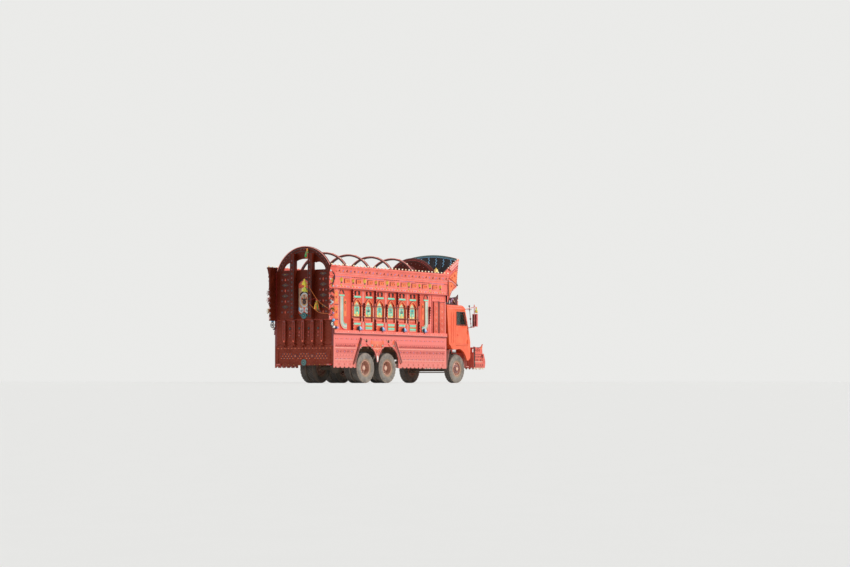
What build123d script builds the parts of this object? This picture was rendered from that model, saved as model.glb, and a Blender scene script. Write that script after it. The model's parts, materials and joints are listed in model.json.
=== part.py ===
from build123d import *
import os
from math import cos, hypot, radians, sin, sqrt

os.makedirs("parts", exist_ok=True)

# A painted three-axle cargo lorry in millimetres: X forward, Y to the left, Z up from the floor.
# The origin is on the floor under the middle of the overall length.
# Stations are lengths measured forward from the rear face of the cargo body.

# Lengths along the lorry
wing_reach = 310
body_length = 6950
cab_gap = 100
cab_length = 1610
bumper_gap = 230
bumper_depth = 830
cab_x = body_length + cab_gap
cab_front = cab_x + cab_length
bumper_rear = cab_front + bumper_gap
bumper_front = bumper_rear + bumper_depth
overall_length = wing_reach + bumper_front
rear = wing_reach - overall_length / 2
seat = 0.3
swing_gap = 10

# Wheels
tyre_radius = 520
tyre_width = 275
bead_radius = 254
bead_half = 88
shoulder_drop = 22
tread_half = 98
rim_wall = 12
rim_overhang = 16
flange_height = 9
flange_width = 9
disc_wall = 14
rear_axle_x = 1900
axle_pitch = 1320
mid_axle_x = rear_axle_x + axle_pitch
axle_setback = 800
front_axle_x = cab_front - axle_setback
front_tyre_y = 1000
twin_outer_y = 1100
twin_pitch = tyre_width + 35
hub_radius = 105
drum_radius = 190
hand_holes = 8
hand_hole_radius = 24
hand_hole_circle = 200
running_gap = 0.05

# Chassis frame
rail_outer = 460
rail_flange = 80
rail_wall = 10
rail_low = 850
rail_high = 1100
rail_mid = (rail_low + rail_high) / 2
rail_start = 160
rail_end = bumper_rear - seat
cross_depth = 160
cross_width = 70

# Engine, gearbox and drive
engine_length = 1000
engine_rear = cab_front - 310 - engine_length
engine_half = rail_outer - rail_flange - 50
engine_low = 700
engine_high = 1480
gearbox_length = 600
gearbox_low = 760
gearbox_high = 1090
shaft_radius = 45
flange_radius = 70
flange_wall = 30
diff_radius = 190
diff_half = 130
gearbox_out = (engine_rear - gearbox_length, 0, gearbox_low + 60)
mid_diff_in = (mid_axle_x + diff_half, 0, tyre_radius + 40)
bearing_x = (mid_axle_x + gearbox_out[0]) / 2
shaft_slope = (gearbox_out[2] - mid_diff_in[2]) / (gearbox_out[0] - mid_diff_in[0])
bearing_z = mid_diff_in[2] + shaft_slope * (bearing_x - mid_diff_in[0])
pipe_z = 740
pipe_radius = 45
silencer_radius = 125

# Springs, axles and steering
spring_y = rail_outer - rail_flange / 2
spring_width = 58
spring_half = 600
spring_pin = 10
spring_eye = 22
leaf_count = 6
leaf_wall = 14
leaf_step = 0.14
hanger_wall = 10
front_eye_z = tyre_radius + 220
front_spring_top = tyre_radius + 130
bogie_x = (rear_axle_x + mid_axle_x) / 2
bogie_end_z = tyre_radius + 85
bogie_mid_z = bogie_end_z + 85
axle_tube = 65
axle_tube_half = twin_outer_y - twin_pitch - 100
spindle_radius = 45
spindle_end = twin_outer_y
kingpin_y = front_tyre_y - 140
kingpin_radius = 20
knuckle_radius = 42
eye_half = 65
yoke_wall = 30
yoke_gap = 5
front_spindle = 35
front_spindle_end = front_tyre_y + 80
arm_length = 200
arm_eye = 26
tie_rod_radius = 18
ball_pin = 14

# Cargo floor
sill_height = 80
sill_width = 80
bearer_height = 80
bearer_width = 70
bearer_pitch = 680
deck_wall = 40
deck_low = rail_high + sill_height + bearer_height
deck_top = deck_low + deck_wall

# Cargo body walls
wall_inner = 1165
wall_thick = 60
wall_outer = wall_inner + wall_thick
wall_half = wall_inner - seat
panel_wall = 50
frieze_low = 3190
frieze_proud = 60
cornice_low = frieze_low + 430
cornice_top = cornice_low + 350
cornice_proud = 150
rib_proud = 30
rib_width = 74
belt_low = 1660
belt_high = 1800
belt_proud = 62
rib_pitch = 1355
rib_first = 1055
rear_post = 250
post_proud = 35
front_panel = 1100
front_frames = ((250, 550), (620, 950))
fin_depth = 110
fin_narrow = 75
fin_broad = 130
fin_wall = 24
tooth_pitch = 90
tooth_depth = 35
fin_low_top = 2200
fin_high_foot = 2750
niche_width = 420
niche_rim = 45
niche_proud = 16
niche_low = 2110
niche_spring = 2560
niche_apex = 2860
niche_depth = 30
leaf_height = 170
leaf_width = 115
leaf_low = 3005
leaf_apart = 240
curl_width = 220
curl_radius = 330
curl_top = 2950
curl_proud = 18
curl_tail = 60
curl_lift = 20
block_length = 280
block_height = 140
block_proud = 14
block_z = 3460
block_edge = 35

# Skirts
skirt_low = 520
skirt_high = belt_low
skirt_wall = 25
arch_half = tyre_radius + 95
arch_spring = 760
arch_shoulder = 1090
arch_neck = 1280
arch_apex = 1370
arch_trim = 32
trim_proud = 12
pendant_low = 740
strut_width = 80
strut_proud = 40
notch_radius = 45
notch_pitch = 250

# Rear end
tailgate_low = deck_top
tailgate_high = 2145
strap_pitch = 400
strap_count = 5
strap_width = 110
strap_proud = 80
strap_taper = 70
hinge_out = 40
hinge_pin = 12
hinge_eye = 30
hinge_eye_width = 60
lug_wall = 20
lug_gap = 2
pilaster_y = 380
pilaster_width = 150
pilaster_proud = 200
recess_low = 2240
recess_high = 3560
frame_band = 40
frame_proud = 15
wing_low = 2130
wing_wall = 50
gable_low = cornice_top - 120
gable_radius = wall_half + 75
gable_open_apex = gable_low + 380

# Roof
hoop_centre = frieze_low + 160
hoop_section = 70
hoop_step = 100
hoop_foot = hoop_centre - 250
headboard_x = body_length - 430
headboard_wall = 60
headboard_apex = cornice_top + 620

# Cab
cab_half = 1200
cab_wall = 50
cab_floor = 1370
cab_floor_wall = 30
cab_roof = 2870
axle_step = cab_length - axle_setback
cab_rear_lean = axle_step - 645
roof_front = cab_length - 730
brow = (cab_length - 360, cab_roof - 110)
scuttle = (cab_length - 130, 2020)
nose_z = 1520
chin_z = 930
lip_z = 830
door_rear = 610
door_high = cab_roof - 170
hinge = cab_length - 185
hinge_y = cab_half + 15
hinge_levels = (1520, 1880)
hinge_barrel = 14
barrel_height = 48
hinge_lug = 40
door_hinge_pin = 6
glass_wall = 6
window_low = scuttle[1] + 140
window_high = door_high - 110
screen_corner = 90
tunnel_half = engine_half + 60
tunnel_top = engine_high + 120
grille_half = cab_half - 580
grille_low = 1120
grille_high = 1450
grille_depth = 40
grille_border = 35
bar_pitch = 55
lamp_radius = 88

# Crown over the cab
crown_wall = 50
crown_half = wall_outer + frieze_proud
crown_low = cab_roof + 90
crown_apex = 4760
crown_height = crown_apex - crown_low
crown_tip_drop = 190

# Bumper
bumper_half = cab_half
bumper_wall = 30
bumper_low = 570
bumper_nose = 800
bumper_shelf = 1100
bumper_high = 1340
bumper_slope = 110


def at(x, y, z):
    """The point at station x."""
    return (rear + x, y, z)


def cross(x):
    """A plane across the lorry at station x: local x is to the left, local y is up, facing forward."""
    return Plane(origin=at(x, 0, 0), x_dir=(0, 1, 0), z_dir=(1, 0, 0))


def side(y=0, start=0):
    """A plane along the lorry, facing right: local x is measured forward from a station, local y is up."""
    return Plane(origin=at(start, y, 0), x_dir=(1, 0, 0), z_dir=(0, -1, 0))


def plan(z=0):
    """A level plane at height z: local x is the station, local y is to the left."""
    return Plane(origin=at(0, 0, z), x_dir=(1, 0, 0), z_dir=(0, 0, 1))


def across(x, y, z):
    """A plane at a point, facing left, for round pieces whose axis lies across the lorry."""
    return Plane(origin=at(x, y, z), z_dir=(0, 1, 0))


def ahead(x, y, z):
    """A plane at a point, facing forward, for round pieces whose axis lies along the lorry."""
    return Plane(origin=at(x, y, z), z_dir=(1, 0, 0))


def along(start, end):
    """A plane at one end of a rod, facing its other end, and the rod's length."""
    a = Vector(at(*start))
    b = Vector(at(*end))
    return Plane(origin=a, z_dir=b - a), (b - a).length


# Ladder frame: two channels, cross-members between their webs, the cab's mounting blocks, the front springs'
# hangers, the rear springs' saddles and the centre bearing's hanger
cross_stations = (
    rail_start + 100,
    rear_axle_x - 650,
    rear_axle_x + 280,
    mid_axle_x - 280,
    mid_axle_x + 680,
    bearing_x,
    (bearing_x + gearbox_out[0]) / 2,
    gearbox_out[0] - 190,
    bumper_rear - 110,
)
hanger_drop = 25
bearing_drop = 90
with BuildPart() as chassis_frame:
    for hand in (-1, 1):
        with BuildSketch(cross(rail_start)):
            with Locations((hand * (rail_outer - rail_flange / 2), rail_mid)):
                Rectangle(rail_flange, rail_high - rail_low)
            with Locations((hand * (rail_outer - rail_wall - rail_flange / 2), rail_mid)):
                Rectangle(rail_flange, rail_high - rail_low - 2 * rail_wall, mode=Mode.SUBTRACT)
        extrude(amount=rail_end - rail_start)
    for x in cross_stations:
        with Locations(at(x, 0, rail_mid)):
            Box(cross_width, 2 * (rail_outer - rail_wall), cross_depth)
    mount_height = cab_floor - cab_floor_wall - rail_high
    for x in (engine_rear + 170, engine_rear + engine_length + 70):
        for hand in (-1, 1):
            with Locations(at(x, hand * spring_y, rail_high + mount_height / 2)):
                Box(120, rail_flange, mount_height)
    for x in (front_axle_x - spring_half, front_axle_x + spring_half):
        for hand in (-1, 1):
            for edge in (-1, 1):
                cheek_y = hand * spring_y + edge * (spring_width / 2 + hanger_wall / 2 + seat)
                with Locations(at(x, cheek_y, (rail_low + front_eye_z - hanger_drop) / 2)):
                    Box(70, hanger_wall, rail_low - front_eye_z + hanger_drop)
            with Locations(across(x, hand * spring_y, front_eye_z)):
                Cylinder(spring_pin, spring_width + 2 * hanger_wall)
    saddle_low = bogie_mid_z + leaf_count * leaf_wall
    for hand in (-1, 1):
        with Locations(at(bogie_x, hand * spring_y, (rail_low + saddle_low) / 2)):
            Box(220, spring_width, rail_low - saddle_low)
    hanger_top = rail_mid - cross_depth / 2
    with Locations(at(bearing_x, 0, (hanger_top + bearing_z - bearing_drop) / 2)):
        Box(60, 150, hanger_top - bearing_z + bearing_drop)
    shaft_plane, shaft_length = along(gearbox_out, mid_diff_in)
    with BuildSketch(shaft_plane):
        Circle(shaft_radius + seat)
    extrude(amount=shaft_length, mode=Mode.SUBTRACT)
chassis_frame.part.label = "chassis_frame"
export_step(chassis_frame.part, "parts/chassis_frame.step")

# Cargo floor: deck, cross-bearers and the two sills that lie on the frame
with BuildPart() as load_floor:
    deck_start = panel_wall + seat
    deck_end = body_length - panel_wall - seat
    with BuildSketch(plan(deck_low)):
        with Locations(((deck_start + deck_end) / 2, 0)):
            Rectangle(deck_end - deck_start, 2 * wall_half)
    extrude(amount=deck_wall)
    bearer_mid = deck_low - bearer_height / 2
    bearer_count = int((deck_end - deck_start - bearer_width) // bearer_pitch) + 1
    for i in range(bearer_count):
        with Locations(at(deck_start + bearer_width / 2 + i * bearer_pitch, 0, bearer_mid)):
            Box(bearer_width, 2 * wall_half, bearer_height)
    for hand in (-1, 1):
        with BuildSketch(cross(rail_start)):
            with Locations((hand * (rail_outer - sill_width / 2), rail_high + sill_height / 2)):
                Rectangle(sill_width, sill_height)
        extrude(amount=deck_end - rail_start)
load_floor.part.label = "load_floor"
export_step(load_floor.part, "parts/load_floor.step")


def fin(x, low, high, foot_depth, head_depth):
    """An upright toothed board on the right-hand wall, of its own depth at foot and head."""
    teeth = round((high - low) / tooth_pitch)
    step = (high - low) / teeth
    lean = (head_depth - foot_depth) / (high - low)
    points = [(-wall_outer, low)]
    for i in range(teeth):
        for share, cut in ((0, tooth_depth), (0.5, 0)):
            rise = (i + share) * step
            points.append((cut - wall_outer - foot_depth - lean * rise, low + rise))
    points.append((tooth_depth - wall_outer - head_depth, high))
    points.append((-wall_outer, high))
    with BuildLine() as outline:
        Polyline(*points, close=True)
    with BuildSketch(cross(x - fin_wall / 2)) as board:
        make_face(outline.edges())
    extrude(board.sketch, amount=fin_wall)


def curl(x, hand):
    """A raised band on the right-hand wall: upright at station x, with a quarter turn at its foot."""
    turn_z = belt_high + curl_radius + curl_lift
    inner = curl_radius - curl_width
    foot = x + hand * (curl_radius + curl_tail)
    centre_x = x + hand * curl_radius
    outer_mid = (centre_x - hand * curl_radius * cos(radians(45)), turn_z - curl_radius * sin(radians(45)))
    inner_mid = (centre_x - hand * inner * cos(radians(45)), turn_z - inner * sin(radians(45)))
    with BuildLine() as outline:
        Line((x, curl_top), (x, turn_z))
        ThreePointArc((x, turn_z), outer_mid, (centre_x, turn_z - curl_radius))
        Polyline(
            (centre_x, turn_z - curl_radius),
            (foot, turn_z - curl_radius),
            (foot, turn_z - inner),
            (centre_x, turn_z - inner),
        )
        ThreePointArc((centre_x, turn_z - inner), inner_mid, (x + hand * curl_width, turn_z))
        Polyline((x + hand * curl_width, turn_z), (x + hand * curl_width, curl_top), (x, curl_top))
    with BuildSketch(side(-wall_outer)) as band:
        make_face(outline.edges())
    extrude(band.sketch, amount=curl_proud)


def cornice(inner, start, length):
    """The right-hand frieze and flared cornice as one moulding, from an inner half width outwards."""
    with BuildLine() as outline:
        Polyline(
            (-inner, frieze_low),
            (-wall_outer - frieze_proud - 15, frieze_low),
            (-wall_outer - frieze_proud - 15, frieze_low + 40),
            (-wall_outer - frieze_proud, frieze_low + 55),
            (-wall_outer - frieze_proud, cornice_low - 25),
            (-wall_outer - frieze_proud - 25, cornice_low),
            (-wall_outer - frieze_proud - 25, cornice_low + 40),
            (-wall_outer - frieze_proud - 10, cornice_low + 60),
            (-wall_outer - cornice_proud + 20, cornice_top - 50),
            (-wall_outer - cornice_proud, cornice_top - 50),
            (-wall_outer - cornice_proud, cornice_top),
            (-inner, cornice_top),
            close=True,
        )
    with BuildSketch(cross(start)) as section:
        make_face(outline.edges())
    extrude(section.sketch, amount=length)


def niche(x, grow):
    """The outline of the pointed niche at station x on the right-hand wall, grown all round."""
    half = niche_width / 2 + grow
    low = niche_low - grow
    apex = niche_apex + grow
    shoulder = niche_spring + 0.62 * (apex - niche_spring)
    with BuildLine() as outline:
        Line((x - half, low), (x + half, low))
        Line((x + half, low), (x + half, niche_spring))
        ThreePointArc((x + half, niche_spring), (x + 0.72 * half, shoulder), (x, apex))
        ThreePointArc((x, apex), (x - 0.72 * half, shoulder), (x - half, niche_spring))
        Line((x - half, niche_spring), (x - half, low))
    return outline.edges()


# Side wall: panel with a rear post, ribs with toothed fins, rimmed niches under paired leaf shapes, a curled
# band at each end, two front panels, the belt rail, and the frieze with its framed blocks under the cornice
bays_end = body_length - front_panel
bay_count = int((bays_end - rib_first) // rib_pitch)
rib_stations = [rib_first + rib_pitch * i for i in range(bay_count + 1)]
niche_stations = [rib + share * rib_pitch for rib in rib_stations[:-1] for share in (0.25, 0.75)]
block_first = rib_first - rib_pitch / 4
block_count = int((body_length - block_length / 2 - block_first) // (rib_pitch / 2)) + 1
block_stations = [block_first + rib_pitch / 2 * i for i in range(block_count)]
with BuildPart() as side_wall_right:
    with BuildSketch(side(-wall_inner)):
        with Locations((body_length / 2, (deck_low + frieze_low) / 2)):
            Rectangle(body_length, frieze_low - deck_low)
    extrude(amount=wall_thick)
    post_mid = (belt_high + frieze_low) / 2
    with BuildSketch(side(-wall_outer)):
        with Locations((rear_post / 2, post_mid)):
            Rectangle(rear_post, frieze_low - belt_high)
    extrude(amount=post_proud)
    with BuildSketch(side(-wall_outer)):
        for x in rib_stations:
            with Locations((x, post_mid)):
                Rectangle(rib_width, frieze_low - belt_high)
    extrude(amount=rib_proud)
    for x in rib_stations:
        fin(x, belt_high, fin_low_top, fin_depth, fin_depth)
        fin(x, fin_high_foot, frieze_low, fin_depth, fin_depth)
        fin(x + rib_pitch / 2, niche_low, fin_high_foot, fin_narrow, fin_broad)
    curl(rear_post + 100, 1)
    curl(bays_end - 100, -1)
    with BuildSketch(side(-wall_outer, bays_end)):
        for start, end in front_frames:
            with Locations(((start + end) / 2, (belt_high + curl_top) / 2)):
                Rectangle(end - start, curl_top - belt_high)
    extrude(amount=post_proud)
    with BuildSketch(side(-wall_outer)):
        with Locations((body_length / 2, (belt_low + belt_high) / 2)):
            Rectangle(body_length, belt_high - belt_low)
    extrude(amount=belt_proud)
    for x in niche_stations:
        with BuildSketch(side(-wall_outer)):
            make_face(niche(x, niche_rim))
        extrude(amount=niche_proud)
        with BuildSketch(side(-wall_outer + niche_depth)):
            make_face(niche(x, 0))
        extrude(amount=niche_depth + niche_proud, mode=Mode.SUBTRACT)
        for hand in (-1, 1):
            leaf_x = x + hand * leaf_apart / 2
            leaf_top = leaf_low + leaf_height
            tip_x = leaf_x - hand * leaf_width / 2
            front_mid = (leaf_x + leaf_width / 2, leaf_low + 0.5 * leaf_height)
            back_mid = (leaf_x - leaf_width / 2, leaf_low + 0.6 * leaf_height)
            with BuildSketch(side(-wall_outer + niche_depth)):
                with BuildLine():
                    ThreePointArc((tip_x, leaf_low), front_mid, (leaf_x, leaf_top))
                    ThreePointArc((leaf_x, leaf_top), back_mid, (tip_x, leaf_low))
                make_face()
            extrude(amount=niche_depth, mode=Mode.SUBTRACT)
    cornice(wall_inner, 0, body_length)
    with BuildSketch(side(-wall_outer - frieze_proud)):
        for x in block_stations:
            with Locations((x, block_z)):
                Rectangle(block_length, block_height)
                Rectangle(block_length - 2 * block_edge, block_height - 2 * block_edge, mode=Mode.SUBTRACT)
    extrude(amount=block_proud)
side_wall_right.part.label = "side_wall_right"
export_step(side_wall_right.part, "parts/side_wall_right.step")

with BuildPart() as side_wall_left:
    mirror(side_wall_right.part, about=Plane.XZ)
side_wall_left.part.label = "side_wall_left"
export_step(side_wall_left.part, "parts/side_wall_left.step")


def wheel_arch(axle, grow):
    """A pointed arch's face over a rear wheel, widened all round by grow."""
    half = arch_half + grow
    shoulder = (0.78 * arch_half + grow, arch_shoulder + 0.6 * grow)
    neck = (130 + 0.4 * grow, arch_neck + grow)
    apex = arch_apex + 1.4 * grow
    with BuildLine() as outline:
        Line((axle - half, skirt_low), (axle - half, arch_spring))
        ThreePointArc((axle - half, arch_spring), (axle - shoulder[0], shoulder[1]), (axle - neck[0], neck[1]))
        Polyline((axle - neck[0], neck[1]), (axle, apex), (axle + neck[0], neck[1]))
        ThreePointArc((axle + neck[0], neck[1]), (axle + shoulder[0], shoulder[1]), (axle + half, arch_spring))
        Polyline((axle + half, arch_spring), (axle + half, skirt_low), (axle - half, skirt_low))
    return outline.edges()


# Skirt: a deep valance with a trimmed pointed arch over each rear wheel, a pendant between them, two slanted
# struts and a notched lower edge
with BuildPart() as skirt_right:
    axles = (rear_axle_x, mid_axle_x)
    pendant_gap = axle_pitch - 2 * arch_half + 100
    with BuildSketch(side(-wall_outer)):
        with Locations((body_length / 2, (skirt_low + skirt_high) / 2)):
            Rectangle(body_length, skirt_high - skirt_low)
        for axle in axles:
            make_face(wheel_arch(axle, 0), mode=Mode.SUBTRACT)
        with Locations((bogie_x, (skirt_low + pendant_low) / 2)):
            Rectangle(pendant_gap, pendant_low - skirt_low, mode=Mode.SUBTRACT)
        for i in range(int(body_length // notch_pitch)):
            x = (i + 0.5) * notch_pitch
            if min(abs(x - axle) for axle in axles) > arch_half + 2 * notch_radius:
                with Locations((x, skirt_low)):
                    Circle(notch_radius, mode=Mode.SUBTRACT)
    extrude(amount=skirt_wall)
    with BuildSketch(side(-wall_outer - skirt_wall)):
        for axle in axles:
            make_face(wheel_arch(axle, arch_trim))
        for axle in axles:
            make_face(wheel_arch(axle, 0), mode=Mode.SUBTRACT)
        with Locations((bogie_x, (skirt_low + pendant_low) / 2)):
            Rectangle(pendant_gap, pendant_low - skirt_low, mode=Mode.SUBTRACT)
    extrude(amount=trim_proud)
    struts = (
        ((rear_axle_x - 750, 660), (rear_axle_x - 330, 1530)),
        ((mid_axle_x + 780, 710), (mid_axle_x + 390, 1460)),
    )
    for foot, head in struts:
        with BuildSketch(side(-wall_outer - skirt_wall)):
            with BuildLine():
                strut = Line(foot, head)
            make_hull(offset(strut, amount=strut_width / 2, side=Side.BOTH).edges())
        extrude(amount=strut_proud)
skirt_right.part.label = "skirt_right"
export_step(skirt_right.part, "parts/skirt_right.step")

with BuildPart() as skirt_left:
    mirror(skirt_right.part, about=Plane.XZ)
skirt_left.part.label = "skirt_left"
export_step(skirt_left.part, "parts/skirt_left.step")

# Rear wall above the tailgate: a tall recess between two standing pilasters, a raised frame on each side, and
# the arched gable with its openings
with BuildPart() as rear_wall:
    wall_low = tailgate_high + swing_gap
    with BuildSketch(cross(0)):
        with Locations((0, (wall_low + gable_low) / 2)):
            Rectangle(2 * wall_half, gable_low - wall_low)
    extrude(amount=panel_wall)
    recess_half = pilaster_y - pilaster_width / 2 - 20
    with BuildSketch(cross(0)):
        with Locations((0, (recess_low + recess_high) / 2)):
            SlotOverall(recess_high - recess_low, 2 * recess_half, rotation=90)
    extrude(amount=panel_wall / 2, mode=Mode.SUBTRACT)
    pilaster_low = wall_low + 30
    pilaster_high = gable_open_apex + 180
    with BuildSketch(cross(0)):
        for hand in (-1, 1):
            with Locations((hand * pilaster_y, (pilaster_low + pilaster_high) / 2)):
                Rectangle(pilaster_width, pilaster_high - pilaster_low)
    extrude(amount=-pilaster_proud)
    frame_inner = pilaster_y + pilaster_width / 2 + 45
    frame_outer = wall_half - 45
    frame_low = wall_low + 70
    frame_high = gable_low - 60
    with BuildSketch(cross(0)):
        for hand in (-1, 1):
            with Locations((hand * (frame_inner + frame_outer) / 2, (frame_low + frame_high) / 2)):
                Rectangle(frame_outer - frame_inner, frame_high - frame_low)
                Rectangle(
                    frame_outer - frame_inner - 2 * frame_band,
                    frame_high - frame_low - 2 * frame_band,
                    mode=Mode.SUBTRACT,
                )
    extrude(amount=-frame_proud)
    gable_centre = gable_low - sqrt(gable_radius**2 - wall_half**2)
    with BuildSketch(cross(0)):
        with Locations((0, gable_centre)):
            Circle(gable_radius)
        with Locations((0, gable_low - gable_radius)):
            Rectangle(3 * gable_radius, 2 * gable_radius, mode=Mode.SUBTRACT)
        with BuildLine():
            opening_low = gable_low - 20
            Line((-900, opening_low), (900, opening_low))
            ThreePointArc((900, opening_low), (760, gable_open_apex - 170), (480, gable_open_apex - 140))
            ThreePointArc((480, gable_open_apex - 140), (270, gable_open_apex - 40), (0, gable_open_apex))
            ThreePointArc((0, gable_open_apex), (-270, gable_open_apex - 40), (-480, gable_open_apex - 140))
            ThreePointArc((-480, gable_open_apex - 140), (-760, gable_open_apex - 170), (-900, opening_low))
        make_face(mode=Mode.SUBTRACT)
    extrude(amount=panel_wall)
rear_wall.part.label = "rear_wall"
export_step(rear_wall.part, "parts/rear_wall.step")

# Corner wings: two fins that stand out behind the rear face under the cornice's ends, scalloped at the rear
with BuildPart() as corner_wings:
    scallops = 6
    scallop_pitch = (frieze_low - wing_low) / scallops
    with BuildSketch(side(-wall_outer)):
        with Locations((-wing_reach / 2, (wing_low + frieze_low) / 2)):
            Rectangle(wing_reach, frieze_low - wing_low)
        for i in range(scallops):
            with Locations((-wing_reach, wing_low + (i + 0.5) * scallop_pitch)):
                Circle(0.34 * scallop_pitch, mode=Mode.SUBTRACT)
    extrude(amount=wing_wall)
    cornice(wall_outer, -wing_reach, wing_reach - seat)
    mirror(about=Plane.XZ)
corner_wings.part.label = "corner_wings"
export_step(corner_wings.part, "parts/corner_wings.step")

# Rear skirt below the tailgate, carrying the hinge lugs and pins
strap_places = [strap_pitch * (i - (strap_count - 1) / 2) for i in range(strap_count)]
with BuildPart() as rear_skirt:
    rear_skirt_low = 600
    rear_skirt_high = tailgate_low - swing_gap
    with BuildSketch(cross(0)):
        with Locations((0, (rear_skirt_low + rear_skirt_high) / 2)):
            Rectangle(2 * wall_outer - 2 * seat, rear_skirt_high - rear_skirt_low)
        for hand in (-1, 1):
            with Locations((hand * wall_outer, deck_low - seat + wall_thick / 2)):
                Rectangle(2 * (wall_thick + seat), wall_thick, mode=Mode.SUBTRACT)
    extrude(amount=panel_wall)
    border_width = 2 * wall_outer - 200
    border_height = rear_skirt_high - rear_skirt_low - 240
    border_band = 35
    with BuildSketch(cross(0)):
        with Locations((0, (rear_skirt_low + rear_skirt_high) / 2 - 60)):
            Rectangle(border_width, border_height)
            Rectangle(border_width - 2 * border_band, border_height - 2 * border_band, mode=Mode.SUBTRACT)
    extrude(amount=-frame_proud)
    for y in strap_places:
        for hand in (-1, 1):
            lug_y = y + hand * (hinge_eye_width / 2 + lug_gap + lug_wall / 2)
            with Locations(across(-hinge_out, lug_y, tailgate_low)):
                Cylinder(hinge_eye, lug_wall)
            with Locations(at(-hinge_out / 2, lug_y, rear_skirt_high - hinge_eye)):
                Box(hinge_out, lug_wall, 2 * hinge_eye)
            with Locations(at(-hinge_out, lug_y, tailgate_low - hinge_eye / 2 - 5)):
                Box(hinge_eye, lug_wall, hinge_eye + 10)
        with Locations(across(-hinge_out, y, tailgate_low)):
            Cylinder(hinge_pin, hinge_eye_width + 2 * lug_wall)
rear_skirt.part.label = "rear_skirt"
export_step(rear_skirt.part, "parts/rear_skirt.step")

# Tailgate: panel with strap hinges whose eyes turn on the pins, and raised round-headed frames between straps
with BuildPart() as tailgate:
    gate_half = wall_inner - swing_gap
    gate_low = tailgate_low + swing_gap
    with BuildSketch(cross(0)):
        with Locations((0, (gate_low + tailgate_high) / 2)):
            Rectangle(2 * gate_half, tailgate_high - gate_low)
    extrude(amount=panel_wall)
    strap_low = tailgate_low + hinge_eye + swing_gap
    for y in strap_places:
        with BuildSketch(cross(0)):
            with BuildLine():
                Polyline(
                    (y - strap_width / 2, tailgate_high),
                    (y + strap_width / 2, tailgate_high),
                    (y + strap_width / 2, strap_low + strap_taper),
                    (y + hinge_eye_width / 2, strap_low),
                    (y - hinge_eye_width / 2, strap_low),
                    (y - strap_width / 2, strap_low + strap_taper),
                    close=True,
                )
            make_face()
        extrude(amount=-strap_proud)
        with Locations(at(-hinge_out, y, tailgate_low + hinge_eye)):
            Box(2 * hinge_eye - 10, hinge_eye_width, 2 * hinge_eye)
        with Locations(across(-hinge_out, y, tailgate_low)):
            Cylinder(hinge_eye, hinge_eye_width)
            Cylinder(hinge_pin + running_gap, hinge_eye_width + 2 * lug_wall, mode=Mode.SUBTRACT)
    light_width = strap_pitch - strap_width - 60
    light_low = strap_low + strap_taper + 60
    light_spring = tailgate_high - 60 - light_width / 2
    with BuildSketch(cross(0)):
        for left, right in zip(strap_places, strap_places[1:]):
            for width, foot, keep in (
                (light_width, light_low, Mode.ADD),
                (light_width - 50, light_low + 25, Mode.SUBTRACT),
            ):
                with Locations(((left + right) / 2, (foot + light_spring) / 2)):
                    Rectangle(width, light_spring - foot, mode=keep)
                with Locations(((left + right) / 2, light_spring)):
                    Circle(width / 2, mode=keep)
    extrude(amount=-frame_proud)
tailgate.part.label = "tailgate"
export_step(tailgate.part, "parts/tailgate.step")

# Roof hoops, whose feet lie against the inner faces of the side walls
with BuildPart() as roof_hoops:
    hoop_outer = wall_inner - seat
    for x in [rib + hoop_step for rib in rib_stations]:
        with BuildSketch(cross(x - hoop_section / 2)):
            with Locations((0, hoop_centre)):
                Circle(hoop_outer)
            with Locations((0, (hoop_centre + hoop_foot) / 2)):
                Rectangle(2 * hoop_outer, hoop_centre - hoop_foot)
            with Locations((0, hoop_centre)):
                Circle(hoop_outer - hoop_section, mode=Mode.SUBTRACT)
            with Locations((0, hoop_centre - hoop_outer / 2)):
                Rectangle(2 * (hoop_outer - hoop_section), hoop_outer, mode=Mode.SUBTRACT)
            with Locations((0, hoop_foot - hoop_outer)):
                Rectangle(3 * hoop_outer, 2 * hoop_outer, mode=Mode.SUBTRACT)
        extrude(amount=hoop_section)
roof_hoops.part.label = "roof_hoops"
export_step(roof_hoops.part, "parts/roof_hoops.step")

# Headboard: front wall of the load space, a shelf over it and the filled arch with a raised rim
headboard_rise = headboard_apex - cornice_low
headboard_radius = (headboard_rise**2 + wall_half**2) / (2 * headboard_rise)
headboard_rim = 60
with BuildPart() as headboard:
    with BuildSketch(cross(body_length - panel_wall)):
        with Locations((0, (deck_low + cornice_low) / 2)):
            Rectangle(2 * wall_half, cornice_low - deck_low)
    extrude(amount=panel_wall)
    with BuildSketch(plan(cornice_low - panel_wall)):
        with Locations(((headboard_x + body_length) / 2, 0)):
            Rectangle(body_length - headboard_x, 2 * wall_half)
    extrude(amount=panel_wall)
    with BuildSketch(cross(headboard_x)):
        with Locations((0, headboard_apex - headboard_radius)):
            Circle(headboard_radius)
        with Locations((0, cornice_low - headboard_radius)):
            Rectangle(3 * headboard_radius, 2 * headboard_radius, mode=Mode.SUBTRACT)
    extrude(amount=headboard_wall)
    with BuildSketch(cross(headboard_x)):
        with Locations((0, headboard_apex - headboard_radius)):
            Circle(headboard_radius)
            Circle(headboard_radius - headboard_rim, mode=Mode.SUBTRACT)
        with Locations((0, cornice_low - headboard_radius)):
            Rectangle(3 * headboard_radius, 2 * headboard_radius, mode=Mode.SUBTRACT)
    extrude(amount=-frame_proud)
headboard.part.label = "headboard"
export_step(headboard.part, "parts/headboard.step")

# Crown: a flared prow over the cab, open at the top behind, with an arched upper edge, a double moulding along
# each cheek's upper edge and a lip moulding at its foot. Its outline is told forward of the cargo body's front
# face, with heights as shares of the crown's height.
crown_steps = (
    (50, 0.0),
    (85, 0.067),
    (190, 0.189),
    (350, 0.283),
    (610, 0.339),
    (640, 0.378),
    (650, 0.467),
    (740, 0.733),
    (820, 1.0),
)
crown_heel = -340
crown_front = crown_steps[-1][0]


def crown_z(share):
    return crown_low + share * crown_height


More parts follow.
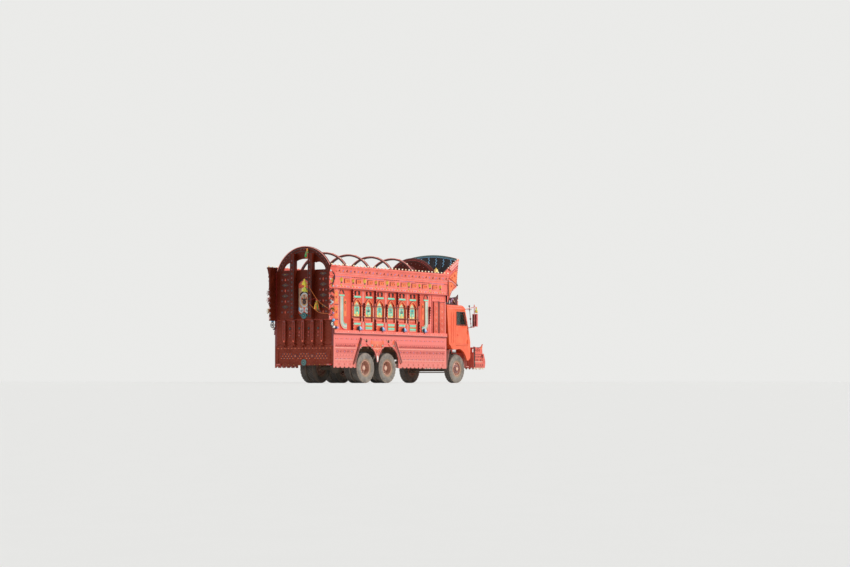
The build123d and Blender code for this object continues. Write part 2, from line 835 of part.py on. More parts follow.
def cheek_line(drop, start=crown_heel, end=crown_front - 120):
    """Two points on a cheek's upper edge, lowered by drop."""
    low = cornice_top + 10 - drop
    high = crown_z(0.889) - drop
    slope = (high - low) / (crown_front - 120 - crown_heel - 30)
    return (start, low + slope * (start - crown_heel - 30)), (end, low + slope * (end - crown_heel - 30))


with BuildPart() as crown:
    with BuildSketch(side(0, body_length)):
        with BuildLine():
            Polyline(
                (seat, crown_low),
                *[(x, crown_z(share)) for x, share in crown_steps],
                (crown_heel, crown_apex),
                (crown_heel, cornice_top + seat),
                (seat, cornice_top + seat),
                close=True,
            )
        make_face()
    extrude(amount=crown_half, both=True)
    with BuildSketch(side(0, body_length)):
        with BuildLine():
            Polyline(
                (crown_heel - 60, crown_z(0.078)),
                *[(x - crown_wall, crown_z(share) + 20) for x, share in crown_steps[1:]],
                (crown_front - crown_wall, crown_apex + crown_height),
                (crown_heel - 60, crown_apex + crown_height),
                close=True,
            )
        make_face()
    extrude(amount=crown_half - crown_wall, both=True, mode=Mode.SUBTRACT)
    edge_foot, edge_head = cheek_line(0, crown_heel + 30)
    with BuildSketch(side(0, body_length)):
        with BuildLine():
            Polyline(
                (crown_heel - 110, edge_foot[1]),
                edge_foot,
                edge_head,
                (edge_head[0], crown_apex + crown_height),
                (crown_heel - 110, crown_apex + crown_height),
                close=True,
            )
        make_face()
    extrude(amount=2 * crown_half, both=True, mode=Mode.SUBTRACT)
    tip_z = crown_apex - crown_tip_drop
    with BuildSketch(cross(body_length + crown_heel - 210)):
        with BuildLine():
            Line((-crown_half - 50, tip_z), (-crown_half, tip_z))
            ThreePointArc((-crown_half, tip_z), (0, crown_apex), (crown_half, tip_z))
            Line((crown_half, tip_z), (crown_half + 50, tip_z))
            Polyline(
                (crown_half + 50, tip_z),
                (crown_half + 50, crown_apex + crown_height),
                (-crown_half - 50, crown_apex + crown_height),
                (-crown_half - 50, tip_z),
            )
        make_face()
    extrude(amount=crown_front - crown_heel + 640, mode=Mode.SUBTRACT)
    for hand in (-1, 1):
        for drop, proud in ((70, 22), (150, 16)):
            foot, head = cheek_line(drop, 40 + drop, edge_head[0] - 20)
            with BuildSketch(side(hand * crown_half, body_length)):
                with BuildLine():
                    moulding = Line(foot, head)
                make_hull(offset(moulding, amount=22, side=Side.BOTH).edges())
            extrude(amount=proud, both=True)
        with BuildSketch(side(hand * crown_half, body_length)):
            with BuildLine():
                lip = Line((300, crown_z(0.245)), (crown_steps[4][0] - 40, crown_z(0.325)))
            make_hull(offset(lip, amount=26, side=Side.BOTH).edges())
        extrude(amount=26, both=True)
crown.part.label = "crown"
export_step(crown.part, "parts/crown.step")

# Cab shell: hollow, with a floor, engine tunnel, wheel arches with a raised lip, and openings for doors,
# windscreen and grille. Points on the cab's side are told forward of its rear top edge.
hinge_x = cab_x + hinge
door_bottom = cab_floor + swing_gap
door_points = (
    (door_rear, door_bottom),
    (hinge - swing_gap, door_bottom),
    (hinge - swing_gap, 1960),
    (hinge - swing_gap - 13, scuttle[1]),
    (brow[0] + 2 - 60, door_high - swing_gap),
    (door_rear, door_high - swing_gap),
)
window_rear = door_rear + 75
window_points = (
    (window_rear, window_low),
    (cab_length - 308, window_low),
    (cab_length - 442, window_high),
    (window_rear, window_high),
)
screen_slope = hypot(scuttle[0] - brow[0], brow[1] - scuttle[1])
screen_mid = (cab_x + (brow[0] + scuttle[0]) / 2, (brow[1] + scuttle[1]) / 2)
screen_plane = Plane(
    origin=at(screen_mid[0], 0, screen_mid[1]),
    x_dir=(0, 1, 0),
    z_dir=(brow[1] - scuttle[1], 0, scuttle[0] - brow[0]),
)
screen_width = 2 * cab_half - 260
screen_height = screen_slope - 140
arch_line = ((axle_step + 540, lip_z + 10), (axle_step + 340, 1130), (axle_step + 70, 1262))
arch_rear = ((axle_step - 260, 1225), (axle_step - 460, 1250), (axle_step - 530, 1365))
with BuildPart() as cab_shell:
    lip = (cab_length - 130, lip_z)
    with BuildSketch(side(0, cab_x)):
        with BuildLine():
            Line((0, cab_roof), (roof_front, cab_roof))
            ThreePointArc((roof_front, cab_roof), (brow[0] - 150, cab_roof - 25), brow)
            Polyline(brow, scuttle, (cab_length, nose_z), (cab_length, chin_z), lip, arch_line[0])
            ThreePointArc(*arch_line)
            Polyline(arch_line[-1], *arch_rear, (cab_rear_lean, 1420))
            Line((cab_rear_lean, 1420), (0, cab_roof))
        make_face()
    extrude(amount=cab_half, both=True)
    with BuildSketch(side(0, cab_x)):
        with BuildLine():
            inner_brow = (brow[0] + 8 - 50, brow[1] - 30)
            Line((cab_wall, cab_roof - cab_wall), (roof_front, cab_roof - cab_wall))
            ThreePointArc((roof_front, cab_roof - cab_wall), (brow[0] - 165, cab_roof - 73), inner_brow)
            Polyline(
                inner_brow,
                (scuttle[0] - cab_wall, scuttle[1] - 10),
                (cab_length - cab_wall, nose_z - 10),
                (cab_length - cab_wall, cab_floor),
                (axle_step - 460, cab_floor),
                (cab_rear_lean + cab_wall + 10, 1460),
                (cab_wall, cab_roof - cab_wall),
            )
        make_face()
    extrude(amount=cab_half - cab_wall, both=True, mode=Mode.SUBTRACT)
    well_rear = axle_step - 420
    with BuildSketch(side(0, cab_x)):
        with Locations(((well_rear + cab_length - cab_wall) / 2, (600 + cab_floor - cab_floor_wall) / 2)):
            Rectangle(cab_length - cab_wall - well_rear, cab_floor - cab_floor_wall - 600)
    extrude(amount=cab_half - cab_wall, both=True, mode=Mode.SUBTRACT)
    with BuildSketch(cross(engine_rear - 90)):
        with Locations((0, (cab_floor + tunnel_top - cab_floor_wall) / 2)):
            Rectangle(2 * tunnel_half, tunnel_top - cab_floor + cab_floor_wall)
    extrude(amount=engine_length + 180)
    with BuildSketch(cross(engine_rear - 60)):
        with Locations((0, (1200 + tunnel_top - cab_floor_wall) / 2)):
            Rectangle(2 * (tunnel_half - cab_floor_wall), tunnel_top - cab_floor_wall - 1200)
    extrude(amount=engine_length + 120, mode=Mode.SUBTRACT)
    for hand in (-1, 1):
        with BuildSketch(side(hand * cab_half, cab_x)):
            with BuildLine():
                Polyline(*door_points, close=True)
            make_face()
            offset(amount=swing_gap, kind=Kind.INTERSECTION)
        extrude(amount=2 * cab_wall - 10, both=True, mode=Mode.SUBTRACT)
        lug_step = (barrel_height + hinge_lug) / 2 + 1
        for z in hinge_levels:
            for lug_z in (z - lug_step, z + lug_step):
                with Locations(at(hinge_x, hand * hinge_y, lug_z)):
                    Cylinder(hinge_barrel, hinge_lug)
                with Locations(at(hinge_x + 22, hand * (cab_half + 6), lug_z)):
                    Box(44, 12, hinge_lug)
            with Locations(at(hinge_x, hand * hinge_y, z)):
                Cylinder(door_hinge_pin, 2 * lug_step)
        with BuildSketch(side(hand * (cab_half - 5), cab_x)):
            with BuildLine():
                ThreePointArc(*arch_line)
                Polyline(arch_line[-1], *arch_rear[:2])
                Line(arch_rear[1], (arch_rear[1][0], arch_rear[1][1] + 38))
                Polyline(
                    (arch_rear[1][0], arch_rear[1][1] + 38),
                    (arch_rear[0][0], arch_rear[0][1] + 38),
                    (arch_line[2][0] - 5, arch_line[2][1] + 38),
                )
                ThreePointArc(
                    (arch_line[2][0] - 5, arch_line[2][1] + 38),
                    (arch_line[1][0] + 27, arch_line[1][1] + 27),
                    (arch_line[0][0] + 38, arch_line[0][1] + 5),
                )
                Line((arch_line[0][0] + 38, arch_line[0][1] + 5), arch_line[0])
            make_face()
        extrude(amount=20, both=True)
    with BuildSketch(screen_plane):
        RectangleRounded(screen_width, screen_height, screen_corner)
    extrude(amount=2 * cab_wall, both=True, mode=Mode.SUBTRACT)
    with BuildSketch(cross(cab_front - 2 * cab_wall)):
        with Locations((0, (grille_low + grille_high) / 2)):
            Rectangle(2 * grille_half, grille_high - grille_low)
    extrude(amount=3 * cab_wall, mode=Mode.SUBTRACT)
    with BuildSketch(cross(cab_front - 2 * cab_wall)):
        with Locations((0, rail_high / 2 + 5)):
            Rectangle(2 * cab_half - 240, rail_high + 10)
    extrude(amount=3 * cab_wall, mode=Mode.SUBTRACT)
cab_shell.part.label = "cab_shell"
export_step(cab_shell.part, "parts/cab_shell.step")

# Windscreen
with BuildPart() as windscreen:
    with BuildSketch(screen_plane.offset(-cab_wall / 2)):
        RectangleRounded(screen_width - 2 * seat, screen_height - 2 * seat, screen_corner - seat)
    extrude(amount=glass_wall)
windscreen.part.label = "windscreen"
export_step(windscreen.part, "parts/windscreen.step")

# Grille: a frame with level bars
with BuildPart() as grille:
    grille_mid = (grille_low + grille_high) / 2
    inner_height = grille_high - grille_low - 2 * grille_border
    with BuildSketch(cross(cab_front - grille_depth - 5)):
        with Locations((0, grille_mid)):
            Rectangle(2 * grille_half - 2 * seat, grille_high - grille_low - 2 * seat)
            Rectangle(2 * grille_half - 2 * grille_border, inner_height, mode=Mode.SUBTRACT)
        bar_count = int(inner_height // bar_pitch)
        for i in range(bar_count):
            with Locations((0, grille_mid + (i + 0.5 - bar_count / 2) * inner_height / bar_count)):
                Rectangle(2 * grille_half - grille_border, 18)
        for y in (-grille_half / 3, grille_half / 3):
            with Locations((y, grille_mid)):
                Rectangle(16, inner_height + grille_border)
    extrude(amount=grille_depth)
grille.part.label = "grille"
export_step(grille.part, "parts/grille.step")

# Doors: each hangs on two outside hinges at its front edge; the glass is a separate pane in a raised frame
handle_x = cab_x + door_rear + 160
handle_z = 1770
for name, hand in (("right", -1), ("left", 1)):
    with BuildPart() as door:
        with BuildSketch(side(hand * (cab_half - cab_wall / 2), cab_x)):
            with BuildLine():
                Polyline(*door_points, close=True)
            make_face()
            with BuildLine():
                Polyline(*window_points, close=True)
            make_face(mode=Mode.SUBTRACT)
        extrude(amount=cab_wall / 2, both=True)
        with BuildSketch(side(hand * (cab_half - 5), cab_x)):
            with BuildLine():
                Polyline(*window_points, close=True)
            make_face()
            offset(amount=24, kind=Kind.INTERSECTION)
            with BuildLine():
                Polyline(*window_points, close=True)
            make_face(mode=Mode.SUBTRACT)
        extrude(amount=11, both=True)
        for z in hinge_levels:
            with Locations(at(hinge_x, hand * hinge_y, z)):
                Cylinder(hinge_barrel, barrel_height)
            with Locations(at(hinge_x - 30, hand * (cab_half + 6), z)):
                Box(60, 12, barrel_height)
            with Locations(at(hinge_x, hand * hinge_y, z)):
                Cylinder(door_hinge_pin + running_gap, barrel_height + 12, mode=Mode.SUBTRACT)
        with Locations(at(handle_x, hand * (cab_half + 18), handle_z)):
            Box(150, 12, 24)
        with Locations(*[at(handle_x + dx, hand * (cab_half + 7), handle_z) for dx in (-60, 60)]):
            Box(20, 14, 24)
    door.part.label = f"door_{name}"
    export_step(door.part, f"parts/door_{name}.step")

    with BuildPart() as door_glass:
        with BuildSketch(side(hand * (cab_half - cab_wall / 2), cab_x)):
            with BuildLine():
                Polyline(*window_points, close=True)
            make_face()
            offset(amount=-seat, kind=Kind.INTERSECTION)
        extrude(amount=glass_wall / 2, both=True)
    door_glass.part.label = f"door_glass_{name}"
    export_step(door_glass.part, f"parts/door_glass_{name}.step")

# Fence round the cab roof, with sagging top rails between peaked corners and round-headed openings
with BuildPart() as roof_fence:
    fence_wall = 30
    fence_rear = 20
    fence_front = roof_front
    fence_half = cab_half - 70
    fence_top = cab_roof + 400
    fence_sag = fence_top - 100
    hole_z = cab_roof + 130
    for hand in (-1, 1):
        with BuildSketch(side(hand * (fence_half - fence_wall / 2), cab_x)):
            with BuildLine():
                Line((fence_rear, cab_roof), (fence_front, cab_roof))
                Line((fence_front, cab_roof), (fence_front, fence_top))
                Line((fence_front, fence_top), (fence_front - 60, fence_sag + 20))
                ThreePointArc(
                    (fence_front - 60, fence_sag + 20),
                    ((fence_rear + fence_front) / 2, fence_sag - 30),
                    (fence_rear + 130, fence_sag + 20),
                )
                Line((fence_rear + 130, fence_sag + 20), (fence_rear + 90, fence_top - 30))
                Line((fence_rear + 90, fence_top - 30), (fence_rear, cab_roof))
            make_face()
            for x in (fence_rear + 290, fence_rear + 590):
                with Locations((x, hole_z)):
                    SlotOverall(220, 120, rotation=90, mode=Mode.SUBTRACT)
        extrude(amount=fence_wall / 2, both=True)
    peak_foot = (fence_half - 80, fence_sag + 20)
    with BuildSketch(cross(cab_x + fence_front - fence_wall)):
        with BuildLine():
            Line((-fence_half, cab_roof), (fence_half, cab_roof))
            Line((fence_half, cab_roof), (fence_half, fence_top))
            Line((fence_half, fence_top), peak_foot)
            ThreePointArc(peak_foot, (0, fence_sag - 60), (-peak_foot[0], peak_foot[1]))
            Line((-peak_foot[0], peak_foot[1]), (-fence_half, fence_top))
            Line((-fence_half, fence_top), (-fence_half, cab_roof))
        make_face()
        for i in range(-3, 4):
            with Locations((i * 270, hole_z - 5)):
                SlotOverall(200, 130, rotation=90, mode=Mode.SUBTRACT)
    extrude(amount=fence_wall)
roof_fence.part.label = "roof_fence"
export_step(roof_fence.part, "parts/roof_fence.step")

# Engine and gearbox block with feet on the frame's top flanges, and the radiator between the rails
gearbox_width = 360
mount_wall = 50
radiator_gap = 170
radiator_z = 1090
radiator_wall = 60
radiator_height = 460
with BuildPart() as engine:
    with Locations(at(engine_rear + engine_length / 2, 0, (engine_low + engine_high) / 2)):
        Box(engine_length, 2 * engine_half, engine_high - engine_low)
    with Locations(at(engine_rear - gearbox_length / 2, 0, (gearbox_low + gearbox_high) / 2)):
        Box(gearbox_length, gearbox_width, gearbox_high - gearbox_low)
    for x in (engine_rear + 400, engine_rear + 800):
        with Locations(at(x, 0, rail_high + mount_wall / 2)):
            Box(90, 2 * rail_outer - 40, mount_wall)
    radiator_half = rail_outer - rail_flange - seat
    with Locations(at(engine_rear + engine_length + radiator_gap, 0, radiator_z)):
        Box(radiator_wall, 2 * radiator_half, radiator_height)
engine.part.label = "engine"
export_step(engine.part, "parts/engine.step")

# Driver's place: dashboard, seats, and the steering wheel on its column
seat_y = 760
with BuildPart() as dashboard:
    with BuildSketch(side(0, cab_x)):
        with BuildLine():
            Polyline(
                (cab_length - 190, 1960),
                (cab_length - 330, 1980),
                (cab_length - 400, 1900),
                (cab_length - 330, 1640),
                (cab_length - 140, 1640),
                close=True,
            )
        make_face()
    extrude(amount=cab_half - cab_wall - seat, both=True)
dashboard.part.label = "dashboard"
export_step(dashboard.part, "parts/dashboard.step")

with BuildPart() as seats:
    seat_x = cab_front - 920
    base_height = 300
    cushion_wall = 120
    cushion_width = 520
    back_height = 640
    recline = radians(8)
    for y in (-seat_y, seat_y):
        with Locations(at(seat_x - 40, y, cab_floor + base_height / 2)):
            Box(360, cushion_width - 100, base_height)
        with Locations(at(seat_x, y, cab_floor + base_height + cushion_wall / 2)):
            Box(cushion_width, cushion_width, cushion_wall)
        back = Plane(
            origin=at(seat_x - 280, y, cab_floor + base_height + cushion_wall / 2 + back_height / 2),
            x_dir=(cos(recline), 0, -sin(recline)),
            z_dir=(sin(recline), 0, cos(recline)),
        )
        with Locations(back):
            Box(110, cushion_width - 20, back_height)
    fillet(seats.edges().filter_by(Axis.Y).group_by(Axis.Z)[-1], 30)
seats.part.label = "seats"
export_step(seats.part, "parts/seats.step")

wheel_rim = 225
spoke_wall = 12
with BuildPart() as steering_wheel:
    column_low = (cab_front - 410, -seat_y, cab_floor + 30)
    column_top = (cab_front - 520, -seat_y, 2010)
    column_plane, column_length = along(column_low, column_top)
    with BuildSketch(column_plane):
        Circle(28)
    extrude(amount=column_length)
    with Locations(at(*column_low)):
        Cylinder(48, 60)
    wheel_plane = Plane(origin=column_plane.offset(column_length).origin, z_dir=column_plane.z_dir)
    with Locations(wheel_plane):
        Torus(wheel_rim, 14)
        Cylinder(45, 30)
    with BuildSketch(wheel_plane.offset(-spoke_wall / 2)):
        Rectangle(2 * wheel_rim - 10, 34)
        Rectangle(34, 2 * wheel_rim - 10)
    extrude(amount=spoke_wall)
steering_wheel.part.label = "steering_wheel"
export_step(steering_wheel.part, "parts/steering_wheel.step")


def leaf_pack(x, y, end_z, mid_z, stack):
    """Curved leaves of falling length; end_z and mid_z give the main leaf's outer face, stack is +1 up."""
    for i in range(leaf_count):
        half = spring_half * (1 - leaf_step * i)
        low_mid = mid_z + stack * i * leaf_wall
        low_end = low_mid + (end_z - mid_z) * (half / spring_half) ** 2
        rise = stack * leaf_wall
        with BuildLine() as outline:
            ThreePointArc((x - half, low_end), (x, low_mid), (x + half, low_end))
            Line((x + half, low_end), (x + half, low_end + rise))
            ThreePointArc((x + half, low_end + rise), (x, low_mid + rise), (x - half, low_end + rise))
            Line((x - half, low_end + rise), (x - half, low_end))
        with BuildSketch(side(y + spring_width / 2)) as leaf:
            make_face(outline.edges())
        extrude(leaf.sketch, amount=spring_width)


# Leaf springs: the front packs hang by their eyes, the rear packs rest on both axles
with BuildPart() as leaf_springs:
    for hand in (-1, 1):
        leaf_pack(front_axle_x, hand * spring_y, front_eye_z, front_spring_top, -1)
        for x in (front_axle_x - spring_half, front_axle_x + spring_half):
            with Locations(across(x, hand * spring_y, front_eye_z - leaf_wall / 2)):
                Cylinder(spring_eye, spring_width)
            with Locations(across(x, hand * spring_y, front_eye_z)):
                Cylinder(spring_pin + seat, spring_width, mode=Mode.SUBTRACT)
        leaf_pack(bogie_x, hand * spring_y, bogie_end_z, bogie_mid_z, 1)
        for x in (bogie_x - spring_half - 50, bogie_x + spring_half + 50):
            with Locations(at(x, hand * spring_y, bogie_end_z + leaf_wall / 2)):
                Box(120, spring_width, leaf_wall)
leaf_springs.part.label = "leaf_springs"
export_step(leaf_springs.part, "parts/leaf_springs.step")

# Front axle beam, dropped in the middle, with an upright eye at each end
beam_half_width = 38
beam_low = tyre_radius - 90
beam_high = tyre_radius
pad_top = front_spring_top - leaf_count * leaf_wall
eye_low = tyre_radius - eye_half
eye_top = tyre_radius + eye_half
with BuildPart() as front_axle:
    with BuildSketch(cross(front_axle_x)):
        with BuildLine():
            Polyline(
                (-kingpin_y, eye_low),
                (-kingpin_y + 160, eye_low),
                (-kingpin_y + 280, beam_low),
                (kingpin_y - 280, beam_low),
                (kingpin_y - 160, eye_low),
                (kingpin_y, eye_low),
                (kingpin_y, eye_top),
                (kingpin_y - 140, eye_top - 20),
                (kingpin_y - 260, beam_high),
                (-kingpin_y + 260, beam_high),
                (-kingpin_y + 140, eye_top - 20),
                (-kingpin_y, eye_top),
                close=True,
            )
        make_face()
    extrude(amount=beam_half_width, both=True)
    for edge in (-1, 1):
        with Locations(at(front_axle_x + edge * beam_half_width, 0, (beam_low + beam_high) / 2)):
            Box(36, 1000, 50, mode=Mode.SUBTRACT)
    for hand in (-1, 1):
        with Locations(at(front_axle_x, hand * spring_y, (beam_high + pad_top) / 2 - 5)):
            Box(150, 90, pad_top - beam_high + 10)
        with Locations(at(front_axle_x, hand * kingpin_y, tyre_radius)):
            Cylinder(knuckle_radius, 2 * eye_half)
            Cylinder(kingpin_radius + running_gap, 2 * eye_half, mode=Mode.SUBTRACT)
front_axle.part.label = "front_axle"
export_step(front_axle.part, "parts/front_axle.step")

# Steering knuckles: a forked yoke round the axle's eye, the kingpin, the spindle and a steering arm
tie_rod_x = front_axle_x - arm_length
arm_top = eye_low - yoke_gap
arm_low = arm_top - yoke_wall
arm_mid = (arm_top + arm_low) / 2
yoke_levels = (eye_top + yoke_gap + yoke_wall / 2, arm_mid)
yoke_mid = (yoke_levels[0] + yoke_levels[1]) / 2
yoke_depth = 2 * knuckle_radius - 10
plate_y = kingpin_y + knuckle_radius + yoke_gap + 3
plate_wall = 20
for name, hand in (("right", -1), ("left", 1)):
    with BuildPart() as knuckle:
        for z in yoke_levels:
            with Locations(at(front_axle_x, hand * kingpin_y, z)):
                Cylinder(knuckle_radius, yoke_wall)
            with Locations(at(front_axle_x, hand * (kingpin_y + plate_y + plate_wall) / 2, z)):
                Box(yoke_depth, plate_y + plate_wall - kingpin_y, yoke_wall)
        with Locations(at(front_axle_x, hand * kingpin_y, tyre_radius)):
            Cylinder(kingpin_radius, yoke_levels[0] - yoke_levels[1])
        with Locations(at(front_axle_x, hand * (plate_y + plate_wall / 2), yoke_mid)):
            Box(yoke_depth, plate_wall, yoke_levels[0] - yoke_levels[1] + yoke_wall)
        with BuildSketch(Plane(origin=at(front_axle_x, hand * plate_y, tyre_radius), z_dir=(0, hand, 0))):
            Circle(front_spindle)
        extrude(amount=front_spindle_end - plate_y)
        with Locations(at(front_axle_x - arm_length / 2, hand * kingpin_y, arm_mid)):
            Box(arm_length, 40, yoke_wall)
        with Locations(at(tie_rod_x, hand * kingpin_y, arm_mid)):
            Cylinder(arm_eye, yoke_wall)
            Cylinder(ball_pin + running_gap, yoke_wall, mode=Mode.SUBTRACT)
    knuckle.part.label = f"knuckle_{name}"
    export_step(knuckle.part, f"parts/knuckle_{name}.step")

# Tie rod under the steering arms, with an upright pin in each arm's eye
with BuildPart() as tie_rod:
    rod_z = arm_low - yoke_gap - arm_eye
    with BuildSketch(across(tie_rod_x, -kingpin_y, rod_z)):
        Circle(tie_rod_radius)
    extrude(amount=2 * kingpin_y)
    for hand in (-1, 1):
        with Locations(at(tie_rod_x, hand * kingpin_y, rod_z)):
            Cylinder(arm_eye, 2 * arm_eye)
        with Locations(at(tie_rod_x, hand * kingpin_y, (rod_z + arm_top) / 2)):
            Cylinder(ball_pin, arm_top - rod_z)
tie_rod.part.label = "tie_rod"
export_step(tie_rod.part, "parts/tie_rod.step")

# Rear axles: tubes with a round differential housing, spring pads and spindles
with BuildPart() as rear_axles:
    for x in (rear_axle_x, mid_axle_x):
        with Locations(across(x, 0, tyre_radius)):
            Cylinder(axle_tube, 2 * axle_tube_half)
            Cylinder(spindle_radius, 2 * spindle_end)
        with Locations(ahead(x, 0, tyre_radius)):
            Cylinder(diff_radius, 2 * diff_half)
        for hand in (-1, 1):
            with Locations(at(x, hand * spring_y, (tyre_radius + bogie_end_z) / 2)):
                Box(110, spring_width + 20, bogie_end_z - tyre_radius)
    round_edges = rear_axles.edges().filter_by(GeomType.CIRCLE)
    fillet(round_edges.filter_by(lambda e: abs(e.radius - diff_radius) < 1), 50)
rear_axles.part.label = "rear_axles"
export_step(rear_axles.part, "parts/rear_axles.step")

# Propeller shafts: gearbox to the middle axle through the centre bearing, then axle to axle
with BuildPart() as propshafts:
    runs = (
        (gearbox_out, mid_diff_in),
        ((mid_axle_x - diff_half, 0, tyre_radius), (rear_axle_x + diff_half, 0, tyre_radius)),
    )
    for start, end in runs:
        shaft_plane, shaft_length = along(start, end)
        end_gap = flange_radius * abs(start[2] - end[2]) / shaft_length + seat
        with BuildSketch(shaft_plane.offset(end_gap)):
            Circle(shaft_radius)
        extrude(amount=shaft_length - 2 * end_gap)
        for place in (end_gap, shaft_length - end_gap - flange_wall):
            with BuildSketch(shaft_plane.offset(place)):
                Circle(flange_radius)
            extrude(amount=flange_wall)
propshafts.part.label = "propshafts"
export_step(propshafts.part, "parts/propshafts.step")

# Fuel tank on two brackets beside the left rail
with BuildPart() as fuel_tank:
    tank_front = body_length - 850
    tank_length = 1150
    tank_width = 520
    tank_height = 460
    tank_inner = rail_outer + 25
    with Locations(at(tank_front - tank_length / 2, tank_inner + tank_width / 2, rail_low - 60)):
        Box(tank_length, tank_width, tank_height)
    fillet(fuel_tank.edges().filter_by(Axis.X), 70)
    for x in (tank_front - 250, tank_front - tank_length + 250):
        with Locations(at(x, (rail_outer + tank_inner) / 2, rail_mid)):
            Box(80, tank_inner - rail_outer, 90)
fuel_tank.part.label = "fuel_tank"
export_step(fuel_tank.part, "parts/fuel_tank.step")

# Exhaust: pipe from the engine's rear face, silencer and tail pipe, hung from the right rail
pipe_y = -700
silencer_x = body_length - 1250
with BuildPart() as exhaust:
    with BuildLine():
        pipe = FilletPolyline(
            at(engine_rear, -250, pipe_z),
            at(cab_x, -250, pipe_z),
            at(cab_x, pipe_y, pipe_z),
            at(silencer_x - 1200, pipe_y, pipe_z),
            radius=120,
        )
    with BuildSketch(Plane(origin=pipe @ 0, z_dir=pipe % 0)):
        Circle(pipe_radius)
    sweep()
    with Locations(ahead(silencer_x, pipe_y, pipe_z)):
        Cylinder(silencer_radius, 950)
    strap_z = (pipe_z + 120 + rail_low) / 2 + 30
    for x in (silencer_x - 350, silencer_x + 350):
        with Locations(at(x, -rail_outer - 120, strap_z)):
            Box(40, 240, 30)
        with Locations(at(x, pipe_y + 10, rail_low - 5)):
            Box(40, 40, 110)
exhaust.part.label = "exhaust"
export_step(exhaust.part, "parts/exhaust.step")

# Front mudguards: a bent sheet over and behind each front wheel, ending in a flap, told from the axle
guard_line = ((390, 1262), (60, 1285), (-300, 1255), (-530, 1210), (-695, 690), (-700, 560))
with BuildPart() as mudguards:
    guard_wall = 10
    guard_inner = cab_half - 410
    guard_outer = cab_half - cab_wall - seat
    for hand in (-1, 1):
        with BuildSketch(side(hand * (guard_inner + guard_outer) / 2, front_axle_x)):
            with BuildLine():
                edge = FilletPolyline(*guard_line, radius=60)
                offset(edge, amount=guard_wall, side=Side.RIGHT)
            make_face()
        extrude(amount=(guard_outer - guard_inner) / 2, both=True)
mudguards.part.label = "mudguards"
export_step(mudguards.part, "parts/mudguards.step")

# Mirrors on tube frames that stand out from the cab's front corners
with BuildPart() as mirrors:
    post = (cab_front - 100, cab_half + 240)
    post_low = 2080
    post_high = 2820
    arm_radius = 12
    low_pad = (cab_front - 154, 2050)
    high_pad = (cab_front - 370, 2728)
    glass_z = 2330
    mirror_width = 220
    mirror_height = 470
    for hand in (-1, 1):
        with Locations(at(post[0], hand * post[1], (post_low + post_high) / 2)):
            Cylinder(14, post_high - post_low + 30)
        for (pad_x, pad_z), end_z in ((low_pad, post_low), (high_pad, post_high)):
            arm_start = (pad_x, hand * (cab_half + arm_radius), pad_z)
            arm_plane, arm_reach = along(arm_start, (post[0], hand * post[1], end_z))
            with BuildSketch(arm_plane):
                Circle(arm_radius)
            extrude(amount=arm_reach)
            with Locations(at(pad_x, hand * (cab_half + 10), pad_z)):
                Box(30, 20 - 2 * seat, 44)
        with Locations(at(post[0] + 45, hand * (post[1] + 10), glass_z)):
            Box(45, mirror_width, mirror_height)
        with Locations(at(post[0] + 12, hand * post[1], glass_z)):
            Box(34, 40, 60)
mirrors.part.label = "mirrors"
export_step(mirrors.part, "parts/mirrors.step")

# Headlamps beside the grille, and tail lamps low on the rear skirt
lamp_y = grille_half + 160
with BuildPart() as headlamps:
    for y in (-lamp_y - 220, -lamp_y, lamp_y, lamp_y + 220):
        with Locations(ahead(cab_front + 25, y, (grille_low + grille_high) / 2 + 5)):
            Cylinder(lamp_radius, 50)
    fillet(headlamps.faces().filter_by(Axis.X).group_by(Axis.X)[-1].edges(), 18)
headlamps.part.label = "headlamps"
export_step(headlamps.part, "parts/headlamps.step")

lamp_depth = 40
lamp_width = 200
lamp_height = 52
with BuildPart() as tail_lamps:
    for y in (-1080, 1080):
        with Locations(at(-lamp_depth / 2, y, rear_skirt_low + lamp_height / 2 + 2)):
            Box(lamp_depth - 2 * seat, lamp_width, lamp_height)
tail_lamps.part.label = "tail_lamps"
export_step(tail_lamps.part, "parts/tail_lamps.step")

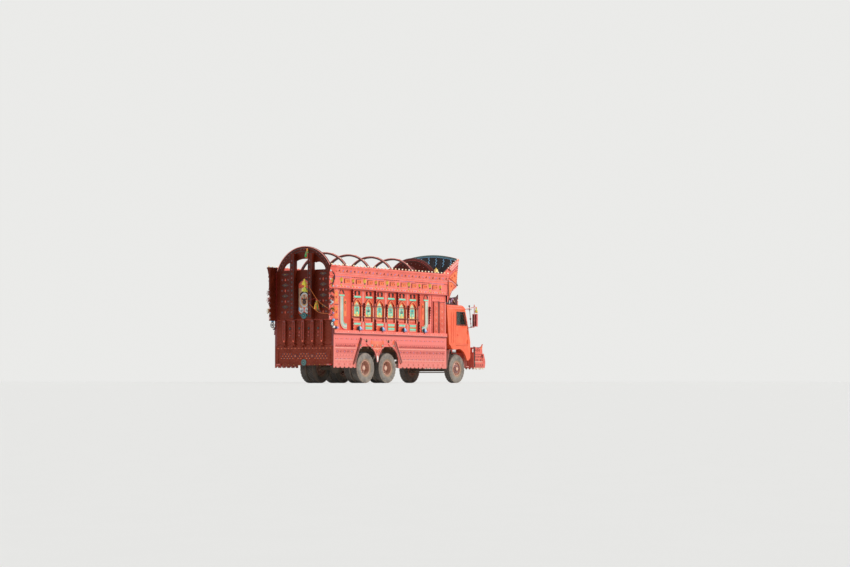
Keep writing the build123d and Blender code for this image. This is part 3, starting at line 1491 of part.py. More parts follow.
# Bumper: a deep boxed step across the front, open below, with end cheeks, a row of arches and two horns
with BuildPart() as bumper:
    with BuildSketch(side(0)):
        with BuildLine():
            Polyline(
                (bumper_rear, bumper_low),
                (bumper_front - 30, bumper_low),
                (bumper_front, bumper_nose),
                (bumper_front - bumper_slope, bumper_shelf),
                (bumper_rear, bumper_shelf),
                close=True,
            )
        make_face()
    extrude(amount=bumper_half, both=True)
    with BuildSketch(side(0)):
        with BuildLine():
            Polyline(
                (bumper_rear + bumper_wall, bumper_low - 50),
                (bumper_front - 30 - bumper_wall, bumper_low - 50),
                (bumper_front - bumper_wall, bumper_nose),
                (bumper_front - bumper_slope - bumper_wall, bumper_shelf - bumper_wall),
                (bumper_rear + bumper_wall, bumper_shelf - bumper_wall),
                close=True,
            )
        make_face()
    extrude(amount=bumper_half - bumper_wall, both=True, mode=Mode.SUBTRACT)
    for hand in (-1, 1):
        with BuildSketch(side(hand * (bumper_half - 20))):
            with BuildLine():
                Polyline(
                    (bumper_rear + 40, bumper_shelf),
                    (bumper_front - 200, bumper_shelf),
                    (bumper_front - 225, bumper_high - 40),
                    (bumper_front - 180, bumper_high + 120),
                    (bumper_front - 290, bumper_high),
                    (bumper_front - 480, bumper_high - 60),
                    (bumper_rear + 150, bumper_high),
                    (bumper_rear + 40, bumper_high + 20),
                    close=True,
                )
            make_face()
        extrude(amount=20, both=True)
        with BuildSketch(side(hand * bumper_half)):
            with BuildLine():
                Polyline(
                    (bumper_front - 300, bumper_shelf - 40),
                    (bumper_front - 160, bumper_shelf - 40),
                    (bumper_front - 240, bumper_shelf - 240),
                    close=True,
                )
            make_face()
        extrude(amount=2 * bumper_wall, both=True, mode=Mode.SUBTRACT)
    arcade_mid = (bumper_shelf + bumper_high) / 2
    with BuildSketch(cross(bumper_front - 300)):
        with Locations((0, arcade_mid)):
            Rectangle(2 * bumper_half, bumper_high - bumper_shelf)
        with GridLocations(300, 1, 7, 1):
            with Locations((0, arcade_mid)):
                Rectangle(230, 130, mode=Mode.SUBTRACT)
    extrude(amount=40)
bumper.part.label = "bumper"
export_step(bumper.part, "parts/bumper.step")


def wheel_section(x, y, hand):
    """A plane through the wheel's axis: local x points away from the lorry, local y is the radius."""
    return Plane(origin=at(x, y, tyre_radius), x_dir=(0, hand, 0), z_dir=(hand, 0, 0))


def wheel_axis(x):
    return Axis(at(x, 0, tyre_radius), (0, 1, 0))


def tyre_profile(shift):
    """A tyre's cross-section, from bead to tread; shift moves it along the wheel's axis."""
    side_y = tyre_width / 2
    bulge = (bead_radius + tyre_radius) / 2 + 8
    right = (shift + side_y - 18, tyre_radius - shoulder_drop)
    left = (shift - side_y + 18, tyre_radius - shoulder_drop)
    with BuildLine() as outline:
        Line((shift - bead_half, bead_radius), (shift + bead_half, bead_radius))
        ThreePointArc((shift + bead_half, bead_radius), (shift + side_y, bulge), right)
        Line(right, (shift + tread_half, tyre_radius))
        Line((shift + tread_half, tyre_radius), (shift - tread_half, tyre_radius))
        Line((shift - tread_half, tyre_radius), left)
        ThreePointArc(left, (shift - side_y, bulge), (shift - bead_half, bead_radius))
    make_face(outline.edges())


def ring(inner, outer, start, end):
    """A ring's cross-section between two radii and two places along the wheel's axis."""
    with Locations(((start + end) / 2, (inner + outer) / 2)):
        Rectangle(end - start, outer - inner)


def barrel_profile(shift):
    edge = bead_half + rim_overhang
    ring(bead_radius - seat - rim_wall, bead_radius - seat, shift - edge, shift + edge)
    for start in (shift - edge, shift + edge - flange_width):
        ring(bead_radius - seat - rim_wall, bead_radius + flange_height, start, start + flange_width)


def hand_hole_ring(x, y, hand, depth):
    """Round holes through a wheel's disc, from outside inwards."""
    with BuildSketch(Plane(origin=at(x, y, tyre_radius), z_dir=(0, -hand, 0))) as holes:
        with PolarLocations(hand_hole_circle, hand_holes):
            Circle(hand_hole_radius)
    extrude(holes.sketch, amount=depth, mode=Mode.SUBTRACT)


# Front wheels: a tyre, and a rim with a raised, pierced centre that turns on the knuckle's spindle
barrel_inner = bead_radius - rim_wall / 2
disc_rise = 75
disc_flat = 150
for name, hand in (("right", -1), ("left", 1)):
    with BuildPart() as tyre:
        with BuildSketch(wheel_section(front_axle_x, hand * front_tyre_y, hand)):
            tyre_profile(0)
        revolve(axis=wheel_axis(front_axle_x))
    tyre.part.label = f"front_tyre_{name}"
    export_step(tyre.part, f"parts/front_tyre_{name}.step")

    with BuildPart() as rim:
        with BuildSketch(wheel_section(front_axle_x, hand * front_tyre_y, hand)):
            barrel_profile(0)
            with BuildLine():
                Polyline(
                    (disc_rise - 55, barrel_inner),
                    (disc_rise - 55 + disc_wall, barrel_inner),
                    (disc_rise + disc_wall, disc_flat),
                    (disc_rise + disc_wall, hub_radius - 15),
                    (disc_rise, hub_radius - 15),
                    (disc_rise, disc_flat),
                    close=True,
                )
            make_face()
            ring(front_spindle + running_gap, hub_radius, -55, disc_rise + 20)
            ring(0, 72, front_spindle_end - front_tyre_y + 5, 125)
        revolve(axis=wheel_axis(front_axle_x))
        hand_hole_ring(front_axle_x, hand * (front_tyre_y + 120), hand, 120)
    rim.part.label = f"front_rim_{name}"
    export_step(rim.part, f"parts/front_rim_{name}.step")

# Rear wheels: twin tyres, and one piece with both rims, their discs back to back, the hub and the drum
drum_outer_end = twin_outer_y - twin_pitch / 2 - 85
hub_start = axle_tube_half + 10 - twin_outer_y
for axle, x in (("mid", mid_axle_x), ("rear", rear_axle_x)):
    for name, hand in (("right", -1), ("left", 1)):
        with BuildPart() as tyres:
            for shift in (0, -twin_pitch):
                with BuildSketch(wheel_section(x, hand * twin_outer_y, hand)):
                    tyre_profile(shift)
                revolve(axis=wheel_axis(x))
        tyres.part.label = f"{axle}_tyres_{name}"
        export_step(tyres.part, f"parts/{axle}_tyres_{name}.step")

        with BuildPart() as rims:
            middle = -twin_pitch / 2
            with BuildSketch(wheel_section(x, hand * twin_outer_y, hand)):
                barrel_profile(0)
                barrel_profile(-twin_pitch)
                for away in (-1, 1):
                    with BuildLine():
                        Polyline(
                            (middle + away * 55, barrel_inner),
                            (middle + away * 70, barrel_inner),
                            (middle + away * disc_wall, disc_flat),
                            (middle + away * disc_wall, hub_radius - 15),
                            (middle, hub_radius - 15),
                            (middle, disc_flat),
                            close=True,
                        )
                    make_face()
                ring(spindle_radius + running_gap, hub_radius, hub_start, 20)
                ring(0, 85, spindle_end - twin_outer_y + 5, 45)
                ring(drum_radius - 22, drum_radius, hub_start, drum_outer_end - twin_outer_y)
                drum_back = drum_outer_end - twin_outer_y
                ring(hub_radius - 10, drum_radius, drum_back - 14, drum_back)
            revolve(axis=wheel_axis(x))
            hand_hole_ring(x, hand * (twin_outer_y - 60), hand, 2 * twin_pitch / 3 - 20)
        rims.part.label = f"{axle}_rims_{name}"
        export_step(rims.part, f"parts/{axle}_rims_{name}.step")
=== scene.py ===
import json
from math import acos, asin, atan2, cos, pi, radians, sin, sqrt, tau

import bpy
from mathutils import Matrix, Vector


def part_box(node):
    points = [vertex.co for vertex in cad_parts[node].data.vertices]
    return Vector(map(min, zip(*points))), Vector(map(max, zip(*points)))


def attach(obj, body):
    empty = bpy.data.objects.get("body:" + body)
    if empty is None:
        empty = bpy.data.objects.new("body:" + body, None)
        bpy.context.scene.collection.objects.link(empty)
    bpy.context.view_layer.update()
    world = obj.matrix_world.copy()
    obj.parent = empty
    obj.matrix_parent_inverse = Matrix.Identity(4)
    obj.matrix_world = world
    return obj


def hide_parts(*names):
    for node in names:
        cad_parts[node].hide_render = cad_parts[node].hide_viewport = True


bl_info = {
    "name": "Painted cargo lorry",
    "version": (1, 0, 0),
    "blender": (4, 5, 0),
    "location": "View3D > Sidebar > Lorry",
    "description": "Dresses the packed lorry with its paintwork, carving, lights and tassels",
    "category": "Object",
}

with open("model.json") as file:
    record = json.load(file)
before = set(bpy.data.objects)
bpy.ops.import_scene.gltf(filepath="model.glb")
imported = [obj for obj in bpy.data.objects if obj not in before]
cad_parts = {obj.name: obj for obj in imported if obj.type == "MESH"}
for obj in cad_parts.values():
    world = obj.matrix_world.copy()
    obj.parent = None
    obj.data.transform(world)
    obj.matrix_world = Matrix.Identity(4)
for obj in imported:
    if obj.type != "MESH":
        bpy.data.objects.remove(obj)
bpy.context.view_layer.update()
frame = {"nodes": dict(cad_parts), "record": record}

# Places that the carving is set out from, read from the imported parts
WALL_LOW, WALL_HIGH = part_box("side_wall_right")
CROWN_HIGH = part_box("crown")[1]
TAIL = WALL_LOW.x
LENGTH = WALL_HIGH.x - WALL_LOW.x
CORNICE_TOP = WALL_HIGH.z
SIDES = (-1, 1)
HANDS = ((-1, "right"), (1, "left"))

# The side wall's bays, in metres forward of the tail and above the floor
WALL_FACE = 1.225
CORNICE_FOOT = 3.62
BELT_TOP = 1.8
FIRST_RIB, BAY = 1.055, 1.355
RIBS = [FIRST_RIB + BAY * i for i in range(4)]
NICHES = [rib + share * BAY for rib in RIBS[:-1] for share in (0.25, 0.75)]
BLOCKS = [FIRST_RIB - BAY / 4 + BAY / 2 * i for i in range(9)]
FRIEZE_MIDDLE = 3.46
REAR_AXLES = (1.9, 3.22)
ARCH_HALF = 0.615

# The crown's rake forwards, the roof hoops' axis, the cab's side and nose, and the wheels' radius
CROWN_RAKE = 0.177
HOOP_AXIS, HOOP_RADIUS = 3.35, 1.158
CAB_SIDE = 1.2
NOSE = 8.66
WHEEL_RADIUS = 0.52


def tint(red, green, blue):
    """A paint shade on the usual 0 to 255 scale, as Blender's linear colour."""
    return tuple((c / 255 / 12.92) if c < 11 else ((c / 255 + 0.055) / 1.055) ** 2.4 for c in (red, green, blue))


# Plain paints of the carved and painted work: shade, second shade of the brush, roughness
PAINTS = {
    "rose": (tint(246, 150, 140), tint(250, 176, 164), 0.42),
    "orange": (tint(244, 108, 58), tint(248, 134, 80), 0.4),
    "brick": (tint(214, 78, 52), tint(230, 98, 68), 0.42),
    "cream": (tint(236, 218, 190), tint(246, 232, 210), 0.42),
    "turquoise": (tint(104, 214, 176), tint(142, 228, 196), 0.38),
    "teal": (tint(28, 92, 98), tint(46, 120, 122), 0.38),
    "sky": (tint(108, 184, 236), tint(142, 208, 244), 0.38),
    "navy": (tint(16, 30, 62), tint(24, 44, 84), 0.4),
    "lilac": (tint(176, 132, 186), tint(196, 156, 202), 0.42),
    "olive": (tint(206, 160, 40), tint(224, 184, 66), 0.4),
    "lemon": (tint(240, 214, 110), tint(246, 228, 150), 0.4),
    "leaf": (tint(52, 132, 66), tint(78, 156, 86), 0.42),
    "maroon": (tint(112, 34, 34), tint(134, 46, 42), 0.45),
    "umber": (tint(56, 20, 18), tint(74, 30, 24), 0.5),
    "plum": (tint(190, 74, 68), tint(206, 92, 84), 0.45),
    "coral": (tint(238, 112, 82), tint(246, 130, 100), 0.45),
    "lagoon": (tint(70, 168, 142), tint(96, 188, 160), 0.45),
    "peach": (tint(196, 146, 112), tint(214, 170, 138), 0.45),
    "garnet": (tint(96, 16, 12), tint(118, 28, 20), 0.5),
    "soot": (tint(30, 10, 14), tint(42, 16, 20), 0.55),
    "pearl": (tint(196, 206, 168), tint(210, 218, 184), 0.45),
    "silver": (tint(196, 198, 204), tint(216, 218, 222), 0.36),
    "white": (tint(240, 238, 232), tint(250, 248, 244), 0.36),
    "black": (tint(26, 22, 24), tint(38, 32, 34), 0.5),
}

THREADS = {
    "red thread": (tint(206, 30, 24), tint(230, 60, 40)),
    "orange thread": (tint(240, 112, 20), tint(250, 146, 40)),
    "yellow thread": (tint(250, 206, 10), tint(255, 226, 60)),
    "lemon thread": (tint(220, 222, 40), tint(240, 240, 100)),
    "green thread": (tint(16, 150, 62), tint(50, 182, 88)),
}

BULBS = {"pearl bulb": tint(252, 240, 206), "amber bulb": tint(250, 206, 120)}


class LorrySizes(bpy.types.PropertyGroup):
    """Sizes of the carving and the lights."""

    bulb: bpy.props.FloatProperty(
        name="Bulb", description="Radius of the cornice lights", default=0.028, unit="LENGTH"
    )
    bulb_pitch: bpy.props.FloatProperty(
        name="Bulb spacing", description="Distance between cornice lights", default=0.21, unit="LENGTH"
    )
    globe: bpy.props.FloatProperty(
        name="Globe", description="Radius of the globes on the belt rail", default=0.075, unit="LENGTH"
    )


class LorryColours(bpy.types.PropertyGroup):
    """Main colours of the paintwork."""

    body: bpy.props.FloatVectorProperty(
        name="Body", description="Side walls and skirts", subtype="COLOR", default=tint(236, 108, 92)
    )
    # The tail colour is the rear's paint darkened as painted shade
    tail: bpy.props.FloatVectorProperty(
        name="Tail", description="Rear wall and tailgate", subtype="COLOR", default=tint(120, 40, 16)
    )
    cab: bpy.props.FloatVectorProperty(
        name="Cab", description="Cab panels", subtype="COLOR", default=tint(248, 92, 46)
    )
    floor: bpy.props.FloatVectorProperty(
        name="Floor", description="Studio floor and backdrop", subtype="COLOR", default=tint(236, 236, 234)
    )


class Nodes:
    """A short way to lay and join shader nodes in one tree."""

    def __init__(self, tree):
        self.tree = tree

    def put(self, kind, **values):
        node = self.tree.nodes.new(kind)
        for name, value in values.items():
            setattr(node, name, value)
        return node

    def feed(self, node, name, value):
        socket = node.inputs[name]
        if isinstance(value, bpy.types.NodeSocket):
            self.tree.links.new(value, socket)
        elif isinstance(value, tuple) and len(value) == 3 and socket.type == "RGBA":
            socket.default_value = (*value, 1.0)
        else:
            socket.default_value = value

    def sum(self, operation, a, b=0.0, c=0.0):
        node = self.put("ShaderNodeMath", operation=operation)
        for place, value in enumerate((a, b, c)):
            self.feed(node, place, value)
        return node.outputs[0]

    def plus(self, a, b):
        return self.sum("ADD", a, b)

    def less(self, a, b):
        return self.sum("SUBTRACT", a, b)

    def times(self, a, b):
        return self.sum("MULTIPLY", a, b)

    def blend(self, share, a, b, kind="MIX"):
        node = self.put("ShaderNodeMix", data_type="RGBA", blend_type=kind)
        self.feed(node, 0, share)
        self.feed(node, 6, a)
        self.feed(node, 7, b)
        return node.outputs[2]

    def noise(self, vector, scale, detail=3.0, rough=0.55, stretch=None):
        if stretch:
            spread = self.put("ShaderNodeMapping")
            self.feed(spread, "Vector", vector)
            spread.inputs["Scale"].default_value = stretch
            vector = spread.outputs[0]
        node = self.put("ShaderNodeTexNoise")
        self.feed(node, "Vector", vector)
        self.feed(node, "Scale", scale)
        self.feed(node, "Detail", detail)
        self.feed(node, "Roughness", rough)
        return node.outputs["Fac"]

    def ramp(self, value, low, high):
        node = self.put("ShaderNodeMapRange", interpolation_type="SMOOTHSTEP")
        self.feed(node, "Value", value)
        self.feed(node, "From Min", low)
        self.feed(node, "From Max", high)
        return node.outputs["Result"]

    def between(self, value, low, high, soft=0.003):
        """1 where a value lies between two limits, 0 elsewhere."""
        over = self.ramp(value, low - soft, low + soft)
        return self.times(over, self.less(1.0, self.ramp(value, high - soft, high + soft)))

    def split(self, vector):
        node = self.put("ShaderNodeSeparateXYZ")
        self.feed(node, 0, vector)
        return node.outputs

    def join(self, x, y, z=0.0):
        node = self.put("ShaderNodeCombineXYZ")
        for place, value in enumerate((x, y, z)):
            self.feed(node, place, value)
        return node.outputs[0]

    def group(self, name, **values):
        node = self.put("ShaderNodeGroup")
        node.node_tree = bpy.data.node_groups[name]
        for socket, value in values.items():
            self.feed(node, socket.replace("_", " "), value)
        return node.outputs


def new_group(name, takes, gives):
    """An empty shader node group with named sockets, and its nodes."""
    tree = bpy.data.node_groups.new(name, "ShaderNodeTree")
    for socket, kind, value in takes:
        made = tree.interface.new_socket(name=socket, in_out="INPUT", socket_type=kind)
        if value is not None:
            made.default_value = value
    for socket, kind in gives:
        tree.interface.new_socket(name=socket, in_out="OUTPUT", socket_type=kind)
    nodes = Nodes(tree)
    return nodes, nodes.put("NodeGroupInput").outputs, nodes.put("NodeGroupOutput")


def make_brushed_coat():
    """Brush-laid enamel: two shades, sun fade, and fine brush ridges."""
    nodes, given, out = new_group(
        "Brushed coat",
        (
            ("Vector", "NodeSocketVector", None),
            ("Shade", "NodeSocketColor", None),
            ("Second", "NodeSocketColor", None),
            ("Roughness", "NodeSocketFloat", 0.42),
        ),
        (("Colour", "NodeSocketColor"), ("Roughness", "NodeSocketFloat"), ("Height", "NodeSocketFloat")),
    )
    broad = nodes.noise(given["Vector"], 3.0, 4.0)
    strokes = nodes.noise(given["Vector"], 40.0, 3.0, 0.6, (1.0, 1.0, 0.2))
    fine = nodes.noise(given["Vector"], 160.0, 2.0)
    share = nodes.ramp(nodes.plus(broad, nodes.times(strokes, 0.5)), 0.55, 0.95)
    colour = nodes.blend(share, given["Shade"], given["Second"])
    faded = nodes.blend(nodes.ramp(fine, 0.62, 0.8), colour, nodes.blend(0.3, colour, (0.9, 0.86, 0.8)))
    nodes.feed(out, "Colour", faded)
    rough = nodes.plus(given["Roughness"], nodes.times(nodes.less(broad, 0.5), 0.35))
    nodes.feed(out, "Roughness", rough)
    nodes.feed(out, "Height", nodes.plus(nodes.times(strokes, 0.7), nodes.times(fine, 0.3)))


def make_road_dust():
    """Dust that thickens towards the road, settles on ledges and gathers in blotches."""
    nodes, given, out = new_group(
        "Road dust",
        (
            ("Vector", "NodeSocketVector", None),
            ("Normal", "NodeSocketVector", None),
            ("Colour", "NodeSocketColor", None),
            ("Roughness", "NodeSocketFloat", 0.4),
            ("Dust", "NodeSocketColor", (0.42, 0.33, 0.24, 1.0)),
            ("Amount", "NodeSocketFloat", 0.35),
            ("Reach", "NodeSocketFloat", 1.6),
        ),
        (("Colour", "NodeSocketColor"), ("Roughness", "NodeSocketFloat"), ("Mask", "NodeSocketFloat")),
    )
    height = nodes.split(given["Vector"])[2]
    low = nodes.less(1.0, nodes.sum("DIVIDE", height, given["Reach"]))
    up = nodes.split(given["Normal"])[2]
    blotch = nodes.noise(given["Vector"], 2.2, 5.0, 0.65)
    settled = nodes.ramp(up, 0.45, 0.95)
    amount = nodes.plus(nodes.sum("MAXIMUM", low, 0.0), nodes.times(settled, 0.55))
    amount = nodes.plus(amount, nodes.times(nodes.less(blotch, 0.5), 0.9))
    node = nodes.put("ShaderNodeClamp")
    nodes.feed(node, "Value", nodes.times(nodes.sum("MAXIMUM", amount, 0.0), given["Amount"]))
    mask = node.outputs[0]
    nodes.feed(out, "Colour", nodes.blend(mask, given["Colour"], given["Dust"]))
    nodes.feed(out, "Roughness", nodes.plus(given["Roughness"], nodes.times(mask, 0.5)))
    nodes.feed(out, "Mask", mask)


def make_flower_field():
    """Hand-painted rows of flowers in diamonds over a flat plane, as masks and a height."""
    nodes, given, out = new_group(
        "Flower field",
        (
            ("Plane", "NodeSocketVector", None),
            ("Pitch", "NodeSocketFloat", 0.16),
            ("Petals", "NodeSocketFloat", 6.0),
        ),
        (
            ("Petal", "NodeSocketFloat"),
            ("Heart", "NodeSocketFloat"),
            ("Line", "NodeSocketFloat"),
            ("Dot", "NodeSocketFloat"),
        ),
    )
    x, y, _ = nodes.split(given["Plane"])
    u = nodes.sum("DIVIDE", x, given["Pitch"])
    shift = nodes.times(nodes.sum("MODULO", nodes.sum("FLOOR", u), 2.0), 0.5)
    v = nodes.plus(nodes.sum("DIVIDE", y, given["Pitch"]), shift)
    cu = nodes.less(nodes.sum("FRACT", u), 0.5)
    cv = nodes.less(nodes.sum("FRACT", v), 0.5)
    reach = nodes.sum("SQRT", nodes.plus(nodes.times(cu, cu), nodes.times(cv, cv)))
    turn = nodes.times(nodes.sum("ARCTAN2", cv, cu), given["Petals"])
    edge = nodes.plus(0.24, nodes.times(nodes.sum("COSINE", turn), 0.1))
    gap = nodes.less(edge, reach)
    nodes.feed(out, "Petal", nodes.ramp(gap, -0.01, 0.02))
    nodes.feed(out, "Heart", nodes.ramp(nodes.less(0.09, reach), -0.01, 0.015))
    far = nodes.plus(nodes.sum("ABSOLUTE", cu), nodes.sum("ABSOLUTE", cv))
    line = nodes.less(0.035, nodes.sum("ABSOLUTE", nodes.less(far, 0.5)))
    nodes.feed(out, "Line", nodes.ramp(line, -0.01, 0.015))
    nodes.feed(out, "Dot", nodes.ramp(nodes.less(far, 0.88), -0.01, 0.03))


def start_material(name):
    """A material with an emptied tree: its nodes, its surface shader, object position and object normal."""
    made = bpy.data.materials.new(name)
    made.use_nodes = True
    made.node_tree.nodes.clear()
    nodes = Nodes(made.node_tree)
    shader = nodes.put("ShaderNodeBsdfPrincipled")
    out = nodes.put("ShaderNodeOutputMaterial")
    made.node_tree.links.new(shader.outputs[0], out.inputs[0])
    place = nodes.put("ShaderNodeTexCoord")
    return made, nodes, shader, place.outputs["Object"], place.outputs["Normal"]


def roughen(nodes, shader, height, strength, distance=0.002):
    """Feed a height into the shader's normal."""
    bump = nodes.put("ShaderNodeBump")
    nodes.feed(bump, "Height", height)
    bump.inputs["Strength"].default_value = strength
    bump.inputs["Distance"].default_value = distance
    nodes.tree.links.new(bump.outputs[0], shader.inputs["Normal"])


def make_enamel(name, shade, second, rough, dust=0.3, reach=1.6, coat=0.15):
    """Brush-laid enamel with road dust over it."""
    made, nodes, shader, place, facing = start_material(name)
    coats = nodes.group("Brushed coat", Vector=place, Shade=shade, Second=second, Roughness=rough)
    dusty = nodes.group(
        "Road dust", Vector=place, Normal=facing, Colour=coats["Colour"], Roughness=coats["Roughness"],
        Amount=dust, Reach=reach,
    )
    nodes.feed(shader, "Base Color", dusty["Colour"])
    nodes.feed(shader, "Roughness", dusty["Roughness"])
    shader.inputs["Coat Weight"].default_value = coat
    shader.inputs["Coat Roughness"].default_value = 0.3
    roughen(nodes, shader, coats["Height"], 0.25)
    return made


def make_body_paint(name, shade, plane="XZ", pitch=0.15, strength=1.0, dust=0.3, zones=(), gloss=0.5):
    """Body enamel under rows of painted flowers; zones lay other colours, painted shade among them, on chosen faces
    and places.
    """
    made, nodes, shader, place, facing = start_material(name)
    second = tuple(min(1.0, c * 1.25 + 0.01) for c in shade)
    coats = nodes.group("Brushed coat", Vector=place, Shade=shade, Second=second, Roughness=0.42)
    x, y, z = nodes.split(place)
    flat = nodes.join(x, z) if plane == "XZ" else nodes.join(y, z)
    field = nodes.group("Flower field", Plane=flat, Pitch=pitch)
    colour = coats["Colour"]
    for mask, paint, share in (
        ("Line", "orange", 0.7),
        ("Petal", "rose", 0.6),
        ("Heart", "maroon", 0.7),
        ("Dot", "lilac", 0.6),
    ):
        colour = nodes.blend(nodes.times(field[mask], share * strength), colour, PAINTS[paint][0])
    ahead, outward, _ = nodes.split(facing)
    measures = {
        "station": nodes.less(x, TAIL),
        "height": z,
        "depth": nodes.sum("ABSOLUTE", y),
        "outward": nodes.times(outward, nodes.sum("SIGN", y)),
        "inward": nodes.times(outward, nodes.times(nodes.sum("SIGN", y), -1.0)),
        "behind": nodes.times(ahead, -1.0),
    }
    for paint, limits in zones:
        mask = 1.0
        for measure, low, high, soft in limits:
            mask = nodes.times(mask, nodes.between(measures[measure], low, high, soft))
        colour = nodes.blend(mask, colour, paint)
    dusty = nodes.group(
        "Road dust", Vector=place, Normal=facing, Colour=colour, Roughness=coats["Roughness"], Amount=dust, Reach=1.5,
    )
    nodes.feed(shader, "Base Color", dusty["Colour"])
    nodes.feed(shader, "Roughness", dusty["Roughness"])
    shader.inputs["Specular IOR Level"].default_value = gloss
    shader.inputs["Coat Weight"].default_value = 0.3 * gloss
    shader.inputs["Coat Roughness"].default_value = 0.3
    ridge = nodes.plus(coats["Height"], nodes.times(field["Petal"], 0.8))
    roughen(nodes, shader, ridge, 0.3)
    return made


def make_metal(name, shade, rough, rust=0.3, metallic=0.9):
    """Worn bare metal with rust in blotches."""
    made, nodes, shader, place, facing = start_material(name)
    blotch = nodes.noise(place, 9.0, 6.0, 0.7)
    grain = nodes.noise(place, 220.0, 2.0)
    rusty = nodes.times(nodes.ramp(blotch, 0.52, 0.72), rust)
    colour = nodes.blend(rusty, nodes.blend(nodes.times(grain, 0.4), shade, (0.02, 0.02, 0.02)), (0.16, 0.06, 0.03))
    dusty = nodes.group(
        "Road dust", Vector=place, Normal=facing, Colour=colour,
        Roughness=nodes.plus(rough, nodes.times(rusty, 0.4)), Amount=0.6, Reach=1.6,
    )
    nodes.feed(shader, "Base Color", dusty["Colour"])
    nodes.feed(shader, "Roughness", dusty["Roughness"])
    nodes.feed(shader, "Metallic", nodes.times(nodes.less(1.0, dusty["Mask"]), metallic))
    roughen(nodes, shader, nodes.plus(blotch, grain), 0.3)
    return made


def make_timber(name):
    """Worn deck planks that run along the lorry."""
    made, nodes, shader, place, _ = start_material(name)
    x, y, z = nodes.split(place)
    plank = nodes.sum("FLOOR", nodes.sum("DIVIDE", y, 0.18))
    seam = nodes.sum("ABSOLUTE", nodes.less(nodes.sum("FRACT", nodes.sum("DIVIDE", y, 0.18)), 0.5))
    shifted = nodes.join(nodes.plus(x, nodes.times(plank, 3.7)), y, z)
    grain = nodes.noise(shifted, 6.0, 6.0, 0.7, (1.0, 18.0, 18.0))
    tone = nodes.noise(nodes.join(plank, plank), 3.1)
    colour = nodes.blend(grain, tint(104, 74, 50), tint(166, 132, 96))
    colour = nodes.blend(nodes.times(tone, 0.5), colour, tint(120, 104, 88))
    gap = nodes.ramp(seam, 0.475, 0.495)
    colour = nodes.blend(gap, colour, tint(30, 22, 18))
    nodes.feed(shader, "Base Color", colour)
    nodes.feed(shader, "Roughness", nodes.plus(0.6, nodes.times(grain, 0.3)))
    roughen(nodes, shader, nodes.less(grain, nodes.times(gap, 2.0)), 0.5)
    return made


def make_glass(name, shade):
    """Dark pane, darkened as painted shade of the cab inside, with a film of dust."""
    made, nodes, shader, place, _ = start_material(name)
    film = nodes.noise(place, 5.0, 5.0, 0.7)
    nodes.feed(shader, "Base Color", nodes.blend(nodes.ramp(film, 0.6, 1.0), shade, tint(150, 142, 128)))
    nodes.feed(shader, "Roughness", nodes.times(nodes.ramp(film, 0.5, 0.95), 0.25))
    shader.inputs["Transmission Weight"].default_value = 0.9
    shader.inputs["IOR"].default_value = 1.45
    roughen(nodes, shader, film, 0.05)
    return made


def make_rubber(name):
    """Dusty tyre rubber: grey with a tan ring on the walls, and slanted grooves round the tread."""
    made, nodes, shader, place, facing = start_material(name)
    grain = nodes.noise(place, 90.0, 3.0)
    blotch = nodes.noise(place, 4.0, 5.0, 0.7)
    y = nodes.split(place)[1]
    ahead, outward, up = nodes.split(facing)
    side = nodes.sum("ABSOLUTE", outward)
    wall = nodes.ramp(side, 0.25, 0.7)
    ring = nodes.times(nodes.ramp(side, 0.72, 0.8), nodes.less(1.0, nodes.ramp(side, 0.9, 0.97)))
    turn = nodes.times(nodes.sum("ARCTAN2", up, ahead), 56 / tau)
    slant = nodes.sum("PINGPONG", nodes.times(y, 16.0), 1.0)
    notch = nodes.sum("ABSOLUTE", nodes.less(nodes.sum("FRACT", nodes.plus(turn, slant)), 0.5))
    groove = nodes.times(nodes.ramp(notch, 0.3, 0.36), nodes.less(1.0, wall))
    dust = nodes.times(nodes.ramp(blotch, 0.25, 0.75), nodes.plus(0.5, nodes.times(wall, 0.4)))
    colour = nodes.blend(dust, tint(98, 94, 90), tint(176, 166, 152))
    colour = nodes.blend(nodes.times(ring, 0.6), colour, tint(186, 150, 112))
    colour = nodes.blend(nodes.times(groove, 0.85), colour, tint(26, 24, 24))
    nodes.feed(shader, "Base Color", nodes.blend(nodes.times(grain, 0.25), colour, tint(84, 80, 78)))
    nodes.feed(shader, "Roughness", nodes.plus(0.75, nodes.times(dust, 0.2)))
    roughen(nodes, shader, nodes.less(nodes.times(grain, 0.2), groove), 0.7, 0.012)
    return made


def make_cloth(name, shade, second):
    """Woven cloth with crossing threads."""
    made, nodes, shader, place, _ = start_material(name)
    x, y, z = nodes.split(place)
    warp = nodes.sum("SINE", nodes.times(y, 2400.0))
    weft = nodes.sum("SINE", nodes.times(nodes.plus(x, z), 2400.0))
    weave = nodes.times(warp, weft)
    blotch = nodes.noise(place, 7.0, 4.0)
    colour = nodes.blend(nodes.ramp(weave, -0.5, 0.5), shade, second)
    nodes.feed(shader, "Base Color", nodes.blend(nodes.times(blotch, 0.4), colour, tint(120, 100, 84)))
    nodes.feed(shader, "Roughness", nodes.plus(0.8, nodes.times(weave, 0.08)))
    shader.inputs["Sheen Weight"].default_value = 0.3
    roughen(nodes, shader, weave, 0.3, 0.001)
    return made


def make_thread(name, shade, second):
    """Silky tassel thread with fine strands along its hang."""
    made, nodes, shader, place, _ = start_material(name)
    strands = nodes.noise(place, 60.0, 2.0, 0.6, (6.0, 6.0, 0.4))
    nodes.feed(shader, "Base Color", nodes.blend(nodes.ramp(strands, 0.35, 0.65), shade, second))
    nodes.feed(shader, "Roughness", nodes.plus(0.5, nodes.times(strands, 0.3)))
    shader.inputs["Sheen Weight"].default_value = 0.5
    roughen(nodes, shader, strands, 0.6, 0.004)
    return made


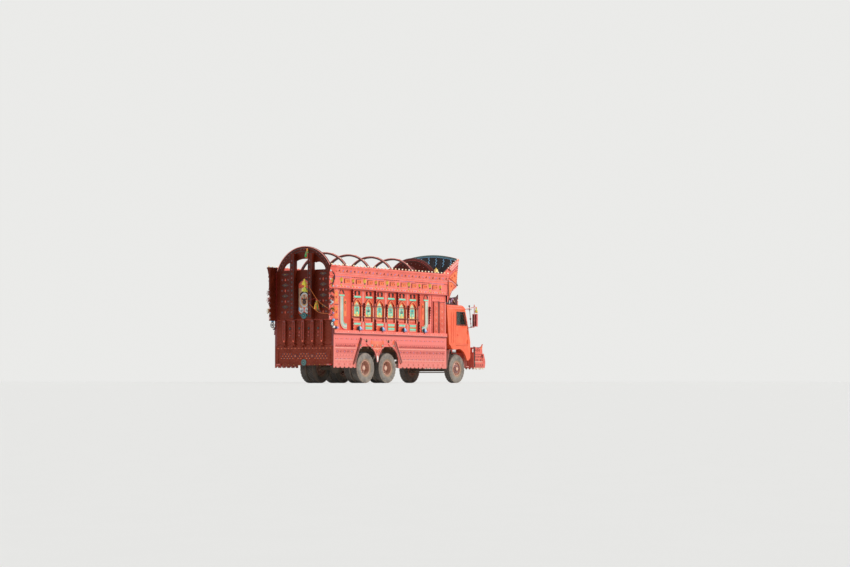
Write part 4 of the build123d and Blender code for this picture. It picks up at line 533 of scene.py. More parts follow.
def make_bulb(name, shade):
    """Frosted bulb, lit a little from within."""
    made, nodes, shader, place, _ = start_material(name)
    grain = nodes.noise(place, 60.0, 2.0)
    nodes.feed(shader, "Base Color", nodes.blend(nodes.times(grain, 0.4), shade, (1.0, 0.96, 0.86)))
    nodes.feed(shader, "Emission Color", nodes.blend(grain, shade, (1.0, 0.98, 0.9)))
    shader.inputs["Emission Strength"].default_value = 0.25
    nodes.feed(shader, "Roughness", nodes.plus(0.15, nodes.times(grain, 0.2)))
    return made


def make_lens(name, shade, ribs=260.0):
    """Moulded lamp lens with upright ribs."""
    made, nodes, shader, place, _ = start_material(name)
    y = nodes.split(place)[1]
    rib = nodes.sum("SINE", nodes.times(y, ribs))
    grime = nodes.noise(place, 14.0, 4.0)
    nodes.feed(shader, "Base Color", nodes.blend(nodes.ramp(grime, 0.5, 0.8), shade, tint(180, 160, 136)))
    nodes.feed(shader, "Roughness", nodes.plus(0.12, nodes.times(grime, 0.3)))
    shader.inputs["Coat Weight"].default_value = 0.6
    roughen(nodes, shader, rib, 0.5, 0.003)
    return made


def finish(name):
    """A finish by name, made when it is first asked for."""
    for label in (name, f"{name} paint"):
        if label in bpy.data.materials:
            return bpy.data.materials[label]
    if name in BULBS:
        return make_bulb(name, BULBS[name])
    if name in THREADS:
        return make_thread(name, *THREADS[name])
    if name == "tyre block":
        return make_enamel(name, tint(112, 106, 100), tint(140, 130, 118), 0.85, 0.5, 1.6, 0.0)
    if name == "mirror pane":
        return make_enamel(name, tint(50, 44, 42), tint(66, 58, 54), 0.1, 0.22)
    return make_enamel(f"{name} paint", *PAINTS[name], dust=0.22)


def flank(hand, out=WALL_FACE):
    """Places on a side: station forward, height, and distance out from a face at a half width."""
    return lambda u, v, w: (TAIL + u, hand * (out + w), v)


def across(x, lean=0.0, level=0.0, way=1):
    """Places on a face that looks ahead, or back if way is -1: leftwards, height, and distance out of it."""
    return lambda u, v, w: (TAIL + x + lean * (v - level) + way * w, u, v)


def upright(x, y, z, hand=1):
    """Places on top of a point: forwards, outwards and upwards."""
    return lambda u, v, w: (x + u, y + hand * v, z + w)


stern = across(0, way=-1)
prow = across(LENGTH + 0.65, CROWN_RAKE, 3.8)
bowl = across(LENGTH + 0.6, CROWN_RAKE, 3.82, -1)


def turned(place):
    """Positive where a place's three directions are right-handed."""
    start = Vector(place(0, 0, 0))
    u, v, w = (Vector(place(*step)) - start for step in ((1, 0, 0), (0, 1, 0), (0, 0, 1)))
    return u.cross(v).dot(w)


def ring_faces(row, sides, step=None):
    """Faces between one ring of corners and the next."""
    step = sides if step is None else step
    pairs = ((row * sides + i, row * sides + (i + 1) % sides) for i in range(sides))
    return [[a, b, b + step, a + step] for a, b in pairs]


class Carving:
    """Gathers the faces of one piece, each with its finish; its marks stand on one face unless told otherwise."""

    def __init__(self, name, face=None, sink=0.002, body="truck"):
        self.name = name
        self.face = face
        self.sink = sink
        self.body = body
        self.points = []
        self.faces = []
        self.kinds = []
        self.finishes = []

    def levels(self, rise):
        """A mark's lower and upper level; a single one rises from the depth that marks are let in."""
        return rise if isinstance(rise, tuple) else (-self.sink, rise)

    def add(self, points, faces, name, flip=False):
        if name not in self.finishes:
            self.finishes.append(name)
        first = len(self.points)
        self.points.extend(points)
        for face in faces:
            face = [first + i for i in face]
            self.faces.append(face[::-1] if flip else face)
            self.kinds.append(self.finishes.index(name))

    def prism(self, outline, rise, name, draw=0.7, back=False, on=None):
        """Raise a flat outline; draw pulls its upper edge in towards its middle."""
        place = on or self.face
        low, high = self.levels(rise)
        count = len(outline)
        mu = sum(p[0] for p in outline) / count
        mv = sum(p[1] for p in outline) / count
        area = sum(a[0] * b[1] - b[0] * a[1] for a, b in zip(outline, outline[1:] + outline[:1]))
        points = [place(u, v, low) for u, v in outline]
        points += [place(mu + (u - mu) * draw, mv + (v - mv) * draw, high) for u, v in outline]
        faces = ring_faces(0, count)
        faces.append(list(range(count, 2 * count)))
        if back:
            faces.append(list(range(count - 1, -1, -1)))
        self.add(points, faces, name, (area < 0) != (turned(place) < 0))

    def lathe(self, u, v, profile, name, sides=12, on=None):
        """Turn a profile of (radius, height) round the outward line at (u, v)."""
        place = on or self.face
        points = [place(a, b, height) for radius, height in profile for a, b in disc(u, v, radius, sides)]
        faces = [face for row in range(len(profile) - 1) for face in ring_faces(row, sides)]
        faces.append([(len(profile) - 1) * sides + i for i in range(sides)])
        self.add(points, faces, name, turned(place) < 0)

    def ball(self, u, v, w, radius, name, sides=12, rows=7, on=None):
        """A bead whose middle stands w out from the face."""
        turns = [-pi / 2 + pi * row / rows for row in range(rows + 1)]
        profile = [(max(radius * cos(turn), 0.0005), w + radius * sin(turn)) for turn in turns]
        self.lathe(u, v, profile, name, sides, on)

    def rosette(self, u, v, radius, petal, heart, petals=8, lift=0.01, low=None, on=None):
        """A flower of raised petals round a bead."""
        low = -self.sink if low is None else low
        for i in range(petals):
            self.prism(
                leaf(u, v, radius, radius * 3.4 / petals, 360 * i / petals, 3), (low, low + lift), petal, on=on
            )
        profile = [(radius * 0.28, low), (radius * 0.26, low + lift * 1.5), (radius * 0.12, low + lift * 2)]
        self.lathe(u, v, profile, heart, 10, on)

    def tube(self, path, radius, name, sides=8, loop=False):
        """A round bar along points in space."""
        count = len(path)
        lines = [Vector(p) for p in path]
        points = []
        faces = []
        lift = Vector((0.13, 0.29, 0.95)).normalized()
        for i, spot in enumerate(lines):
            ahead = lines[(i + 1) % count] if loop else lines[min(i + 1, count - 1)]
            behind = lines[i - 1] if loop or i else lines[0]
            run = (ahead - behind).normalized()
            lift = (lift - run * lift.dot(run)).normalized()
            aside = run.cross(lift)
            size = radius[i] if isinstance(radius, (list, tuple)) else radius
            for turn in (tau * k / sides for k in range(sides)):
                points.append(tuple(spot + lift * size * cos(turn) + aside * size * sin(turn)))
        for i in range(count if loop else count - 1):
            step = ((i + 1) % count) * sides
            for k in range(sides):
                after = (k + 1) % sides
                faces.append([i * sides + after, i * sides + k, step + k, step + after])
        if not loop:
            faces.append(list(range(sides)))
            faces.append([(count - 1) * sides + k for k in reversed(range(sides))])
        self.add(points, faces, name)

    def strip(self, path, width, rise, name, on=None):
        """A flat band that follows a path on a face."""
        place = on or self.face
        low, high = self.levels(rise)
        last = len(path) - 1
        points = []
        for i, (u, v) in enumerate(path):
            ahead, behind = path[min(i + 1, last)], path[max(i - 1, 0)]
            du, dv = ahead[0] - behind[0], ahead[1] - behind[1]
            size = max(sqrt(du * du + dv * dv), 1e-9)
            nu, nv = -dv / size * width / 2, du / size * width / 2
            left, right = (u + nu, v + nv), (u - nu, v - nv)
            points += [place(*left, low), place(*left, high), place(*right, high), place(*right, low)]
        faces = [[a, a + 1, a + 5, a + 4] for i in range(last) for a in range(i * 4, i * 4 + 3)]
        faces.append([3, 2, 1, 0])
        faces.append([4 * last + k for k in range(4)])
        self.add(points, faces, name, turned(place) > 0)

    def done(self):
        """Make the piece's mesh and let it ride on its body."""
        mesh = bpy.data.meshes.new(self.name)
        mesh.from_pydata(self.points, [], self.faces)
        for name in self.finishes:
            mesh.materials.append(finish(name))
        mesh.polygons.foreach_set("material_index", self.kinds)
        mesh.polygons.foreach_set("use_smooth", [True] * len(self.faces))
        mesh.set_sharp_from_angle(angle=radians(38))
        mesh.update()
        made = bpy.data.objects.new(self.name, mesh)
        bpy.context.scene.collection.objects.link(made)
        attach(made, self.body)
        return made


def arc(u, v, reach, rise, turns):
    """Points at these turns on an ellipse round (u, v)."""
    return [(u + reach * cos(t), v + rise * sin(t)) for t in turns]


def panel(u, v, width, height):
    """A rectangle's corners round its middle."""
    a, b = width / 2, height / 2
    return [(u - a, v - b), (u + a, v - b), (u + a, v + b), (u - a, v + b)]


def disc(u, v, radius, sides=16, flat=1.0):
    """A round outline."""
    return arc(u, v, radius, radius * flat, [tau * i / sides for i in range(sides)])


def leaf(u, v, length, width, angle, steps=4):
    """A pointed leaf that grows from (u, v) at an angle in degrees."""
    line = []
    for side in (1, -1):
        for i in range(steps) if side == 1 else range(steps, 0, -1):
            share = i / steps
            line.append((share * length, -side * width / 2 * sin(pi * share**0.85)))
    a = radians(angle)
    return [(u + x * cos(a) - y * sin(a), v + x * sin(a) + y * cos(a)) for x, y in line]


def diamond(u, v, width, height):
    """A diamond's corners."""
    return [(u + width / 2, v), (u, v + height / 2), (u - width / 2, v), (u, v - height / 2)]


def pointed_arch(u, low, spring, apex, half, steps=6):
    """A pointed arch's outline."""
    line = [(u - half, low), (u + half, low)]
    rise = apex - spring
    for i in range(steps + 1):
        share = i / steps
        line.append((u + half * (1 - share**1.7), spring + rise * share**0.9))
    for i in range(steps - 1, -1, -1):
        share = i / steps
        line.append((u - half * (1 - share**1.7), spring + rise * share**0.9))
    return line


def cornice_lights(hand, side):
    """Lights on sockets along the cornice's top."""
    sizes = bpy.context.scene.lorry_sizes
    lights = Carving(f"cornice_lights_{side}")
    count = int((LENGTH + 0.3) / sizes.bulb_pitch)
    for i in range(count + 1):
        u = -0.24 + i * sizes.bulb_pitch
        place = upright(TAIL + u, hand * (WALL_FACE + 0.12), CORNICE_TOP, hand)
        lights.lathe(0, 0, [(0.026, -0.004), (0.026, 0.006), (0.014, 0.014)], "maroon", 8, on=place)
        lights.ball(0, 0, 0.008 + sizes.bulb, sizes.bulb, "pearl bulb" if i % 3 else "amber bulb", 10, 6, on=place)
    lights.done()


def cornice_curls(hand, side):
    """Leaning leaves, dots and hooks on the cornice's raked face."""
    rake = lambda a, b, c: (
        TAIL + a, hand * (WALL_FACE + 0.078 + 0.052 * b + c * 0.9), CORNICE_FOOT + 0.07 + 0.22 * b - c * 0.25
    )
    curls = Carving(f"cornice_curls_{side}", rake)
    for i in range(int(LENGTH / 0.11)):
        u = 0.08 + i * 0.11
        shade = ("orange", "maroon", "orange", "lilac")[i % 4]
        curls.prism(leaf(u, 0.24 + 0.1 * (i % 2), 0.34, 0.055, 82 if i % 2 else 98, 3), (0.0, 0.012), shade, 0.8)
        curls.prism(disc(u + 0.055, 0.3, 0.014, 8), (0.0, 0.012), "cream" if i % 3 else "sky")
        if i % 2:
            curls.strip(arc(u, 0.76, 0.07, 0.14, (0.2, 0.9, 1.6, 2.3, 2.9)), 0.018, (0.0, 0.012), "orange")
    curls.strip([(0.0, 0.08), (LENGTH, 0.08)], 0.06, (0.0, 0.01), "rose")
    curls.done()


def frieze_blocks(hand, side):
    """Framed blocks, bunches of leaves and rows of dots along the frieze, and a painted shadow line under it."""
    frieze = Carving(f"frieze_blocks_{side}", flank(hand))
    for u in BLOCKS:
        frieze.prism(panel(u, FRIEZE_MIDDLE, 0.206, 0.066), (0.055, 0.066), "orange", 0.94)
        frieze.rosette(u, FRIEZE_MIDDLE, 0.034, "brick", "maroon", 6, 0.006, low=0.066)
        for start, end in (
            ((-0.14, 0.0525), (0.14, 0.0525)), ((-0.14, -0.0525), (0.14, -0.0525)),
            ((-0.1225, 0.035), (-0.1225, -0.035)), ((0.1225, -0.035), (0.1225, 0.035))
        ):
            frieze.strip(
                [(u + start[0], FRIEZE_MIDDLE + start[1]), (u + end[0], FRIEZE_MIDDLE + end[1])], 0.034,
                (0.07, 0.08), "orange"
            )
        # Thin frame lines: dark red on the top and left edges as painted shade, rose on the others
        for start, end in (
            ((-0.15, 0.08), (0.15, 0.08)), ((-0.15, -0.08), (0.15, -0.08)), ((-0.155, -0.08), (-0.155, 0.08)),
            ((0.155, 0.08), (0.155, -0.08))
        ):
            frieze.strip(
                [(u + start[0], FRIEZE_MIDDLE + start[1]), (u + end[0], FRIEZE_MIDDLE + end[1])], 0.014,
                (0.055, 0.068), "maroon" if end[1] > 0 or start[0] < -0.152 else "rose"
            )
    for i in range(len(BLOCKS) + 1):
        u = BLOCKS[0] + (i - 0.5) * (BLOCKS[1] - BLOCKS[0])
        size = 0.8 if i % 2 else 1.0
        for angle in (62, 90, 118):
            frieze.prism(
                leaf(u, 3.41, 0.19 * size, 0.085 * size, angle), (0.055, 0.1 if angle == 90 else 0.085), "olive",
                0.6
            )
        for angle in (40, 140):
            frieze.prism(leaf(u, 3.42, 0.11 * size, 0.04, angle), (0.055, 0.08), "lemon", 0.6)
        frieze.prism(disc(u, 3.41, 0.024, 10), (0.055, 0.105), "maroon" if i % 2 else "teal", 0.6)
        frieze.prism(leaf(u, 3.36, 0.09, 0.1 * size, -90, 3), (0.055, 0.08), "olive", 0.6)
        for edge in (-0.1, 0.1):
            frieze.strip([(u + edge, 3.33), (u + edge, 3.6)], 0.01, (0.055, 0.064), "rose")
    for i in range(int(LENGTH / 0.17)):
        u = 0.085 + i * 0.17
        frieze.prism(disc(u, 3.268, 0.032, 8, flat=0.7), (0.06, 0.072), "lilac" if i % 4 == 0 else "orange")
        frieze.prism(leaf(u + 0.085, 3.245, 0.055, 0.03, 90, 3), (0.06, 0.07), "cream")
    for i in range(int(LENGTH / 0.12)):
        u = 0.06 + i * 0.12
        frieze.strip(
            [(u - 0.04, 3.607), (u + 0.04, 3.607)], 0.024, (0.05, 0.074), "maroon" if i // 8 % 2 else "lilac"
        )
    frieze.strip([(0.0, 3.3), (LENGTH, 3.3)], 0.012, (0.055, 0.068), "rose")
    # A dark red line along the frieze's foot: painted shadow under its ledge
    frieze.strip([(0.0, 3.2), (LENGTH, 3.2)], 0.02, (0.072, 0.08), "maroon")
    frieze.done()


def niche_pictures(hand, side):
    """Pictures, frames and foot panels of the niches, painted shadow lines over their heads, and lines on the ribs.
    """
    niches = Carving(f"niche_pictures_{side}", flank(hand))
    for number, u in enumerate(NICHES):
        vase(niches, hand, u, number)
        for edge in SIDES:
            bend = [
                (u + edge * 0.232, 2.12), (u + edge * 0.232, 2.56), (u + edge * 0.218, 2.67),
                (u + edge * 0.167, 2.772), (u + edge * 0.09, 2.845), (u, 2.884)
            ]
            niches.strip(bend, 0.03, (0.014, 0.022), "orange")
            # A dark line over each half of the arch's head: painted shadow of the relief
            niches.strip(
                [(u + edge * 0.268, 2.6), (u + edge * 0.22, 2.74), (u + edge * 0.13, 2.85), (u, 2.915)], 0.016,
                0.014, "umber"
            )
            niches.strip([(u + edge * 0.27, 2.12), (u + edge * 0.27, 2.6)], 0.014, 0.012, "cream")
            niches.strip([(u + edge * 0.31, 1.82), (u + edge * 0.31, 3.16)], 0.03, 0.01, "rose")
        shadow_leaves(niches, u)
        niches.prism(panel(u, 2.955, 0.42, 0.06), 0.016, "turquoise", 0.97)
        niches.prism(panel(u, 2.035, 0.4, 0.055), 0.016, "turquoise", 0.97)
        niches.prism(panel(u, 1.995, 0.4, 0.014), 0.012, "cream", 0.97)
        if number % 2:
            niches.prism(panel(u, 1.9, 0.4, 0.06), 0.016, "turquoise", 0.97)
            niches.prism(panel(u, 1.952, 0.4, 0.02), 0.012, "olive", 0.97)
            niches.prism(panel(u, 1.845, 0.4, 0.018), 0.012, "cream", 0.97)
        else:
            for edge in SIDES:
                niches.prism(leaf(u + edge * 0.2, 1.87, 0.12, 0.06, 90 + edge * 50), 0.012, "orange")
    for u in RIBS:
        for edge in SIDES:
            niches.strip([(u + edge * 0.03, 1.81), (u + edge * 0.03, 3.17)], 0.012, (0.028, 0.038), "maroon")
    niches.done()


def tie_bars(hand, side):
    """Bars that tie the ribs, with a bead on each."""
    ties = Carving(f"tie_bars_{side}", flank(hand))
    for a, b in zip(RIBS, RIBS[1:]):
        for v in (2.27, 2.66):
            ties.tube([ties.face(a, v, 0.04), ties.face(b, v, 0.04)], 0.013, "maroon", 6)
            ties.ball((a + b) / 2, v, 0.05, 0.022, "white" if v < 2.5 else "maroon", 8, 5)
    ties.done()


def curled_bands(hand, side):
    """Bands of colour that curl at the foot, at both ends of the bays."""
    bands = Carving(f"curled_bands_{side}", flank(hand))
    for start, way in ((0.35, 1), (LENGTH - 1.2, -1)):
        for offset, shade, width in (
            (0.02, "rose", 0.03), (0.05, "turquoise", 0.022), (0.09, "cream", 0.034), (0.125, "silver", 0.05),
            (0.165, "turquoise", 0.022), (0.2, "peach", 0.034)
        ):
            radius = 0.33 - offset
            path = [(start + way * offset, 2.93), (start + way * offset, 2.15)]
            path += [
                (start + way * (0.33 - radius * cos(t)), 2.15 - radius * sin(t))
                for t in (0.2, 0.4, 0.6, 0.8, 1.0, 1.2, 1.4, pi / 2)
            ]
            path.append((start + way * 0.4, 2.15 - radius))
            bands.strip(path, width, (0.01, 0.03), shade)
        mid = start + way * 0.13
        bands.prism(panel(mid, 2.975, 0.3, 0.05), 0.02, "turquoise", 0.97)
        shadow_leaves(bands, mid)
        inner = start + way * 0.33
        bands.prism(panel(inner, 2.56, 0.14, 0.6), 0.012, "orange", 0.96)
        bands.rosette(inner, 2.74, 0.06, "maroon", "olive", 8, 0.012, low=0.01)
        bands.prism(leaf(inner, 2.4, 0.24, 0.09, 90), (0.01, 0.02), "brick")
        bands.strip([(start - way * 0.03, 1.82), (start - way * 0.03, 3.16)], 0.03, 0.012, "rose")
    bands.done()


def rail_globes(hand, side):
    """Globes and small balls along the belt rail."""
    radius = bpy.context.scene.lorry_sizes.globe
    globes = Carving(f"rail_globes_{side}")
    for u in [NICHES[0] + 0.04, NICHES[2] + 0.05, NICHES[4] + 0.04, RIBS[3] + 0.32]:
        rest = upright(TAIL + u, hand * (WALL_FACE + radius - 0.008), BELT_TOP, hand)
        globes.lathe(0, 0, [(0.026, -0.03), (0.026, 0.002), (0.014, 0.012)], "maroon", 12, on=rest)
        globe(globes, rest, 0.006 + radius, radius)
        beside = upright(TAIL + u + 0.135, hand * (WALL_FACE + 0.05), BELT_TOP, hand)
        globes.ball(0, 0, 0.05, 0.052, "lilac", 14, 8, on=beside)
    globes.done()


def shadow_leaves(carving, u):
    """Two leaves of painted shadow which lean apart, over the hollows at the head of a bay."""
    carving.prism(
        [
            (u - 0.02, 3.175), (u - 0.09, 3.14), (u - 0.14, 3.06), (u - 0.145, 3.0), (u - 0.1, 2.99),
            (u - 0.095, 3.07), (u - 0.06, 3.13)
        ],
        0.008, "soot", 0.97
    )
    carving.prism(
        [
            (u + 0.02, 3.17), (u + 0.075, 3.16), (u + 0.135, 3.1), (u + 0.175, 3.01), (u + 0.12, 3.03),
            (u + 0.06, 3.09)
        ],
        0.008, "soot", 0.97
    )


def vase(carving, hand, u, number):
    """A vase of flowers under a pale arched head, on a niche's sunk floor."""
    wall, carving.face = carving.face, flank(hand, WALL_FACE - 0.03)
    flowers, leaves = (("peach", "lagoon"), ("cream", "teal"), ("sky", "lagoon"))[number % 3]
    carving.prism(pointed_arch(u, 2.115, 2.56, 2.85, 0.205), (-0.001, 0.003), "brick", 0.99)
    for edge in SIDES:
        carving.strip(
            [(u + edge * 0.165, 2.27), (u + edge * 0.165, 2.6), (u + edge * 0.13, 2.7), (u, 2.83)], 0.02,
            (0.002, 0.016), "orange"
        )
    carving.prism(pointed_arch(u, 2.26, 2.58, 2.8, 0.145), (0.002, 0.006), "lemon", 0.99)
    carving.prism(panel(u, 2.49, 0.29, 0.26), (0.005, 0.011), "turquoise", 0.99)
    carving.prism(pointed_arch(u, 2.62, 2.63, 2.77, 0.115), (0.005, 0.01), "pearl", 0.98)
    carving.prism(panel(u, 2.2, 0.34, 0.08), (0.002, 0.012), "coral", 0.95)
    carving.strip([(u - 0.2, 2.255), (u + 0.2, 2.255)], 0.014, (0.002, 0.016), "maroon")
    for i in range(4):
        carving.rosette(u - 0.12 + 0.08 * i, 2.2, 0.026, "rose", "plum", 6, 0.006, low=0.01)
    half = ((0.03, 2.3), (0.065, 2.33), (0.075, 2.37), (0.04, 2.42), (0.045, 2.45))
    belly = [(u + a, v) for a, v in half] + [(u - a, v) for a, v in reversed(half)]
    carving.prism(belly, (0.008, 0.028), "pearl" if number % 2 else "lemon", 0.8)
    carving.strip(
        [(u - 0.06, 2.36), (u - 0.03, 2.38), (u, 2.35), (u + 0.03, 2.38), (u + 0.06, 2.36)], 0.014, (0.02, 0.03),
        "lagoon"
    )
    for angle in (28, 50, 72, 90, 108, 130, 152):
        carving.prism(leaf(u, 2.44, 0.14, 0.03, angle, 3), (0.01, 0.018), leaves, 0.8)
    for a, v, shade in (
        (-0.09, 2.5, "cream"), (0.09, 2.5, "cream"), (-0.045, 2.55, flowers), (0.05, 2.56, flowers),
        (0.0, 2.59, "sky"), (0.0, 2.51, "peach")
    ):
        carving.rosette(u + a, v, 0.03, shade, "lagoon", 6, 0.007, low=0.016)
    carving.rosette(u, 2.69, 0.024, "turquoise", "olive", 8, 0.006, low=0.008)
    carving.face = wall


def globe(carving, place, height, radius):
    """A globe in sectors of blue and white with a cap: its darker sectors towards the rear are painted shade, its
    paler ones towards the front painted light.
    """
    rows, sides = 8, 16
    # Sectors by side: navy and teal towards the rear as painted shade, white and sky towards the front as painted
    # light
    for sector, shade in enumerate(("sky", "white", "sky", "navy", "teal", "turquoise", "white", "sky")):
        points = []
        faces = []
        for row in range(rows + 1):
            rise = -pi / 2 + pi * row / rows
            for step in range(3):
                turn = tau * (sector * 2 + step) / sides
                reach = radius * cos(rise)
                points.append(place(reach * cos(turn), reach * sin(turn), height + radius * sin(rise)))
        for row in range(rows):
            for step in range(2):
                a = row * 3 + step
                faces.append([a, a + 1, a + 4, a + 3])
        carving.add(points, faces, shade, turned(place) < 0)
    carving.ball(0, 0, height + radius, radius * 0.18, "olive", 8, 5, on=place)


def belt_studs(hand, side):
    """Studs and lines along the belt rail."""
    belt = Carving(f"belt_studs_{side}", flank(hand))
    for i in range(int(LENGTH / 0.145)):
        u = 0.07 + i * 0.145
        belt.lathe(u, 1.745, [(0.018, 0.06), (0.016, 0.068), (0.006, 0.073)], "cream" if i % 5 == 0 else "rose", 8)
    belt.strip([(0, 1.7), (LENGTH, 1.7)], 0.014, (0.055, 0.068), "rose")
    belt.strip([(0, 1.668), (LENGTH, 1.668)], 0.032, (0.055, 0.07), "maroon")
    belt.done()


def clear_of_arches(u, v, room):
    """Whether a motif at (u, v) with this half width keeps clear of the wheel arches and struts."""
    for axle in REAR_AXLES:
        half = ARCH_HALF + room + 0.05
        if v > 0.76:
            half = max(0.0, half - (v - 0.76) * 0.95)
        if v < 1.4 and abs(u - axle) < half:
            return False
    back = 1.15 + (v - 0.66) * 0.483
    ahead = 4.0 - (v - 0.71) * 0.52
    return abs(u - back) > room + 0.06 and abs(u - ahead) > room + 0.06


def skirt_rows(hand, side):
    """Rows of dots, links, flowers and dashes over the skirt."""
    rows = Carving(f"skirt_rows_{side}", flank(hand, WALL_FACE + 0.024), sink=0.0)
    span = LENGTH - 0.15
    for i in range(int(span / 0.1)):
        u = 0.12 + i * 0.1
        if clear_of_arches(u, 1.5, 0.015):
            rows.prism(disc(u, 1.5, 0.018, 6), 0.008, ("maroon", "plum", "lilac")[i % 3])
    for i in range(int(span / 0.13)):
        u = 0.16 + i * 0.13
        if clear_of_arches(u, 1.27, 0.06):
            rows.strip(
                [(u - 0.05, 1.225), (u - 0.045, 1.28), (u, 1.318), (u + 0.045, 1.28), (u + 0.05, 1.225)], 0.016,
                0.01, "plum"
            )
            rows.prism(diamond(u, 1.255, 0.03, 0.05) if i % 2 else leaf(u, 1.23, 0.07, 0.03, 90), 0.01, "maroon")
    for i in range(int(span / 0.21)):
        u = 0.2 + i * 0.21
        if clear_of_arches(u, 1.075, 0.09):
            rows.strip(arc(u, 1.075, 0.055, 0.045, [tau * k / 10 for k in range(11)]), 0.014, 0.01, "plum")
            rows.prism(disc(u, 1.075, 0.022, 8), 0.01, "maroon" if i % 2 else "lilac")
            rows.strip([(u + 0.08, 1.03), (u + 0.105, 1.075), (u + 0.08, 1.12)], 0.012, 0.008, "plum")
    for i in range(int(span / 0.085)):
        u = 0.13 + i * 0.085
        if clear_of_arches(u, 0.83, 0.03):
            rows.prism(panel(u, 0.83, 0.045, 0.024), 0.008, ("maroon", "lilac", "plum")[i % 3], 0.8)
        if clear_of_arches(u, 0.945, 0.03) and i % 2:
            rows.prism(diamond(u, 0.945, 0.07, 0.05), 0.008, "plum")
        if clear_of_arches(u, 0.74, 0.03) and i % 2:
            rows.prism(disc(u, 0.74, 0.016, 6), 0.008, "plum")
    for v, shade, wide in (
        (1.345, "plum", 0.01), (1.195, "cream", 0.01), (1.145, "maroon", 0.008), (1.005, "plum", 0.008),
        (0.89, "plum", 0.01), (0.785, "cream", 0.008)
    ):
        for i in range(int(span / 0.06)):
            u = 0.1 + i * 0.06
            if clear_of_arches(u, v, 0.03):
                rows.prism(panel(u, v, 0.05, wide), 0.006, shade, 0.9)
    for i in range(int(span / 0.16)):
        u = 0.15 + i * 0.16
        if clear_of_arches(u, 0.62, 0.06):
            rows.prism(leaf(u, 0.69, 0.1, 0.05, -90, 3), 0.01, "plum" if i % 2 else "rose")
    rows.done()


def pilaster_work():
    """Flowers, diamonds and edge lines down the rear pilasters."""
    pilasters = Carving("pilaster_work", across(-0.2, way=-1))
    for hand in SIDES:
        u = hand * 0.38
        for i in range(14):
            v = 2.27 + i * 0.145
            if i % 2:
                pilasters.rosette(u, v, 0.045, "maroon", "teal")
            else:
                pilasters.prism(diamond(u, v, 0.09, 0.13), 0.01, "soot")
        for edge in (-0.068, 0.068):
            pilasters.strip([(u + edge, 2.2), (u + edge, 4.38)], 0.014, 0.01, "umber")
    pilasters.done()


def rear_fields():
    """Rows of diamonds and flowers beside the pilasters."""
    fields = Carving("rear_fields", stern, sink=0.001)
    for hand in SIDES:
        mid = hand * 0.81
        for i in range(9):
            v = 2.42 + i * 0.185
            if v > 3.75:
                break
            if i % 2:
                fields.prism(diamond(mid, v, 0.34, 0.15), 0.01, "umber", 0.85)
                fields.rosette(mid, v, 0.05, "umber", "olive", 8, 0.008, low=0.008)
            else:
                fields.rosette(mid - 0.13, v, 0.055, "maroon", "teal")
                fields.rosette(mid + 0.13, v, 0.055, "maroon", "teal")
                fields.prism(leaf(mid, v - 0.06, 0.12, 0.05, 90), 0.008, "brick")
    fields.done()


def teal_discs():
    """Discs with a flower, above the tailgate and below it."""
    discs = Carving("teal_discs", stern)
    for v, w in ((2.29, 0.02), (0.7, 0.02)):
        discs.lathe(
            0, v, [(0.11, -0.002), (0.11, w), (0.1, w + 0.008), (0.085, w + 0.004), (0.02, w + 0.012)], "teal", 24
        )
        discs.rosette(0, v, 0.06, "navy", "turquoise", 8, 0.012, low=w + 0.004)
    discs.done()


def tailgate_work():
    """Studs, edge lines and flowers on the tailgate."""
    gate = Carving("tailgate_work", across(-0.08, way=-1), body="tailgate_body")
    for i in range(5):
        u = 0.4 * (i - 2)
        gate.prism(panel(u, 2.1, 0.1, 0.05), 0.008, "maroon", 0.9)
        for v in (2.0, 1.85, 1.7, 1.55):
            gate.lathe(u, v, [(0.02, -0.002), (0.018, 0.008), (0.008, 0.012)], "umber", 10)
        gate.strip([(u - 0.046, 1.46), (u - 0.046, 2.12)], 0.008, 0.006, "plum")
        gate.strip([(u + 0.046, 1.46), (u + 0.046, 2.12)], 0.008, 0.006, "plum")
        gate.prism(
            [(u - 0.045, 1.45), (u - 0.022, 1.395), (u + 0.022, 1.395), (u + 0.045, 1.45)], 0.006, "brick", 0.95
        )
    for i in range(4):
        u = 0.4 * (i - 1.5)
        gate.rosette(u, 1.62, 0.06, "maroon", "orange", 8, 0.012, low=-0.001, on=stern)
        gate.rosette(u, 1.86, 0.06, "umber", "teal", 8, 0.012, low=-0.001, on=stern)
        gate.prism(leaf(u, 1.68, 0.11, 0.04, 90), (-0.001, 0.01), "plum", on=stern)
    gate.done()


def rear_skirt_work():
    """Dashes, dots and triangles of studs on the rear skirt."""
    foot = Carving("rear_skirt_work", stern, sink=0.001)
    for i in range(-15, 16):
        u = i * 0.074
        foot.prism(panel(u, 1.18, 0.045, 0.02), 0.008, "orange" if i % 2 else "maroon", 0.9)
        foot.lathe(u, 0.625, [(0.012, -0.001), (0.01, 0.007)], "olive" if i % 3 == 0 else "maroon", 6)
    for u, shade in ((-0.72, "navy"), (0.0, "navy"), (0.72, "navy")):
        for row in range(3):
            for col in range(-4, 5):
                if abs(col) + row < 6 and not (u == 0.0 and row == 0 and abs(col) < 2):
                    foot.lathe(
                        u + col * 0.062, 0.84 + row * 0.075, [(0.02, -0.001), (0.017, 0.008), (0.006, 0.012)],
                        shade if (row + col) % 2 else "orange", 8
                    )
    for u in (-0.36, 0.36):
        foot.rosette(u, 0.92, 0.09, "maroon", "orange", 12, 0.014)
    foot.done()


